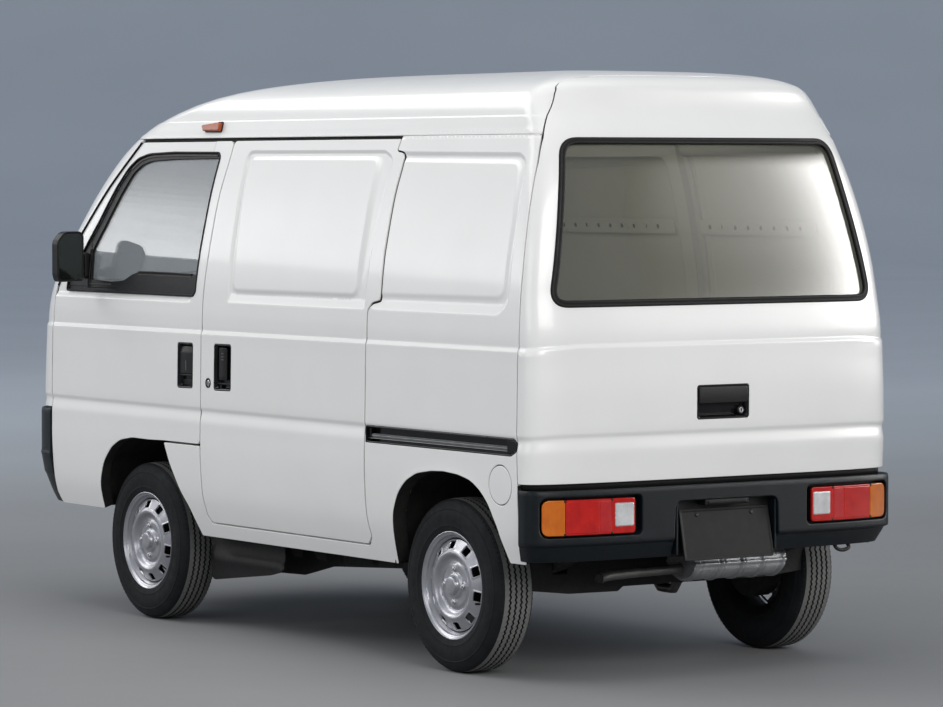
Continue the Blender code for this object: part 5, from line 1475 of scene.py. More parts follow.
def slide_handle(m, side):
    lp = grow(ccw(HP_SLIDE), -0.0006)
    cx = float(np.mean(lp[:, 0]))
    panel(m, surf_side, lp, h=pocket_h(lp, 0.005, 0.020), depth=0.028, r=0.0018, base=0.004, offset=0.0004, mat=0,
          inner=False)
    gr = rounded([(cx - 0.020, 0.848), (cx + 0.034, 0.848), (cx + 0.034, 0.957), (cx - 0.020, 0.957)], 0.008, 0.004)
    panel(m, surf_side, gr, h=lambda x, z: 0.0040 * np.cos((x - cx - 0.007) / 0.027 * 1.3) * sstep((z - 0.842) / 0.02), depth=0.012,
          r=0.002, base=0.005, offset=0.0080, mat=1)
    yb = float(side_y(np.array([cx]), np.array([0.836]))[0])
    block(m, (cx - 0.046, yb - 0.018, 0.8340), (cx + 0.046, yb - 0.008, 0.8390), 0.0015, 1)
    block(m, (cx + 0.020, yb - 0.020, 0.820), (cx + 0.032, yb - 0.010, 0.832), 0.002, 1)
    for k in range(3):
        block(m, (cx - 0.004, yb - 0.0062, 0.915 + 0.010 * k), (cx + 0.012, yb - 0.0038, 0.9185 + 0.010 * k), 0.0008, 2)
    # round lock
    yl = float(side_y(np.array([LOCK_C[0]]), np.array([LOCK_C[1]]))[0])
    c = (LOCK_C[0], yl, LOCK_C[1])
    lathe(m, [(0.0, -0.004), (0.0095, -0.004), (0.0120, -0.001), (0.0130, 0.0012), (0.0150, 0.0020), (0.0166, 0.0012), (0.0170, -0.002),
              (0.0170, -0.016)], 36, c, (0, 1, 0), 0)
    lathe(m, [(0.0, 0.0008), (0.0088, 0.0008), (0.0098, 0.0), (0.0098, -0.006)], 32, c, (0, 1, 0), 3)
    block(m, (c[0] - 0.0010, yl + 0.0004, c[2] - 0.006), (c[0] + 0.0010, yl + 0.0014, c[2] + 0.006), 0.0004, 1)


both(slide_handle, "sliding_door_handle", [M_GLOSSB, M_BLACK, M_VINYL, M_METAL])


def slide_rail(m, side):
    out = grow(ccw(RAIL), -0.0004)
    inn = grow(ccw(RAIL), -0.0050)
    panel(m, surf_side, out, [inn], depth=0.030, offset=-0.0008, r=0.0016, base=0.02, mat=0, inner=False)
    panel(m, surf_side, grow(ccw(RAIL), -0.002), depth=0.004, offset=0.026, r=0.001, base=0.03, mat=0, inner=False)
    # steel track with two lips, and the dark end cap
    panel(m, surf_side, rect(-1.462, 0.7075, -0.712, 0.7205, 0.003), depth=0.012, offset=0.0100, r=0.0015, base=0.02, mat=1, inner=False)
    sweep(m, surf_side, smooth_line([(-0.690, 0.7055), (-1.0, 0.7055), (-1.480, 0.7055)], 0.02), ring_section(0.0022, 0.0016, 6, 0.012), mat=2, offset=0.009)
    sweep(m, surf_side, smooth_line([(-0.700, 0.7140), (-1.0, 0.7140), (-1.462, 0.7140)], 0.02), ring_section(0.0020, 0.0012, 6, 0.002), mat=2, offset=0.0100)
    cap = rounded([(-1.470, 0.697), (-1.522, 0.707), (-1.522, 0.731), (-1.503, 0.740), (-1.470, 0.740)], 0.006, 0.005)
    panel(m, surf_side, cap, depth=0.020, offset=0.0030, r=0.003, base=0.01, mat=0, inner=False)
    # door bracket that runs in the track
    block(m, (-0.7100, 0.668, 0.699), (-0.6930, 0.6870, 0.739), 0.003, 0)


M_TRACK = finish_mat("track_grey", (0.10, 0.105, 0.105), (0.15, 0.155, 0.155), (0.35, 0.5), metal=0.5, scale=30.0, bump=0.1)
M_TRACK2 = finish_mat("track_edge", (0.28, 0.29, 0.29), (0.36, 0.37, 0.37), (0.3, 0.45), metal=0.7, scale=30.0, bump=0.1)
both(slide_rail, "slide_rail", [M_GLOSSB, M_TRACK, M_TRACK2])


def marker(m, side):
    lp = rounded([(0.524, 1.6975), (0.401, 1.7080), (0.403, 1.6770), (0.508, 1.6775)][::-1], 0.006, 0.005)
    panel(m, surf_side, lp, depth=0.024, offset=-0.0160, r=0.0045, base=0.008, mat=0, inner=False, seg=4)
    lb = grow(ccw(lp), 0.0030)
    panel(m, surf_side, lb, depth=0.010, offset=-0.0035, r=0.0015, base=0.01, mat=1, inner=False)


both(marker, "marker_lamp", [M_AMBER_SIDE, M_BLACK])


def fuel_lid(m):
    lp = circle2(LID_C, LID_R, 64)
    panel(m, surf_side, lp, h=None, depth=0.008, r=0.0018, base=0.012, mat=0, mat_in=1)
    # hinge tongue on the forward edge
    block(m, (-1.386, 0.683, 0.590), (-1.374, 0.688, 0.614), 0.002, 1)


single(fuel_lid, "fuel_lid_skin", [M_PAINT, M_INNER], "filler_lid", ("fuel_lid",))


def filler_cup(m):
    lp = circle2(LID_C, LID_R + 0.0015, 44)
    panel(m, surf_side, lp, depth=0.003, offset=0.040, r=0.001, base=0.02, mat=0, inner=False)
    yl = float(side_y(np.array([LID_C[0]]), np.array([LID_C[1]]))[0])
    lathe(m, [(0.0, 0.022), (0.020, 0.022), (0.024, 0.019), (0.026, 0.012), (0.026, -0.004)], 32, (LID_C[0], yl - 0.040, LID_C[1]), (0, 1, 0), 1)
    block(m, (LID_C[0] - 0.019, yl - 0.020, LID_C[1] - 0.004), (LID_C[0] + 0.019, yl - 0.012, LID_C[1] + 0.004), 0.002, 1)


single(filler_cup, "filler_cup", [M_PAINT, M_BLACK], "root")


def gate_handle(m):
    lp = grow(ccw(GH_LOOP), -0.0006)

    def hh(u, v):
        d = sdf(np.stack([u, v], 1), lp)
        return -0.020 * sstep((d - 0.006) / 0.007)
    panel(m, surf_rear, lp, h=hh, depth=0.030, r=0.0018, base=0.005, offset=0.0004, mat=0, inner=False)
    bz = lambda z: float(b_of_z(z))
    fl = rounded([(-0.093, bz(0.836)), (0.093, bz(0.836)), (0.093, bz(0.888)), (-0.093, bz(0.888))], 0.008, 0.006)
    panel(m, surf_rear, fl, h=lambda u, v: 0.0045 * np.cos((v - bz(0.862)) / 0.03), depth=0.014, r=0.003, base=0.008, offset=0.0020, mat=1)
    # key lock in the lower right corner of the pocket
    xr = float(surf_rear(np.array([-0.07]), np.array([bz(0.813)]))[0, 0])
    c = (xr + 0.010, -0.070, 0.8125)
    lathe(m, [(0.0, 0.008), (0.010, 0.008), (0.0128, 0.006), (0.0140, 0.0), (0.0140, -0.010)], 32, c, (-1, 0, 0), 1)
    lathe(m, [(0.0, 0.0098), (0.0070, 0.0098), (0.0085, 0.0085), (0.0085, 0.0)], 28, c, (-1, 0, 0), 2)
    block(m, (xr - 0.0016, -0.0708, 0.8075), (xr + 0.0006, -0.0692, 0.8175), 0.0005, 1)
    block(m, (xr + 0.006, -0.045, 0.799), (xr + 0.014, 0.088, 0.803), 0.002, 1)


single(gate_handle, "tailgate_handle", [M_GLOSSB, M_BLACK, M_METAL], "gate")

# =====================================================================================================
# 10. bumpers, rear lamps, plates
# =====================================================================================================
def bumper_surf(fwd, levels, corner, p):
    zz, gg = np.array([q[0] for q in levels]), np.array([q[1] for q in levels])
    A = arc_table(corner, 0.6975, p)
    L = A[-1]

    def f(u, v):
        g = np.interp(v, zz, gg)
        half, xc = 0.6975 + g, 1.6475 + g
        au = np.abs(u)
        c, s = squircle(np.interp(np.minimum(au, L), A, PHI), p)
        x = xc - corner + corner * c - np.maximum(au - L, 0)
        return np.stack([x * fwd, np.sign(u) * half * s, v + 0 * u], -1)

    def uy(y, g=0.0):
        s = np.clip(np.abs(y) / (0.6975 + g), 0, 0.99999)
        c = (1 - s ** p) ** (1 / p)
        return np.sign(y) * np.interp(np.arctan2(s, c), PHI, A)
    return f, uy, L


REAR_G = [(0.360, -0.038), (0.372, -0.0315), (0.392, -0.0225), (0.410, -0.0145), (0.4200, -0.0108), (0.4230, -0.0096), (0.4255, -0.0050),
          (0.4280, -0.0010), (0.4320, 0.0), (0.5800, 0.0), (0.5880, -0.0012), (0.6000, -0.0052)]
SB_R, UY_R, LB_R = bumper_surf(-1, REAR_G, 0.105, 3.8)
uE = LB_R + (1.6475 - 0.105) - 1.5345


def lamp_loop(y0, y1, z0, z1, r, step=0.006):
    q = rounded([(y0, z0), (y1, z0), (y1, z1), (y0, z1)], r, step)
    return np.stack([UY_R(q[:, 0]), q[:, 1]], 1)


LREC = lamp_loop(0.3165, 0.6675, 0.4510, 0.5715, [0.018, 0.030, 0.030, 0.018])
LREC_R = LREC[::-1] * [-1, 1]
PREC = rounded([(-0.205, 0.3755), (0.195, 0.3755), (0.190, 0.5435), (-0.200, 0.5435)], [0.003, 0.003, 0.016, 0.016], 0.008)
PREC = np.stack([UY_R(PREC[:, 0]), PREC[:, 1]], 1)


def rear_bumper(m):
    e = np.linspace(0.3735, 0.5940, 12)
    q = rounded([(-uE, 0.3735), (uE, 0.3735), (uE, 0.5940), (-uE, 0.5940)], 0.006, 0.010)
    # the plate recess runs out through the lower edge
    lower = [(-uE, 0.3735), (UY_R(np.array([-0.2060]))[0], 0.3735), (UY_R(np.array([-0.2000]))[0], 0.5440),
             (UY_R(np.array([0.1900]))[0], 0.5440), (UY_R(np.array([0.1960]))[0], 0.3735), (uE, 0.3735), (uE, 0.5940), (-uE, 0.5940)]
    q = rounded(lower, [0.006, 0.004, 0.028, 0.028, 0.004, 0.006, 0.006, 0.006], 0.010)
    panel(m, SB_R, q, [LREC, LREC_R], h=lambda u, v: 0 * u, depth=0.045, r=0.0045, base=0.018,
          rows=[0.380, 0.392, 0.402, 0.412, 0.4205, 0.4235, 0.4255, 0.428, 0.432, 0.440, 0.577, 0.580, 0.584, 0.588],
          colsx=[s * (LB_R - d) for s in (1, -1) for d in (0.0, 0.012, 0.024, 0.036, 0.048, 0.060, 0.072, 0.084, 0.096, 0.108, 0.120, 0.135, 0.150)],
          seg=4)
    # back of the lamp recesses
    for s in (1, -1):
        lp = LREC if s > 0 else LREC_R
        panel(m, SB_R, lp, depth=0.004, offset=0.030, r=0.001, base=0.03, mat=1, inner=False)


single(rear_bumper, "rear_bumper_skin", [M_PLASTIC, M_BLACK], "root", ("rear_bumper",))


def tail_lamp(m, side):
    # housing edge, then the three lenses with the fine ribs and the notches at the screws
    lens = lamp_loop(0.3385, 0.6620, 0.4560, 0.5645, [0.013, 0.025, 0.025, 0.013])
    panel(m, SB_R, lens, depth=0.024, offset=0.0105, r=0.003, base=0.02, mat=3, inner=False)

    def sub(y0, y1, z0, z1, r, off, mat, hh=None, dep=0.010, base=0.012):
        panel(m, SB_R, lamp_loop(y0, y1, z0, z1, r, 0.005), depth=dep, offset=off, r=0.0028, base=base, mat=mat, inner=False, seg=4, h=hh)
    sub(0.5865, 0.6612, 0.4568, 0.5637, [0.003, 0.025, 0.025, 0.003], 0.0045, 0)
    sub(0.3393, 0.5855, 0.4568, 0.5637, [0.011, 0.003, 0.003, 0.011], 0.0045, 1)
    # reflector field and divisions stand a little proud of the red lens
    sub(0.4700, 0.5820, 0.4620, 0.5585, 0.004, 0.0030, 1)
    sub(0.4270, 0.4670, 0.4620, 0.5585, 0.003, 0.0036, 4)
    sub(0.3465, 0.4115, 0.4800, 0.5470, 0.006, 0.0018, 2, dep=0.012)
    sub(0.3440, 0.4140, 0.4775, 0.5495, 0.007, 0.0030, 5, dep=0.010)
    yf = lambda y, z: SB_R(UY_R(np.array([y])), np.array([z]))[0]
    for y in (0.5870, 0.4240):
        for z in (0.4605, 0.5600):
            p = yf(y, z)
            lathe(m, [(0.0, 0.0015), (0.0030, 0.0015), (0.0040, 0.0006), (0.0042, -0.006)], 16, p + np.array([0.0045, 0, 0]), (-1, 0, 0), 3)


M_RED2 = lens_mat("lens_red_reflex", (0.42, 0.006, 0.010), (0.50, 0.012, 0.014), 0.12, scale=900.0)
M_SILVER = finish_mat("lens_edge_silver", (0.55, 0.55, 0.57), (0.65, 0.65, 0.67), (0.2, 0.3), metal=0.6, scale=40.0, coat=0.5)
both(tail_lamp, "tail_lamp_unit", [M_AMBER, M_RED, M_WHITE, M_BLACK, M_RED2, M_SILVER], ("root", "root"),
     ("tail_lamp_left", "tail_lamp_right"))


def plate_bay(m):
    # floor of the bay, its sloping cheeks and the lamp box over the plate
    plate_piece(m, (-1.6060, -0.005, 0.4600), (0, -1, 0), (0, 0, 1), rect(-0.197, -0.090, 0.197, 0.086, 0.010), 0.006, mat=1, inner=False)
    block(m, (-1.6470, -0.088, 0.5270), (-1.6070, 0.080, 0.5450), 0.004, 1)
    block(m, (-1.6500, -0.078, 0.5310), (-1.6440, 0.070, 0.5410), 0.003, 1)
    for s in (1, -1):
        block(m, (-1.6400, -0.008 + 0.1890 * s - 0.004, 0.380), (-1.6065, -0.008 + 0.1890 * s + 0.004, 0.536), 0.003, 0)
        block(m, (-1.6170, -0.011 + 0.1000 * s - 0.012, 0.478), (-1.6050, -0.011 + 0.1000 * s + 0.012, 0.506), 0.003, 1)


single(plate_bay, "plate_bay", [M_PLASTIC, M_BLACK])


def rear_plate(m):
    lp = rect(-0.1715, -0.0790, 0.1715, 0.0790, 0.006, 0.008)
    inn = rect(-0.1635, -0.0710, 0.1635, 0.0710, 0.004, 0.008)
    tl = math.radians(12.0)
    nv, up = np.array([-math.cos(tl), 0, math.sin(tl)]), np.array([math.sin(tl), 0, math.cos(tl)])
    o = np.array([-1.6355, -0.011, 0.4385])

    def hh(u, v):
        d = sdf(np.stack([u, v], 1), inn)
        return -0.0010 * sstep((d + 0.001) / 0.002)
    plate_piece(m, tuple(o), (0, -1, 0), tuple(up), lp, 0.0045, r=0.0012, h=hh, base=0.012,
                extra=[band(inn, [-0.002, -0.001, 0.0, 0.001], 0.012)])
    for s in (1, -1):
        lathe(m, [(0.0, 0.0018), (0.0045, 0.0018), (0.0062, 0.0008), (0.0064, -0.001)], 20, tuple(o + up * 0.0600 + np.array([0, 0.105 * s, 0])), tuple(nv), 1)


single(rear_plate, "rear_plate_blank", [M_PLATE, M_BLACK], "root", ("plate_rear",))

FRONT_G = [(0.355, -0.048), (0.3650, -0.0440), (0.400, -0.0300), (0.4620, -0.0120), (0.4700, -0.0080), (0.530, 0.0), (0.6860, 0.0), (0.6960, -0.0012),
           (0.7060, -0.0052)]
SB_F, UY_F, LB_F = bumper_surf(1, FRONT_G, 0.300, 3.3)
uEF = LB_F + (1.6475 - 0.300) - 1.3915


def front_bumper(m):
    q = rounded([(-uEF, 0.3640), (uEF, 0.3640), (uEF, 0.7020), (-uEF, 0.7020)], [0.02, 0.02, 0.006, 0.006], 0.012)
    seat = np.array([(-0.169, 0.552), (0.169, 0.552), (0.169, 0.699), (-0.169, 0.699)])
    seat = rounded([(UY_F(np.array([y]))[0], z) for y, z in seat], 0.006, 0.012)
    slot = rounded([(UY_F(np.array([y]))[0], z) for y, z in [(-0.40, 0.452), (0.40, 0.452), (0.40, 0.518), (-0.40, 0.518)]], 0.014, 0.012)
    panel(m, SB_F, q, [slot, seat], h=lambda u, v: 0.0028 * np.exp(-((v - 0.539) / 0.006) ** 2), depth=0.045, r=0.0045, base=0.020,
          rows=[0.4620, 0.466, 0.470, 0.526, 0.531, 0.536, 0.541, 0.546, 0.551, 0.686, 0.691, 0.696],
          colsx=[s * (LB_F - d) for s in (1, -1) for d in (0.0, 0.02, 0.04, 0.06, 0.08, 0.10, 0.12, 0.14, 0.16, 0.18, 0.20, 0.22)], seg=4)
    # slats in the air slot and a dark back
    for z in (0.470, 0.485, 0.500):
        block(m, (1.5920, -0.405, z - 0.003), (1.6220, 0.405, z + 0.003), 0.002, 1)
    block(m, (1.5820, -0.44, 0.440), (1.5900, 0.44, 0.530), 0.002, 1)
    block(m, (1.6060, -0.176, 0.545), (1.6330, 0.176, 0.701), 0.004, 0)


single(front_bumper, "front_bumper_skin", [M_PLASTIC, M_BLACK], "root", ("front_bumper",))


def front_plate(m):
    lp = rect(-0.1645, -0.0645, 0.1645, 0.0645, 0.006, 0.008)
    inn = rect(-0.157, -0.057, 0.157, 0.057, 0.004, 0.008)

    def hh(u, v):
        d = sdf(np.stack([u, v], 1), inn)
        return -0.0008 * sstep((d + 0.001) / 0.002)
    plate_piece(m, (1.6374, 0.0, 0.6250), (0, 1, 0), (0, 0, 1), lp, 0.0035, r=0.0010, h=hh, base=0.012,
                extra=[band(inn, [-0.002, -0.001, 0.0, 0.001], 0.012)])
    for s in (1, -1):
        lathe(m, [(0.0, 0.0008), (0.0045, 0.0008), (0.0062, 0.0004), (0.0064, -0.001)], 20, (1.6368, 0.105 * s, 0.6760), (1, 0, 0), 1)


single(front_plate, "front_plate_blank", [M_PLATE, M_BLACK], "root", ("plate_front",))


# ---- headlamps and the panel between them
def headlamp(m, side):
    lp = ccw(HEAD_L)
    panel(m, surf_front, grow(lp, -0.0015), depth=0.004, offset=0.0015, r=0.0025, base=0.014, mat=0, inner=False, seg=4)
    # reflector bowl, bulb, amber corner cell
    inn = grow(lp, -0.004)
    cy_, cz_ = 0.450, 0.832

    def hh(u, v):
        P = surf_front(u, v)
        d = np.hypot((P[:, 1] - cy_) / 0.105, (P[:, 2] - cz_) / 0.066)
        return -0.030 * np.clip(1 - d * d, 0, 1) - 0.002
    panel(m, surf_front, inn, depth=0.012, offset=0.0120, r=0.001, base=0.008, h=hh, mat=1, inner=False)
    sweep(m, surf_front, resample(grow(lp, 0.0015), 0.008, True), ring_section(0.007, 0.003, 8, 0.004), closed=True, mat=2)
    p = surf_front(np.array([float(u_from_y(np.array([cy_]), np.array([cz_]), 1)[0])]), np.array([cz_]))[0]
    lathe(m, [(0.0, 0.024), (0.006, 0.022), (0.008, 0.016), (0.008, 0.0), (0.016, -0.002), (0.018, -0.010)], 24, p + np.array([-0.040, 0, 0]), (1, 0, 0), 3)
    q = yz_loop([(0.545, 0.770), (0.592, 0.776), (0.592, 0.892), (0.558, 0.906), (0.545, 0.906)], 1, 0.006, 0.006)
    panel(m, surf_front, q, depth=0.006, offset=0.0065, r=0.002, base=0.012, mat=4, inner=False)


both(headlamp, "headlamp_unit", [M_CLEAR, M_MIRROR, M_RUBBER, M_METAL, M_AMBER], ("root", "root"), ("headlamp_left", "headlamp_right"))


def nose_panel(m):
    q = rounded([(-0.300, 0.795), (0.300, 0.795), (0.300, 0.868), (-0.300, 0.868)], 0.010, 0.010)
    panel(m, surf_front, q, depth=0.010, offset=0.0018, r=0.0020, base=0.02, mat=0, inner=False,
          h=lambda u, v: -0.004 * (np.abs(((v - 0.80) / 0.0145) % 1.0 - 0.5) < 0.22) * (np.abs(u) < 0.285) * (v > 0.803) * (v < 0.861),
          rows=[0.80 + 0.0145 * k + d for k in range(5) for d in (0.0035, 0.0045, 0.0100, 0.0110)])
    # wiper arms at rest, under the screen
    for y0, y1 in ((0.36, -0.16), (-0.14, -0.54)):
        pts = []
        for t in np.linspace(0, 1, 9):
            y = y0 + (y1 - y0) * t
            z = 1.128 + 0.036 * t
            pp = surf_front(u_from_y(np.array([y]), np.array([z]), 1), np.array([z]))[0]
            pts.append(pp + np.array([0.010, 0, 0.006]))
        tube_line(m, pts, np.interp(np.linspace(0, 1, len(smooth_line(pts, 0.01))), [0, 0.3, 1], [0.0060, 0.0042, 0.0030]), 8, 1)
        bl = []
        for t in np.linspace(0, 1, 12):
            y = y0 + (y1 - y0) * (0.25 + 0.85 * t)
            z = 1.150 + 0.036 * t
            pp = surf_front(u_from_y(np.array([y]), np.array([z]), 1), np.array([z]))[0]
            bl.append(pp + np.array([0.004, 0, 0.003]))
        tube_line(m, bl, 0.0035, 8, 1)
        lathe(m, [(0.0, 0.018), (0.010, 0.016), (0.013, 0.010), (0.013, -0.012)], 20,
              surf_front(u_from_y(np.array([y0]), np.array([1.128]), 1), np.array([1.128]))[0], (0.75, 0, 0.66), 1)


single(nose_panel, "nose_grille", [M_BLACK, M_BLACK])

# =====================================================================================================
# 11. wheel houses
# =====================================================================================================
def strip_wall(m, line, y0, y1, t, mat=0):
    """A sheet along an (x, z) line between y0 and y1, closed, t thick."""
    q = resample(np.array(line, float), 0.03)
    tn = np.gradient(q, axis=0)
    tn /= np.linalg.norm(tn, axis=1, keepdims=True)
    n = np.stack([-tn[:, 1], tn[:, 0]], 1)
    ys = np.linspace(y0, y1, 6)
    for s, off in ((1, t / 2), (-1, -t / 2)):
        p = q + n * off
        V = np.stack([np.repeat(p[:, 0:1], len(ys), 1), np.repeat(ys[None, :], len(p), 0), np.repeat(p[:, 1:2], len(ys), 1)], -1)
        N = np.zeros_like(V)
        N[..., 0], N[..., 2] = (n[:, 0] * s)[:, None], (n[:, 1] * s)[:, None]
        m.grid(V, N, mat)
    for yy, s in ((y0, math.copysign(1, y0 - y1)), (y1, math.copysign(1, y1 - y0))):
        V = np.stack([np.stack([q[:, 0] + n[:, 0] * o, np.full(len(q), yy), q[:, 1] + n[:, 1] * o], -1) for o in (-t / 2, t / 2)], 0)
        N = np.zeros_like(V)
        N[..., 1] = s
        m.grid(V, N, mat)


def wheel_house(m, side):
    fr = [(1.078, 0.372)] + [(x + 0.016 * (1 if x > 0.8 else -0.6), z + 0.014) for x, z in ARCH_FRONT[1:]] + \
         [(x - 0.016, z) for x, z in ARCH_SILL[1:]]
    strip_wall(m, fr, 0.640, 0.340, 0.003)
    rr = [(x + 0.014 * (1 if x > -1.1 else -1), z + (0.014 if z > 0.5 else 0.0)) for x, z in ARCH_REAR]
    strip_wall(m, rr, 0.650, 0.300, 0.003)
    # inner walls, pressed
    for x0, x1, zb, yw in ((0.395, 1.090, 0.350, 0.342), (-1.455, -0.800, 0.455, 0.330)):
        lp = rounded([(x0, zb), (x1, zb), (x1, 0.56), (x1 - 0.16, 0.642), (x0 + 0.16, 0.642), (x0, 0.56)], [0.01, 0.01, 0.10, 0.08, 0.08, 0.10], 0.03)
        plate_piece(m, (0, yw, 0), (-1, 0, 0), (0, 0, 1), lp * [-1, 1], 0.003, r=0.001,
                    h=lambda u, v: 0.004 * np.sin(u * 60.0) * sstep((v - 0.40) / 0.05), base=0.012)


both(wheel_house, "wheel_house", [M_IRON])

# =====================================================================================================
# 12. wheels
# =====================================================================================================
FAX, RAX, WZ, WY = 0.784, -1.107, 0.270, 0.5825
RIM_H = np.array([(0.0, 0.0600), (0.0335, 0.0600), (0.0380, 0.0575), (0.0415, 0.0532), (0.0440, 0.0525), (0.0640, 0.0525), (0.0680, 0.0510),
                  (0.0720, 0.0485), (0.0780, 0.0480), (0.0850, 0.0520), (0.0920, 0.0612), (0.0975, 0.0655), (0.1020, 0.0660),
                  (0.1065, 0.0645), (0.1110, 0.0612), (0.1250, 0.0540), (0.1380, 0.0472), (0.1425, 0.0445)])
_rr = np.linspace(0, 0.1425, 400)
_rh = blur(np.interp(_rr, RIM_H[:, 0], RIM_H[:, 1]), 4.0)


def wheel_meshes(ax_x, mrim, mtyre):
    c0 = np.array([ax_x, WY, WZ])

    def pt(u, v):
        r = np.hypot(u, v)
        return np.stack([ax_x + u, WY + np.interp(r, _rr, _rh), WZ + v], -1)
    pt.dirn = np.array([0, 1.0, 0])
    nuts = [(0.0510 * math.cos(math.radians(90 * k)), 0.0510 * math.sin(math.radians(90 * k))) for k in range(4)]
    vents = []
    for k in range(10):
        a = math.radians(36 * k + 12)
        e, t = np.array([math.cos(a), math.sin(a)]), np.array([-math.sin(a), math.cos(a)])
        q = rounded([(-0.0128, -0.0148), (0.0118, -0.0165), (0.0118, 0.0165), (-0.0128, 0.0148)], 0.006, 0.0035)
        vents.append(e * 0.1258 + q[:, 0:1] * e + q[:, 1:2] * t)
    cen = np.array([v.mean(0) for v in vents])
    nn = np.array(nuts)

    def hd(u, v):
        P = np.stack([u, v], 1)
        h = np.zeros(len(u))
        d = np.min(np.linalg.norm(P[:, None] - cen[None], axis=2), 1)
        near = d < 0.026
        if near.any():
            q = P[near]
            i = np.argmin(np.linalg.norm(q[:, None] - cen[None], axis=2), 1)
            a = np.arctan2(cen[i, 1], cen[i, 0])
            du = q - cen[i]
            lx = du[:, 0] * np.cos(a) + du[:, 1] * np.sin(a)
            ly = -du[:, 0] * np.sin(a) + du[:, 1] * np.cos(a)
            s = np.maximum(np.abs(lx) - 0.0122, 0) ** 2 + np.maximum(np.abs(ly) - 0.0158, 0) ** 2
            h[near] += 0.0020 * np.exp(-(np.sqrt(s) / 0.0030) ** 2)
        dn = np.min(np.linalg.norm(P[:, None] - nn[None], axis=2), 1)
        h += 0.0022 * sstep((0.0165 - dn) / 0.006)
        r = np.hypot(u, v)
        h += 0.0010 * np.cos(np.arctan2(v, u) * 4) * sstep((r - 0.040) / 0.006) * sstep((0.072 - r) / 0.006)
        return h
    outer = circle2((0, 0), 0.1430, 120)
    rings = [circle2((0, 0), r, max(16, int(r * 6.283 / 0.0045))) for r in
             (0.008, 0.016, 0.024, 0.031, 0.034, 0.037, 0.040, 0.043, 0.047, 0.052, 0.057, 0.062, 0.066, 0.070, 0.074, 0.079, 0.084, 0.088, 0.092,
              0.0955, 0.099, 0.1025, 0.106, 0.1095, 0.113, 0.118, 0.1395)]
    ex = [np.concatenate(rings)] + [band(v, [0.0015, 0.003, 0.0048, 0.007], 0.0035) for v in vents]
    panel(mrim, pt, outer, vents, h=hd, depth=0.0045, r=0.0010, base=0.5, extra=ex, mat=0, inner_base=0.02)
    # barrel and rim edge
    prof = [(0.1425, 0.0330), (0.1430, 0.0360), (0.1438, 0.0390), (0.1452, 0.0425), (0.1490, 0.0480), (0.1522, 0.0515), (0.1538, 0.0535),
            (0.1542, 0.0560), (0.1556, 0.0585), (0.1590, 0.0605), (0.1618, 0.0620), (0.1640, 0.0650), (0.1655, 0.0665), (0.1672, 0.0660),
            (0.1678, 0.0640), (0.1672, 0.0610), (0.1630, 0.0560), (0.1600, 0.0540)]
    lathe(mrim, prof, 120, c0, (0, 1, 0), 0, smooth_deg=50)
    back = [(0.1425, 0.0330), (0.1415, 0.0180), (0.1360, 0.0050), (0.1300, -0.0100), (0.1300, -0.0350), (0.1400, -0.0480), (0.1500, -0.0540), (0.1560, -0.0600),
            (0.1640, -0.0655), (0.1665, -0.0650), (0.1660, -0.0600)]
    lathe(mrim, back, 72, c0, (0, 1, 0), 2, smooth_deg=50)
    # nuts, studs, hub cap and valve
    for u, v in nuts:
        h = 0.0530
        a = [(0.0088 * math.cos(math.radians(60 * k + 15)), 0.0088 * math.sin(math.radians(60 * k + 15))) for k in range(6)]
        hexo = rounded(a, 0.001, 0.004)
        plate_piece(mrim, (ax_x + u, WY + h + 0.0085, WZ + v), (0, 0, 1), (1, 0, 0), hexo, 0.0110, r=0.0012, mat=1, inner=False, base=0.01)
        lathe(mrim, [(0.0, 0.0130), (0.0040, 0.0130), (0.0048, 0.0120), (0.0048, 0.005)], 16, (ax_x + u, WY + h, WZ + v), (0, 1, 0), 1)
    lathe(mrim, [(0.0, 0.0745), (0.012, 0.0742), (0.0225, 0.0732), (0.0262, 0.0718), (0.0282, 0.0690), (0.0290, 0.0620), (0.0320, 0.0590)], 48, c0, (0, 1, 0), 0,
          smooth_deg=40)
    a = math.radians(200)
    tube_line(mrim, [(ax_x + 0.139 * math.cos(a), WY + 0.044, WZ + 0.139 * math.sin(a)), (ax_x + 0.1375 * math.cos(a), WY + 0.052, WZ + 0.1375 * math.sin(a)),
                     (ax_x + 0.1355 * math.cos(a), WY + 0.064, WZ + 0.1355 * math.sin(a))], 0.0034, 10, 2, 0.004)
    # tyre: smooth side walls, then a ribbed tread with zigzag grooves; the rib tops take the lighter rib material as
    # painted light, the groove walls and floors the near-black groove material as painted shade
    side = [(0.1600, 0.0540), (0.1660, 0.0622), (0.1688, 0.0658), (0.1730, 0.0672), (0.1790, 0.0690), (0.1830, 0.0700), (0.1850, 0.0712), (0.1870, 0.0712),
            (0.1892, 0.0704), (0.1990, 0.0716), (0.2090, 0.0722), (0.2180, 0.0719), (0.2270, 0.0708), (0.2330, 0.0696), (0.2346, 0.0704), (0.2362, 0.0702),
            (0.2378, 0.0684), (0.2440, 0.0662), (0.2500, 0.0634), (0.2560, 0.0598), (0.2610, 0.0560), (0.2645, 0.0525), (0.2668, 0.0490)]
    lathe(mtyre, side, 160, c0, (0, 1, 0), 0, smooth_deg=28)
    lathe(mtyre, [(r, -a2) for r, a2 in side], 160, c0, (0, 1, 0), 0, smooth_deg=28)
    n = 400
    th = np.arange(n) * 2 * math.pi / n
    ph = np.arange(n) % 4
    zig = np.array([-1.0, 0.0, 1.0, 0.0])[ph] * 0.0024
    colsy, colsr, amp = [], [], []

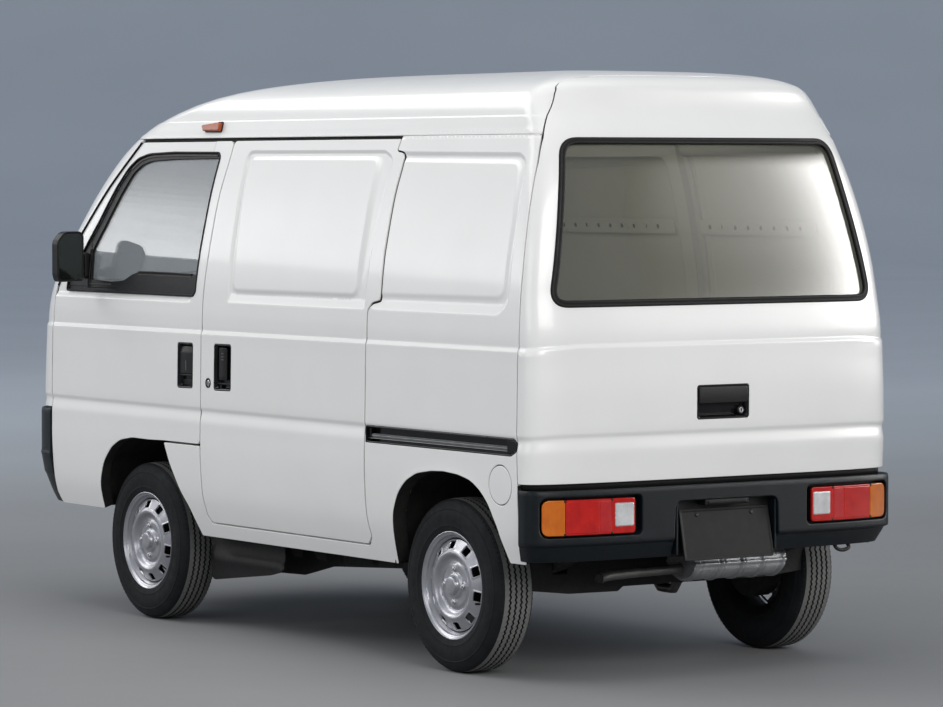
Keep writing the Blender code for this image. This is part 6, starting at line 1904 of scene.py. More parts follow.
    def crown(y):
        return 0.2698 - 0.0030 * (y / 0.049) ** 2
    edges = [-0.0490]
    for g in (-0.0300, -0.0100, 0.0100, 0.0300):
        edges += [g - 0.0034, g - 0.0024, g + 0.0024, g + 0.0034]
    edges.append(0.0490)
    for i, y in enumerate(edges):
        bottom = 0 < i < len(edges) - 1 and (i - 1) % 4 in (1, 2)
        colsy.append(y)
        colsr.append(crown(y) - (0.0070 if bottom else 0.0))
        amp.append(0.0 if i in (0, len(edges) - 1) else 1.0)
    Y = np.array(colsy)[None, :] + zig[:, None] * np.array(amp)[None, :]
    R = np.repeat(np.array(colsr)[None, :], n, 0)
    V = np.stack([R * np.cos(th)[:, None] + c0[0], Y + c0[1], R * np.sin(th)[:, None] + c0[2]], -1)
    V2 = np.roll(V, -1, 0)
    for j in range(len(edges) - 1):
        a1, a2, b2, b1 = V[:, j], V[:, j + 1], V2[:, j + 1], V2[:, j]
        nn2 = np.cross(a2 - a1, b1 - a1)
        nn2 /= np.maximum(np.linalg.norm(nn2, axis=1, keepdims=True), 1e-12)
        mid = (a1 + b2) / 2 - c0
        mid[:, 1] = 0
        groove_wall = j in (1, 3, 5, 7, 9, 11, 13, 15)
        sg = np.sign(np.sum(nn2 * mid, 1, keepdims=True))
        nn2 = nn2 * np.where(sg == 0, 1, sg)
        vv = np.stack([a1, a2, b2, b1], 1).reshape(-1, 3)
        nv = np.repeat(nn2, 4, 0)
        k = np.arange(n) * 4
        f = np.concatenate([np.stack([k, k + 1, k + 2], -1), np.stack([k, k + 2, k + 3], -1)])
        # groove walls and floors take the groove material (painted shade), rib tops the rib material (painted light)
        mtyre.add(vv, nv, f, 2 if groove_wall or (j - 2) % 4 == 0 and 0 < j < len(edges) - 2 else 1)
    # shoulder notches
    for k in range(100):
        a = 2 * math.pi * (k + 0.5) / 100
        for s in (1, -1):
            e = np.array([math.cos(a), 0, math.sin(a)])
            t = np.array([-math.sin(a), 0, math.cos(a)])
            p = c0 + e * 0.2662 + np.array([0, s * 0.0440, 0])
            q = c0 + e * 0.2612 + np.array([0, s * 0.0566, 0])
            w = t * 0.0014
            out = e * 0.0012 + np.array([0, s * 0.0010, 0])
            vv = np.array([p - w, p + w, q + w, q - w, p - w + out, p + w + out, q + w + out * 0.6, q - w + out * 0.6])
            f = [(4, 5, 6), (4, 6, 7), (0, 4, 7), (0, 7, 3), (1, 2, 6), (1, 6, 5), (3, 7, 6), (3, 6, 2)]
            mtyre.add(vv, np.tile(e, (8, 1)), f, 0)


for corner, ax_x in (("front", FAX), ("rear", RAX)):
    mr_, mt_ = Mesh(), Mesh()
    wheel_meshes(ax_x, mr_, mt_)
    for side, mir in (("left", False), ("right", True)):
        a = mr_.build("wheel_rim_%s_%s" % (corner, side), [M_STEEL, M_METAL, M_RUBBER], mirror=mir)
        b_ = mt_.build("tyre_skin_%s_%s" % (corner, side), [M_TYRE, M_TREAD_PAINTED_LIGHT, M_GROOVE_PAINTED_SHADE], mirror=mir)
        body = "wheel_%s_%s" % (corner, side)
        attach(a, body)
        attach(b_, body)
        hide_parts("rim_%s_%s" % (corner, side))
        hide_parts("tyre_%s_%s" % (corner, side))

# =====================================================================================================
# 13. door mirrors
# =====================================================================================================
def door_mirror(m, side):
    # housing: rounded shell facing forward, rim and glass facing back (y is the width, z the height)
    yz = rounded([(0.724, 1.160), (0.822, 1.158), (0.829, 1.185), (0.829, 1.300), (0.800, 1.3335), (0.735, 1.334), (0.724, 1.318)],
                 [0.016, 0.020, 0.03, 0.035, 0.035, 0.016, 0.02], 0.005)
    shell_s = flat_surf((1.1460, 0, 0), (0, 1, 0), (0, 0, 1))
    cy0, cz0 = 0.777, 1.246

    def dome(u, v):
        return -0.018 * (((u - cy0) / 0.055) ** 2) - 0.012 * (((v - cz0) / 0.09) ** 2)
    panel(m, shell_s, yz, h=dome, depth=0.040, r=0.0120, base=0.010, mat=0, inner=False, seg=6)
    back = flat_surf((1.0865, 0, 0), (0, -1, 0), (0, 0, 1))
    bz = yz[::-1] * [-1, 1]
    inn = grow(ccw(bz), -0.0075)
    panel(m, back, bz, [inn], depth=0.040, r=0.0040, base=0.010, mat=0, inner=False, seg=4)
    glass_s = flat_surf((1.0895, 0, 0), (0, -1, 0), (0, 0, 1))
    panel(m, glass_s, grow(inn, 0.0015), depth=0.003, r=0.0008, base=0.03, mat=1, inner=False)
    # arm and foot on the door corner
    tube_line(m, [(1.118, 0.742, 1.200), (1.134, 0.722, 1.198), (1.150, 0.706, 1.196), (1.168, 0.690, 1.195)], 0.014, 16, 0, 0.004)
    block(m, (1.1420, 0.667, 1.168), (1.1930, 0.694, 1.258), 0.010, 0)
    block(m, (1.1200, 0.715, 1.176), (1.1560, 0.738, 1.224), 0.008, 0)


both(door_mirror, "door_mirror", [M_BLACK, M_MIRROR_DARK], ("door_front_left", "door_front_right"), ("mirror_left", "mirror_right"))


def sail(m, side):
    q = rounded([(1.128, 1.140), (1.300, 1.140), (1.285, 1.160), (1.196, 1.268), (1.166, 1.300), (1.152, 1.292), (1.136, 1.250)], [0.004, 0.006, 0.01, 0.05, 0.008, 0.01, 0.02], 0.006)
    panel(m, surf_side, q, depth=0.010, offset=0.0030, r=0.0020, base=0.012, mat=0, inner=False)
    block(m, (1.2650, 0.655, 1.1235), (1.2980, 0.6715, 1.1440), 0.004, 0)


both(sail, "mirror_sail", [M_BLACK], ("door_front_left", "door_front_right"))

# =====================================================================================================
# 14. cabin
# =====================================================================================================
def seat_part(m, lo, hi, puff, seams_x, seams_y, r=0.045, tilt=0.0, pivot=None, n=34, up=(0, 0, 1), mat=0):
    """A stuffed block: rounded box grid pushed out between its seams."""
    lo, hi = np.array(lo, float), np.array(hi, float)
    c, s = (lo + hi) / 2, (hi - lo) / 2
    ct, st = math.cos(tilt), math.sin(tilt)
    pv = np.array(pivot if pivot is not None else c)
    p = 5.0
    us = np.linspace(-1, 1, n)
    us = np.sign(us) * np.abs(us) ** 0.9
    for ax in range(3):
        for sg in (1, -1):
            a, b = (ax + 1) % 3, (ax + 2) % 3
            U, V = np.meshgrid(us, us, indexing="ij")

            def pos(U, V):
                d = np.zeros(U.shape + (3,))
                d[..., ax], d[..., a], d[..., b] = sg, U, V
                k = (np.abs(d) ** p).sum(-1) ** (-1 / p)
                u3 = d * k[..., None]
                q = u3 * s
                # puff along the main direction of the face, pinched at the seams
                for axis, lines in ((0, seams_x), (1, seams_y)):
                    for ln, depth in lines:
                        t = u3[..., axis] - ln
                        q = q * (1 - (depth / np.linalg.norm(s)) * np.exp(-(t / 0.045) ** 2))[..., None]
                q = q * (1 + (puff / np.linalg.norm(s)) * np.cos(np.clip(u3[..., 0], -1, 1) * 1.2)[..., None] * np.cos(np.clip(u3[..., 1], -1, 1) * 1.2)[..., None])
                P = q + c
                dx, dz = P[..., 0] - pv[0], P[..., 2] - pv[2]
                P[..., 0] = pv[0] + dx * ct + dz * st
                P[..., 2] = pv[2] - dx * st + dz * ct
                return P
            e = 1e-3
            P = pos(U, V)
            du, dv_ = pos(U + e, V) - pos(U - e, V), pos(U, V + e) - pos(U, V - e)
            N = np.cross(du, dv_)
            N /= np.maximum(np.linalg.norm(N, axis=-1, keepdims=True), 1e-12)
            out = P - (c if tilt == 0 else P.reshape(-1, 3).mean(0))
            nsum = np.sum(N * (P - (c + 0 * P))) if tilt == 0 else np.sum(N * (P - P.reshape(-1, 3).mean(0) + 0))
            dirn = np.zeros(3)
            dirn[ax] = sg
            dd = dirn.copy()
            dd[0], dd[2] = dirn[0] * ct + dirn[2] * st, -dirn[0] * st + dirn[2] * ct
            if np.sum(N * dd) < 0:
                N = -N
            m.grid(P, N, mat)


def one_seat(yc, name, node):
    m = Mesh()
    sx = [(0.55, 0.010), (-0.45, 0.010)]
    sy = [(0.62, 0.012), (-0.62, 0.012)]
    seat_part(m, (0.405, yc - 0.230, 0.668), (0.875, yc + 0.230, 0.798), 0.006, sx, sy)
    # back: built upright, tilted about its foot
    seat_part(m, (0.355, yc - 0.212, 0.735), (0.447, yc + 0.212, 1.235), 0.005, [], sy, tilt=-0.175, pivot=(0.405, yc, 0.735))
    seat_part(m, (0.243, yc - 0.118, 1.228), (0.302, yc + 0.118, 1.372), 0.004, [], [], tilt=-0.10, pivot=(0.27, yc, 1.25), n=22)
    for s in (1, -1):
        tube_line(m, [(0.300, yc + 0.05 * s, 1.180), (0.288, yc + 0.05 * s, 1.220), (0.276, yc + 0.05 * s, 1.262)], 0.0055, 10, 1, 0.01)
    # base frame and side hinge covers
    block(m, (0.42, yc - 0.205, 0.6575), (0.86, yc + 0.205, 0.676), 0.005, 2)
    for s in (1, -1):
        block(m, (0.385, yc + s * 0.2235 - 0.010, 0.700), (0.475, yc + s * 0.2235 + 0.010, 0.800), 0.009, 2)
    ob = m.build(name, [M_CLOTH, M_METAL, M_VINYL])
    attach(ob, "root")
    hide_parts(node)
    return ob


one_seat(-0.325, "driver_seat", "seat_right")
one_seat(0.325, "passenger_seat", "seat_left")


def dash(m):
    # main moulding as a swept section across the cab
    sec = rounded([(1.400, 0.785), (1.252, 0.785), (1.196, 0.900), (1.194, 0.995), (1.232, 1.066), (1.400, 1.088)],
                  [0.01, 0.03, 0.03, 0.03, 0.035, 0.01], 0.012)
    y = np.linspace(-0.560, 0.560, 60)
    c = ccw(sec)
    nn, _ = loop_normals(c)
    edge = np.minimum(1, (0.560 - np.abs(y)) / 0.02)
    V = np.zeros((len(y), len(c), 3))
    N = np.zeros_like(V)
    mid = c.mean(0)
    for i, yy in enumerate(y):
        k = 1 - 0.05 * (1 - edge[i]) ** 2
        V[i, :, 0] = mid[0] + (c[:, 0] - mid[0]) * k
        V[i, :, 2] = mid[1] + (c[:, 1] - mid[1]) * k
        V[i, :, 1] = yy
        N[i, :, 0], N[i, :, 2] = nn[:, 0], nn[:, 1]
    m.grid(V, N, 0, wrap_v=True)
    for i, s in ((0, -1), (-1, 1)):
        vv = np.vstack([V[i], V[i].mean(0)])
        k = np.arange(len(c))
        m.add(vv, np.tile([0, s, 0], (len(c) + 1, 1)), np.stack([k, (k + 1) % len(c), np.full(len(c), len(c))], -1), 0)
    # instrument hood, cluster, vents, radio, heater slides, glove box
    seat_part(m, (1.150, -0.475, 1.030), (1.300, -0.175, 1.094), 0.0, [], [], n=20, mat=0)
    block(m, (1.1580, -0.450, 0.985), (1.1900, -0.200, 1.060), 0.008, 1)
    for yy, rr in ((-0.385, 0.034), (-0.280, 0.034), (-0.225, 0.018)):
        lathe(m, [(0.0, 0.0010), (rr - 0.003, 0.0010), (rr, 0.0035), (rr + 0.002, 0.0)], 32, (1.1570, yy, 1.022), (-1, 0, 0.12), 2)
        block(m, (1.1540, yy - 0.0008, 1.018), (1.1556, yy + 0.0008, 1.018 + rr * 0.8), 0.0004, 3)
    for yy in (-0.510, -0.100, 0.060, 0.500):
        block(m, (1.1890, yy - 0.045, 0.985), (1.2100, yy + 0.045, 1.030), 0.006, 1)
        for k in range(4):
            block(m, (1.1865, yy - 0.040, 0.991 + 0.0095 * k), (1.1990, yy + 0.040, 0.9935 + 0.0095 * k), 0.001, 0)
    block(m, (1.1850, -0.110, 0.915), (1.2050, 0.080, 0.965), 0.005, 1)
    for k in range(5):
        block(m, (1.1820, -0.085 + 0.034 * k, 0.927), (1.1900, -0.063 + 0.034 * k, 0.938), 0.002, 4)
    for yy in (-0.098, 0.068):
        lathe(m, [(0.0, 0.012), (0.007, 0.012), (0.009, 0.009), (0.009, -0.004)], 20, (1.1860, yy, 0.952), (-1, 0, 0), 4)
    block(m, (1.1880, -0.080, 0.868), (1.2150, 0.060, 0.900), 0.004, 1)
    for k in range(3):
        block(m, (1.1800, -0.060 + 0.040 * k, 0.878), (1.1920, -0.052 + 0.040 * k, 0.890), 0.002, 4)
    block(m, (1.1870, 0.150, 0.890), (1.2100, 0.530, 0.975), 0.010, 0)
    block(m, (1.1830, 0.310, 0.955), (1.1900, 0.370, 0.966), 0.003, 1)
    # steering column shroud
    cd_ = np.array([-0.607, 0.0, 0.794])
    cd_ /= np.linalg.norm(cd_)
    wc = np.array([1.035, -0.325, 1.020])
    pts = [wc - cd_ * t for t in (0.055, 0.10, 0.16, 0.24, 0.33, 0.39)]
    L = len(smooth_line(pts, 0.01))
    tube_line(m, pts, np.interp(np.linspace(0, 1, L), [0, 0.1, 0.45, 0.5, 1], [0.034, 0.038, 0.036, 0.022, 0.020]), 20, 1)
    for s in (1, -1):
        q = wc - cd_ * 0.085
        tube_line(m, [q + np.array([0, 0.03 * s, 0]), q + np.array([0.005, 0.09 * s, 0.004]), q + np.array([0.002, 0.150 * s, 0.012])], 0.006, 10, 1)


single(dash, "dashboard_moulding", [M_DASH, M_BLACK, M_GLOSSB, M_WHITE, M_VINYL], "root", ("dashboard",))


def hand_wheel(m):
    ax = np.array([-0.607, 0.0, 0.794])
    ax /= np.linalg.norm(ax)
    e1 = np.array([0, 1.0, 0])
    e2 = np.cross(ax, e1)
    wc = np.array([1.035, -0.325, 1.020])
    n, k = 96, 16
    u = np.arange(n) * 2 * math.pi / n
    v = np.arange(k) * 2 * math.pi / k
    rad = np.cos(u)[:, None] * e1 + np.sin(u)[:, None] * e2
    grip = 0.0118 + 0.0006 * np.cos(u * 24) ** 2
    D = np.cos(v)[None, :, None] * rad[:, None, :] + np.sin(v)[None, :, None] * ax
    V = wc + rad[:, None, :] * 0.178 + D * grip[:, None, None]
    m.grid(V, D, 0, wrap_u=True, wrap_v=True)
    for a in (0.0, math.pi, -math.pi / 2):
        r_ = np.array([math.cos(a), math.sin(a)])
        d = r_[0] * e1 + r_[1] * e2
        pts = [wc + d * 0.020 - ax * 0.012, wc + d * 0.07 - ax * 0.010, wc + d * 0.13 - ax * 0.005, wc + d * 0.170]
        tube_line(m, pts, 0.0095, 12, 0)
    lathe(m, [(0.0, 0.003), (0.018, 0.002), (0.034, -0.001), (0.041, -0.006), (0.043, -0.014), (0.040, -0.036), (0.0, -0.037)], 40, wc, ax, 0)
    lathe(m, [(0.0, 0.0045), (0.010, 0.0040), (0.016, 0.0022), (0.018, 0.0)], 32, wc, ax, 1)


single(hand_wheel, "steering_wheel_rim", [M_BLACK, M_GLOSSB], "hand_wheel", ("steering_wheel",))

# ---- door cards
CARD = rounded([(1.345, 0.690), (1.345, 1.000), (1.285, 1.085), (0.420, 1.095), (0.380, 1.060), (0.380, 0.690), (0.560, 0.660), (1.000, 0.660)],
               [0.03, 0.05, 0.03, 0.03, 0.03, 0.04, 0.05, 0.05], 0.02)


def inner_surf(off):
    def f(u, v):
        P = surf_side(u, v)
        P[:, 1] = P[:, 1] - off
        return P
    f.dirn = np.array([0, -1.0, 0])
    return f


def door_card(m, side):
    s = inner_surf(0.0440)
    p1 = rounded([(1.28, 0.72), (1.28, 0.90), (0.44, 0.93), (0.44, 0.72)], 0.05, 0.02)

    def hh(u, v):
        d = sdf(np.stack([u, v], 1), p1)
        return 0.004 * sstep((d + 0.004) / 0.010) - 0.0015 * (np.abs(d - 0.02) < 0.002)
    panel(m, s, CARD, h=hh, depth=0.0055, r=0.0025, base=0.025, mat=0, extra=[band(p1, [-0.008, -0.004, 0.0, 0.004, 0.008], 0.02)], inner=False)
    y0 = float(side_y(np.array([0.8]), np.array([0.88]))[0]) - 0.044
    block(m, (0.560, y0 - 0.050, 0.862), (0.900, y0 + 0.002, 0.900), 0.014, 1)
    block(m, (0.950, y0 - 0.014, 0.935), (1.060, y0 + 0.002, 0.975), 0.008, 1)
    block(m, (0.985, y0 - 0.020, 0.948), (1.040, y0 - 0.008, 0.962), 0.004, 2)
    lathe(m, [(0.0, 0.018), (0.012, 0.018), (0.016, 0.012), (0.017, 0.0)], 24, (0.72, y0, 0.80), (0, -1, 0), 1)
    tube_line(m, [(0.72, y0 - 0.020, 0.80), (0.690, y0 - 0.030, 0.825), (0.660, y0 - 0.034, 0.850)], 0.006, 10, 2)
    lathe(m, [(0.0, 0.052), (0.009, 0.050), (0.010, 0.040), (0.008, 0.032)], 16, (0.658, y0, 0.852), (0, -1, 0), 1)


both(door_card, "door_card", [M_VINYL, M_BLACK, M_METAL], ("door_front_left", "door_front_right"))


# ---- load space: inner pressings, perforated tie rails, pillars, wheel boxes, floor and its ribs
def load_side(m, side):
    s = inner_surf(0.0430)
    # sliding door inner frame with a large sunk panel
    lp = rounded([(0.285, 0.660), (0.285, 1.100), (0.262, 1.585), (-0.595, 1.585), (-0.628, 1.120), (-0.628, 0.660)], 0.03, 0.02)
    sunk = rounded([(0.215, 0.700), (0.205, 1.130), (0.190, 1.545), (-0.405, 1.560), (-0.470, 1.530), (-0.545, 1.300), (-0.570, 1.130), (-0.570, 0.700)],
                   [0.03, 0.1, 0.05, 0.05, 0.05, 0.3, 0.1, 0.03], 0.015)

    def hh(u, v):
        d = sdf(np.stack([u, v], 1), sunk)
        return -0.010 * sstep((d + 0.006) / 0.014)
    panel(m, s, lp, h=hh, depth=0.003, r=0.001, base=0.03, mat=0, extra=[band(sunk, [-0.010, -0.006, -0.002, 0.002, 0.006, 0.010], 0.02)], inner=False)
    # tie rails with two rows of holes
    for x0, x1, off in ((0.085, -0.585, 0.006), (-0.690, -1.345, 0.0145)):
        holes = []
        nx = int((x0 - x1 - 0.03) / 0.068)
        for k in range(nx):
            holes.append(circle2((x0 - 0.030 - 0.068 * k, 1.3580), 0.0080, 14))
        s2 = inner_surf(0.0430 + off)
        panel(m, s2, rect(x1, 1.334, x0, 1.382, 0.004), holes, depth=0.0018, r=0.0006, base=0.03, mat=0, inner=False, seg=2)
        # black strip behind the row of holes: painted shade, so that the holes read as dark dots
        panel(m, inner_surf(0.0430 + off - 0.0042), rect(x1 + 0.008, 1.3470, x0 - 0.008, 1.3690, 0.003), depth=0.0010, r=0.0004, base=0.03, mat=1, inner=False, seg=2)
        for xx in np.linspace(x1 + 0.01, x0 - 0.01, 5):
            yb = float(side_y(np.array([xx]), np.array([1.358]))[0]) - 0.043
            block(m, (xx - 0.007, yb - off + 0.002, 1.340), (xx + 0.007, yb + 0.004, 1.376), 0.002, 0)
    # C pillar and rear pillar, box sections
    for x0, x1 in ((-0.640, -0.742), (-1.395, -1.470)):
        s3 = inner_surf(0.0600)
        q = rounded([(x0, 0.655), (x0, 1.600), (x1, 1.600), (x1, 0.655)], 0.01, 0.02)
        panel(m, s3, q, depth=0.016, r=0.010, base=0.03, mat=0, inner=False, seg=4)
    # quarter inner panel
    q = rounded([(-0.745, 0.660), (-0.745, 1.600), (-1.440, 1.600), (-1.470, 1.200), (-1.475, 0.660)], 0.01, 0.02)
    sq = rounded([(-0.780, 0.740), (-0.780, 1.560), (-1.370, 1.560), (-1.380, 0.740)], 0.05, 0.02)

    def h2(u, v):
        d = sdf(np.stack([u, v], 1), sq)
        return -0.008 * sstep((d + 0.006) / 0.014)
    panel(m, inner_surf(0.0530), q, h=h2, depth=0.003, r=0.001, base=0.03, mat=0, extra=[band(sq, [-0.008, -0.003, 0.003, 0.008], 0.02)], inner=False)
    # roof side rail
    s4 = resample(np.array([(0.90, 1.618), (-1.430, 1.618)]), 0.05)
    sweep(m, inner_surf(0.056), s4, [(-0.024, -0.012), (-0.024, 0.006), (-0.016, 0.014), (0.016, 0.014), (0.024, 0.006), (0.024, -0.012)], mat=0)


both(load_side, "load_side_inner", [M_INNER, M_BLACK])


def load_floor(m):
    # corrugated load floor and mats over the pressing
    xs = np.linspace(1.100, -1.535, 260)
    ys = np.linspace(-0.560, 0.560, 2)
    f = flat_surf((0, 0, 0.6580), (1, 0, 0), (0, 1, 0))
    lp = rounded([(1.095, -0.572), (1.095, 0.572), (-1.535, 0.572), (-1.535, -0.572)][::-1], 0.01, 0.04)
    panel(m, f, lp, depth=0.0012, r=0.0005, base=0.03, mat=0, inner=False)
    for k in range(9):
        y = -0.48 + 0.12 * k
        block(m, (-1.500, y - 0.012, 0.6570), (0.180, y + 0.012, 0.6615), 0.002, 0)
    # footwell mat
    block(m, (1.115, -0.560, 0.4470), (1.345, 0.560, 0.4530), 0.003, 1)
    # wheel boxes of the front wheels, trimmed
    for s in (1, -1):
        block(m, (0.560, min(s * 0.566, s * 0.572), 0.6600), (1.100, max(s * 0.566, s * 0.572), 0.7000), 0.003, 1)


single(load_floor, "load_floor_skin", [M_INNER, M_MAT])


def headliner(m):
    # roof bows seen from the load space
    for x in (0.25, -0.25, -0.75, -1.20):
        pts = []
        for t in np.linspace(-1, 1, 25):
            b = np.interp(x, [-1.3, 0.9], [0, 0])
            yy = 0.50 * t
            zz = 1.800 - 0.010 - 0.060 * abs(t) ** 4 - 0.012 * (x > 0) - (0.018 if x < -1.1 else 0.0)
            pts.append((x, yy, zz))
        tube_line(m, pts, 0.012, 10, 0, 0.02)


single(headliner, "roof_bows", [M_INNER])

# =====================================================================================================
# 15. underside
# =====================================================================================================
def muffler(m):
    cx, cz = -1.455, 0.337
    n = 72
    t = np.arange(n) * 2 * math.pi / n
    y = np.linspace(0.028, -0.328, 240)
    V, N = [], []
    for yy in y:
        k = 1.0
        # pressed bands round the can, and a waist bead
        g = 0.0
        for c in (0.014, -0.075, -0.155, -0.235, -0.314):
            q = abs(yy - c)
            g += 0.0046 * math.exp(-(q / 0.0036) ** 2) - 0.0030 * math.exp(-((q - 0.0085) / 0.0034) ** 2)
        for c in (0.000, -0.300):
            g -= 0.0030 * math.exp(-((yy - c) / 0.0030) ** 2)
        e = min(1.0, max(0.0, (0.030 - yy) / 0.010)) * min(1.0, max(0.0, (yy + 0.330) / 0.010))
        a, b = 0.078 + g - 0.006 * (1 - e), 0.058 + g - 0.006 * (1 - e)
        lb = 0.0042 * np.exp(-((np.sin(t) * b + 0.004) / 0.0036) ** 2) - 0.0028 * np.exp(-((np.abs(np.sin(t) * b + 0.004) - 0.0095) / 0.0034) ** 2)
        V.append(np.stack([cx + (a + lb) * np.cos(t), np.full(n, yy), cz + b * np.sin(t)], -1))
    V = np.array(V)
    du = np.gradient(V, axis=0)
    dv_ = np.roll(V, -1, 1) - np.roll(V, 1, 1)
    N = np.cross(du, dv_)
    N /= np.maximum(np.linalg.norm(N, axis=-1, keepdims=True), 1e-12)
    c = np.array([cx, 0, cz])
    if np.sum(N * (V - c) * [1, 0, 1]) < 0:
        N = -N
    m.grid(V, N, 0, wrap_v=True)
    for i, s in ((0, 1), (-1, -1)):
        vv = np.vstack([V[i], V[i].mean(0) + np.array([0, s * 0.003, 0])])
        k = np.arange(n)
        m.add(vv, np.tile([0, s, 0], (n + 1, 1)), np.stack([k, (k + 1) % n, np.full(n, n)], -1), 0)
    # tail pipe, hollow at the end, and the front pipe
    tail = [(cx, 0.02, 0.318), (cx - 0.005, 0.12, 0.316), (cx - 0.01, 0.24, 0.314), (cx - 0.02, 0.33, 0.311), (cx - 0.038, 0.368, 0.307)]
    tube_line(m, tail, 0.0160, 20, 1, 0.01, caps=False)
    tube_line(m, tail[::-1], 0.0140, 20, 2, 0.01, caps=True)
    front = [(cx + 0.05, -0.20, 0.320), (-1.30, -0.20, 0.318), (-1.20, -0.19, 0.312), (-1.14, -0.18, 0.216), (-1.07, -0.18, 0.216), (-1.00, -0.18, 0.290),
             (-0.90, -0.18, 0.300), (-0.803, -0.18, 0.300)]
    q = resample(np.array(front), 0.02)
    tube_line(m, q, 0.0155, 16, 1, smooth=False)
    for yy in (-0.02, -0.27):
        block(m, (cx - 0.012, yy - 0.012, 0.395), (cx + 0.012, yy + 0.012, 0.412), 0.003, 2)


M_PIPE = finish_mat("pipe_dark", (0.100, 0.098, 0.095), (0.150, 0.146, 0.140), (0.30, 0.42), metal=0.7, scale=25.0, bump=0.2, bump_scale=300.0)
single(muffler, "exhaust_system", [M_EXH, M_PIPE, M_BLACK], "root", ("exhaust",))


def underside(m):
    # dark under-tray between the rails, valance behind the bumper, sill stiffeners, tow hook
    f = flat_surf((0, 0, 0.4380), (0, 1, 0), (1, 0, 0))
    lp = rounded([(-0.560, -0.790), (0.560, -0.790), (0.560, 0.340), (-0.560, 0.340)], 0.02, 0.05)
    panel(m, f, lp, depth=0.003, r=0.001, base=0.05, mat=0, inner=True, h=lambda u, v: 0.006 * (np.sin(v * 30.0) > 0.3))
    for s in (1, -1):
        block(m, (-0.640, min(s * 0.600, s * 0.632), 0.3300), (0.360, max(s * 0.600, s * 0.632), 0.3500), 0.004, 0)
        block(m, (-0.640, min(s * 0.585, s * 0.592), 0.3300), (0.360, max(s * 0.585, s * 0.592), 0.4300), 0.003, 0)
    block(m, (-1.5400, -0.560, 0.4250), (-1.5340, 0.560, 0.6300), 0.002, 0)
    tube_line(m, [(-1.585, -0.470, 0.385), (-1.600, -0.470, 0.366), (-1.600, -0.495, 0.358), (-1.600, -0.520, 0.366), (-1.585, -0.520, 0.385)], 0.006, 10, 0, 0.006)
    block(m, (-1.590, -0.530, 0.378), (-1.550, -0.460, 0.392), 0.004, 0)
    # splash guards beside the frame and ahead of the silencer: black plates whose outlines follow the dark area under
    # the van, partly guards and partly painted shade for the shadow under the van
    for s in (1, -1):
        shade_plate_outline = rounded([(0.400, 0.430), (0.400, 0.205), (0.300, 0.190), (0.060, 0.198), (-0.120, 0.240), (-0.620, 0.272), (-0.620, 0.430)], [0.01, 0.03, 0.03, 0.02, 0.03, 0.02, 0.01], 0.03)
        plate_piece(m, (0, 0.455 * s, 0), (-s, 0, 0), (0, 0, 1), shade_plate_outline * [-s, 1], 0.003, r=0.001, base=0.03, h=lambda u, v: 0.004 * (np.sin(u * 40.0) > 0.5) * (v > 0.28), mat=2)
        # black plate on the sill line, traced to a dark shape under the van: painted shade for the shadow there
        shade_flap_outline = rounded([(0.452, 0.345), (0.452, 0.172), (0.430, 0.160), (0.066, 0.203), (-0.020, 0.222), (-0.040, 0.345)], [0.005, 0.02, 0.03, 0.02, 0.03, 0.01], 0.02)
        plate_piece(m, (0, 0.588 * s, 0), (-s, 0, 0), (0, 0, 1), shade_flap_outline * [-s, 1], 0.004, r=0.0015, base=0.03, h=lambda u, v: 0.003 * np.sin(v * 260.0) * (v < 0.30) * (v > 0.22), mat=2)
    # the plate ahead of the silencer has its lower edge traced to the dark area behind the rear wheels: painted shade
    # for the shadow of the axle and tyres
    shade_plate_outline = rounded([(-0.560, 0.430), (-0.560, 0.278), (-0.385, 0.262), (-0.240, 0.262), (-0.235, 0.350), (-0.165, 0.350), (-0.160, 0.262),
                  (0.180, 0.262), (0.200, 0.248), (0.385, 0.250), (0.560, 0.270), (0.560, 0.430)], 0.006, 0.02)
    slots = [rect(0.392, 0.312, 0.448, 0.366, 0.004), rect(-0.448, 0.312, -0.392, 0.366, 0.004)]
    plate_piece(m, (-1.3600, 0, 0), (0, -1, 0), (0, 0, 1), shade_plate_outline * [-1, 1], 0.003, r=0.001, base=0.03, holes=slots, mat=2)
    # fuel and brake lines
    for y, z in ((0.245, 0.338), (0.232, 0.342), (-0.244, 0.338)):
        tube_line(m, [(1.20, y, z), (0.60, y, z), (-0.10, y, z), (-0.78, y, z)], 0.004, 8, 1, 0.06)


single(underside, "underside_details", [M_IRON, M_PIPE, M_RUBBER])


def coil_springs(m, side):
    # front strut spring: turns about the strut line
    a, b = np.array([FAX, 0.44, 0.62]), np.array([FAX, 0.55, 0.17])
    d = (a - b) / np.linalg.norm(a - b)
    e1 = np.array([1.0, 0, 0])
    e2 = np.cross(d, e1)
    p0 = b + d * 0.335
    pts = []
    turns, h, r_ = 4.0, 0.085, 0.0340
    for k in range(int(turns * 20) + 1):
        t = k / (turns * 20)
        an = t * turns * 2 * math.pi
        pts.append(p0 + d * (h * t) + (e1 * math.cos(an) + e2 * math.sin(an)) * r_)
    tube_line(m, np.array(pts), 0.0045, 8, 0, smooth=False)


both(coil_springs, "front_spring", [M_IRON], ("steer_left", "steer_right"))

# finishes of the CAD pieces that stay
KEEP = {"floor_pan": M_IRON, "chassis_frame": M_IRON, "engine_block": M_IRON, "fuel_tank": M_IRON, "front_suspension": M_IRON,
        "knuckle_left": M_IRON, "knuckle_right": M_IRON, "rear_axle": M_IRON}
for nm, mt in KEEP.items():
    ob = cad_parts.get(nm)
    if ob is not None:
        ob.data.materials.clear()
        ob.data.materials.append(mt)

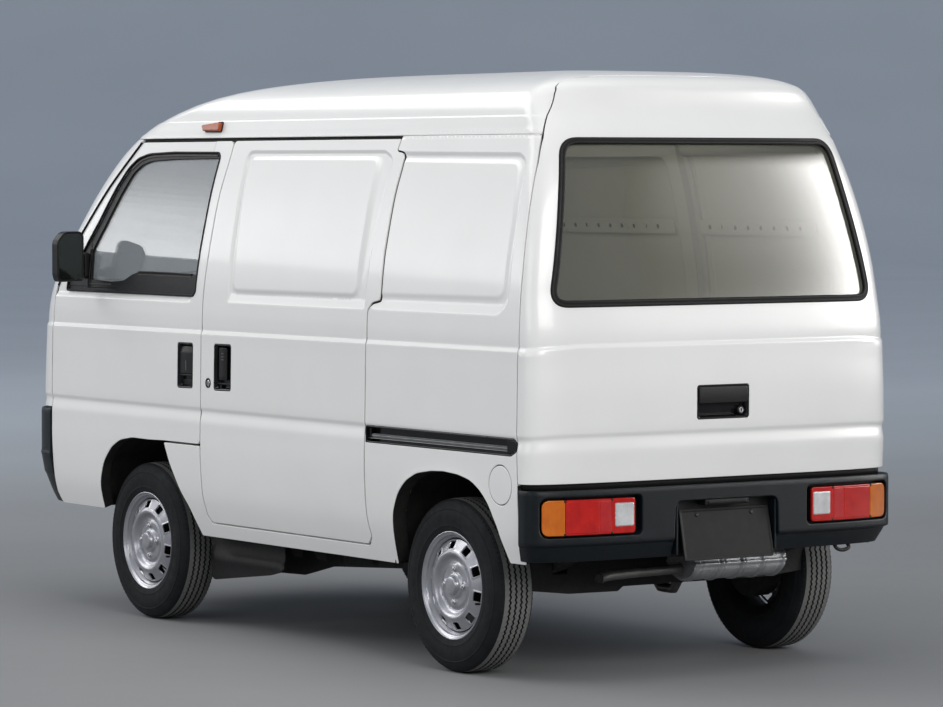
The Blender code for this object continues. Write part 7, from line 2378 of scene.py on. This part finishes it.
# =====================================================================================================
# 20. floor, backdrop, light and camera
# =====================================================================================================
# one plain sheet: floor in front, turned up far behind the van
dx_, dy_ = 0.8276, -0.5606            # direction of the view on the ground
prof = [(-90.0, 0.0), (-20.0, 0.0), (0.0, 0.0), (8.0, 0.0), (16.0, 0.0), (30.0, 0.0), (50.0, 0.0)]
for k in range(1, 25):
    a = math.pi / 2 * k / 24
    prof.append((50.0 + 30.0 * math.sin(a), 30.0 * (1 - math.cos(a))))
prof.append((80.0, 60.0))
vs, fs = [], []
for t, z in prof:
    for w in (-90.0, 90.0):
        vs.append((dx_ * t - dy_ * w, dy_ * t + dx_ * w, z))
for k in range(len(prof) - 1):
    fs.append((2 * k, 2 * k + 1, 2 * k + 3, 2 * k + 2))
me = bpy.data.meshes.new("studio_floor")
me.from_pydata(vs, [], fs)
me.shade_smooth()
floor_ob = bpy.data.objects.new("studio_floor", me)
bpy.context.scene.collection.objects.link(floor_ob)
m, nt, b = new_mat("studio_floor_mat")
n1 = noise(nt, 0.35, 2.0)
near = ramp(nt, n1.outputs["Fac"], (0.238, 0.242, 0.248), (0.262, 0.266, 0.272))
far = ramp(nt, n1.outputs["Fac"], (0.62, 0.68, 0.75), (0.65, 0.71, 0.78))
tc = nt.nodes.new("ShaderNodeTexCoord")
dp = nt.nodes.new("ShaderNodeVectorMath")
dp.operation = 'DOT_PRODUCT'
dp.inputs[1].default_value = (dx_, dy_, 0.0)
nt.links.new(tc.outputs["Object"], dp.inputs[0])
mrd = nt.nodes.new("ShaderNodeMapRange")
mrd.interpolation_type = 'SMOOTHSTEP'
mrd.inputs["From Min"].default_value = 1.0
mrd.inputs["From Max"].default_value = 17.0
nt.links.new(dp.outputs["Value"], mrd.inputs["Value"])
mx = nt.nodes.new("ShaderNodeMix")
mx.data_type = 'RGBA'
nt.links.new(mrd.outputs["Result"], mx.inputs["Factor"])
nt.links.new(near.outputs[0], mx.inputs[6])
nt.links.new(far.outputs[0], mx.inputs[7])
nt.links.new(mx.outputs[2], b.inputs["Base Color"])
n2 = noise(nt, 1.5, 2.0)
mr = rangemap(nt, n2.outputs["Fac"], 0.55, 0.62)
nt.links.new(mr.outputs[0], b.inputs["Roughness"])
b.inputs["Specular IOR Level"].default_value = 0.25
me.materials.append(m)

world = bpy.data.worlds.new("studio_world")
bpy.context.scene.world = world
world.use_nodes = True
bg = world.node_tree.nodes["Background"]
bg.inputs["Color"].default_value = (0.70, 0.74, 0.80, 1.0)
bg.inputs["Strength"].default_value = 0.50


def area_light(name, loc, target, size, power, color=(1, 1, 1), size_y=None):
    ld = bpy.data.lights.new(name, 'AREA')
    ld.energy = power
    ld.color = color
    ld.shape = 'RECTANGLE'
    ld.size = size
    ld.size_y = size_y or size
    ob = bpy.data.objects.new(name, ld)
    bpy.context.scene.collection.objects.link(ob)
    ob.location = loc
    d = Vector(target) - Vector(loc)
    ob.rotation_euler = d.to_track_quat('-Z', 'Y').to_euler()
    ob.visible_camera = False
    return ob


area_light("light_top", (-0.5, 0.8, 7.0), (-0.3, 0.0, 0.8), 9.0, 152, size_y=7.0, color=(1.0, 0.985, 0.96))
area_light("light_card", (9.5, 7.4, 9.6), (0.0, 0.4, 1.2), 15.0, 810, size_y=5.0, color=(1.0, 0.99, 0.97))
area_light("light_back", (-10.0, 1.5, 4.6), (-1.5, 0.0, 1.0), 5.0, 430, size_y=3.5, color=(1.0, 0.985, 0.955))
# large soft card at the right rear: its brightness falls off towards its edges
_ca = math.radians(62.0)
_cc = np.array([-1.6 - 10.0 * math.cos(_ca), -0.4 - 10.0 * math.sin(_ca), 0.0])
_ct = np.array([-math.sin(_ca), math.cos(_ca), 0.0])
vs, fs = [], []
_gs_, _gz = np.linspace(-3.4, 5.4, 13), np.linspace(0.9, 6.6, 9)
for a in _gs_:
    for z in _gz:
        vs.append(tuple(_cc + _ct * a + np.array([0, 0, z])))
for i in range(12):
    for j in range(8):
        k = i * 9 + j
        fs.append((k, k + 1, k + 10, k + 9))
me = bpy.data.meshes.new("light_card_right")
me.from_pydata(vs, [], fs)
card_ob = bpy.data.objects.new("light_card_right", me)
bpy.context.scene.collection.objects.link(card_ob)
m, nt, b = new_mat("light_card_right_mat")
tc = nt.nodes.new("ShaderNodeTexCoord")


def fade(vec, k0, lo, hi):
    d = nt.nodes.new("ShaderNodeVectorMath")
    d.operation = 'DOT_PRODUCT'
    d.inputs[1].default_value = vec
    nt.links.new(tc.outputs["Object"], d.inputs[0])
    q = nt.nodes.new("ShaderNodeMapRange")
    q.interpolation_type = 'SMOOTHSTEP'
    q.inputs["From Min"].default_value = k0 + lo
    q.inputs["From Max"].default_value = k0 + hi
    nt.links.new(d.outputs["Value"], q.inputs["Value"])
    return q.outputs["Result"]


def times(a, c):
    q = nt.nodes.new("ShaderNodeMath")
    q.operation = 'MULTIPLY'
    nt.links.new(a, q.inputs[0])
    if isinstance(c, float):
        q.inputs[1].default_value = c
    else:
        nt.links.new(c, q.inputs[1])
    return q.outputs[0]


_k0 = float(_cc @ _ct)
side_f = fade(tuple(_ct), _k0, 5.4, 0.2)
e = times(times(side_f, fade((0, 0, 1.0), 0.0, 0.9, 2.2)), times(fade((0, 0, 1.0), 0.0, 6.6, 5.0), 12.5))
_ad = nt.nodes.new("ShaderNodeMath")
_ad.operation = 'ADD'
_ad.inputs[1].default_value = 0.34
nt.links.new(e, _ad.inputs[0])
e = _ad.outputs[0]
b.inputs["Base Color"].default_value = (0.02, 0.02, 0.02, 1.0)
b.inputs["Emission Color"].default_value = (1.0, 0.985, 0.96, 1.0)
nt.links.new(e, b.inputs["Emission Strength"])
me.materials.append(m)
card_ob.visible_camera = False
card_ob.visible_diffuse = False
area_light("light_cabin", (-0.55, 0.0, 1.74), (-0.55, 0.0, 0.6), 1.3, 3.5, size_y=0.7, color=(1.0, 0.955, 0.70))
area_light("light_side", (-3.0, 11.0, 4.2), (-0.3, 0.5, 1.0), 8.0, 175, size_y=3.5, color=(1.0, 0.99, 0.98))
# low strips far out on the left: the bright band that the glass and the pressed panels mirror, soft upwards
_es = np.linspace(6.9, 19.0, 17)
_ls = np.interp((_es[:-1] + _es[1:]) / 2, [7.3, 8.6, 10.2, 11.8, 13.5, 15.5, 18.5], [3.7, 3.5, 2.9, 2.1, 1.4, 0.9, 0.45])
for _k, (_e0, _e1, _l) in enumerate(zip(_es[:-1], _es[1:], _ls)):
    _e0, _e1, _l = float(_e0), float(_e1), float(_l)
    _z0, _z1 = 1.3 + 14.0 * math.tan(math.radians(_e0)), 1.3 + 14.0 * math.tan(math.radians(_e1))
    _c = (0.3 + 14.0 * math.cos(math.radians(29)), 0.65 + 14.0 * math.sin(math.radians(29)))
    area_light("light_strip_%d" % _k, (_c[0], _c[1], (_z0 + _z1) / 2), (0.3, 0.65, (_z0 + _z1) / 2), 11.0, _l * math.pi * 11.0 * (_z1 - _z0),
               size_y=_z1 - _z0)

# camera solved from the photograph
CAM = (-11.6883, 7.7258, 1.5469)
YAW, PITCH, ROLL = -0.59515597, -0.04385375, -0.00056559
FPX, CX, CY, PW, PH = 4151.817, 474.75, 352.27, 943.0, 707.0
cy, sy, cp, sp = math.cos(YAW), math.sin(YAW), math.cos(PITCH), math.sin(PITCH)
dv = Vector((cy * cp, sy * cp, sp))
rv = Vector((sy, -cy, 0.0))
uv = rv.cross(dv)
r2 = rv * math.cos(ROLL) + uv * math.sin(ROLL)
u2 = uv * math.cos(ROLL) - rv * math.sin(ROLL)
cd = bpy.data.cameras.new("photo_camera")
cam = bpy.data.objects.new("photo_camera", cd)
bpy.context.scene.collection.objects.link(cam)
rot = Matrix((r2, u2, -dv)).transposed()
cam.matrix_world = Matrix.Translation(CAM) @ rot.to_4x4()
cd.sensor_width = 36.0
cd.lens = FPX * 36.0 / PW
cd.shift_x = -(CX - PW / 2) / PW
cd.shift_y = (CY - PH / 2) / PW
cd.clip_start, cd.clip_end = 0.1, 400.0
bpy.context.scene.camera = cam
bpy.context.scene.view_settings.view_transform = 'Standard'

bpy.context.view_layer.update()
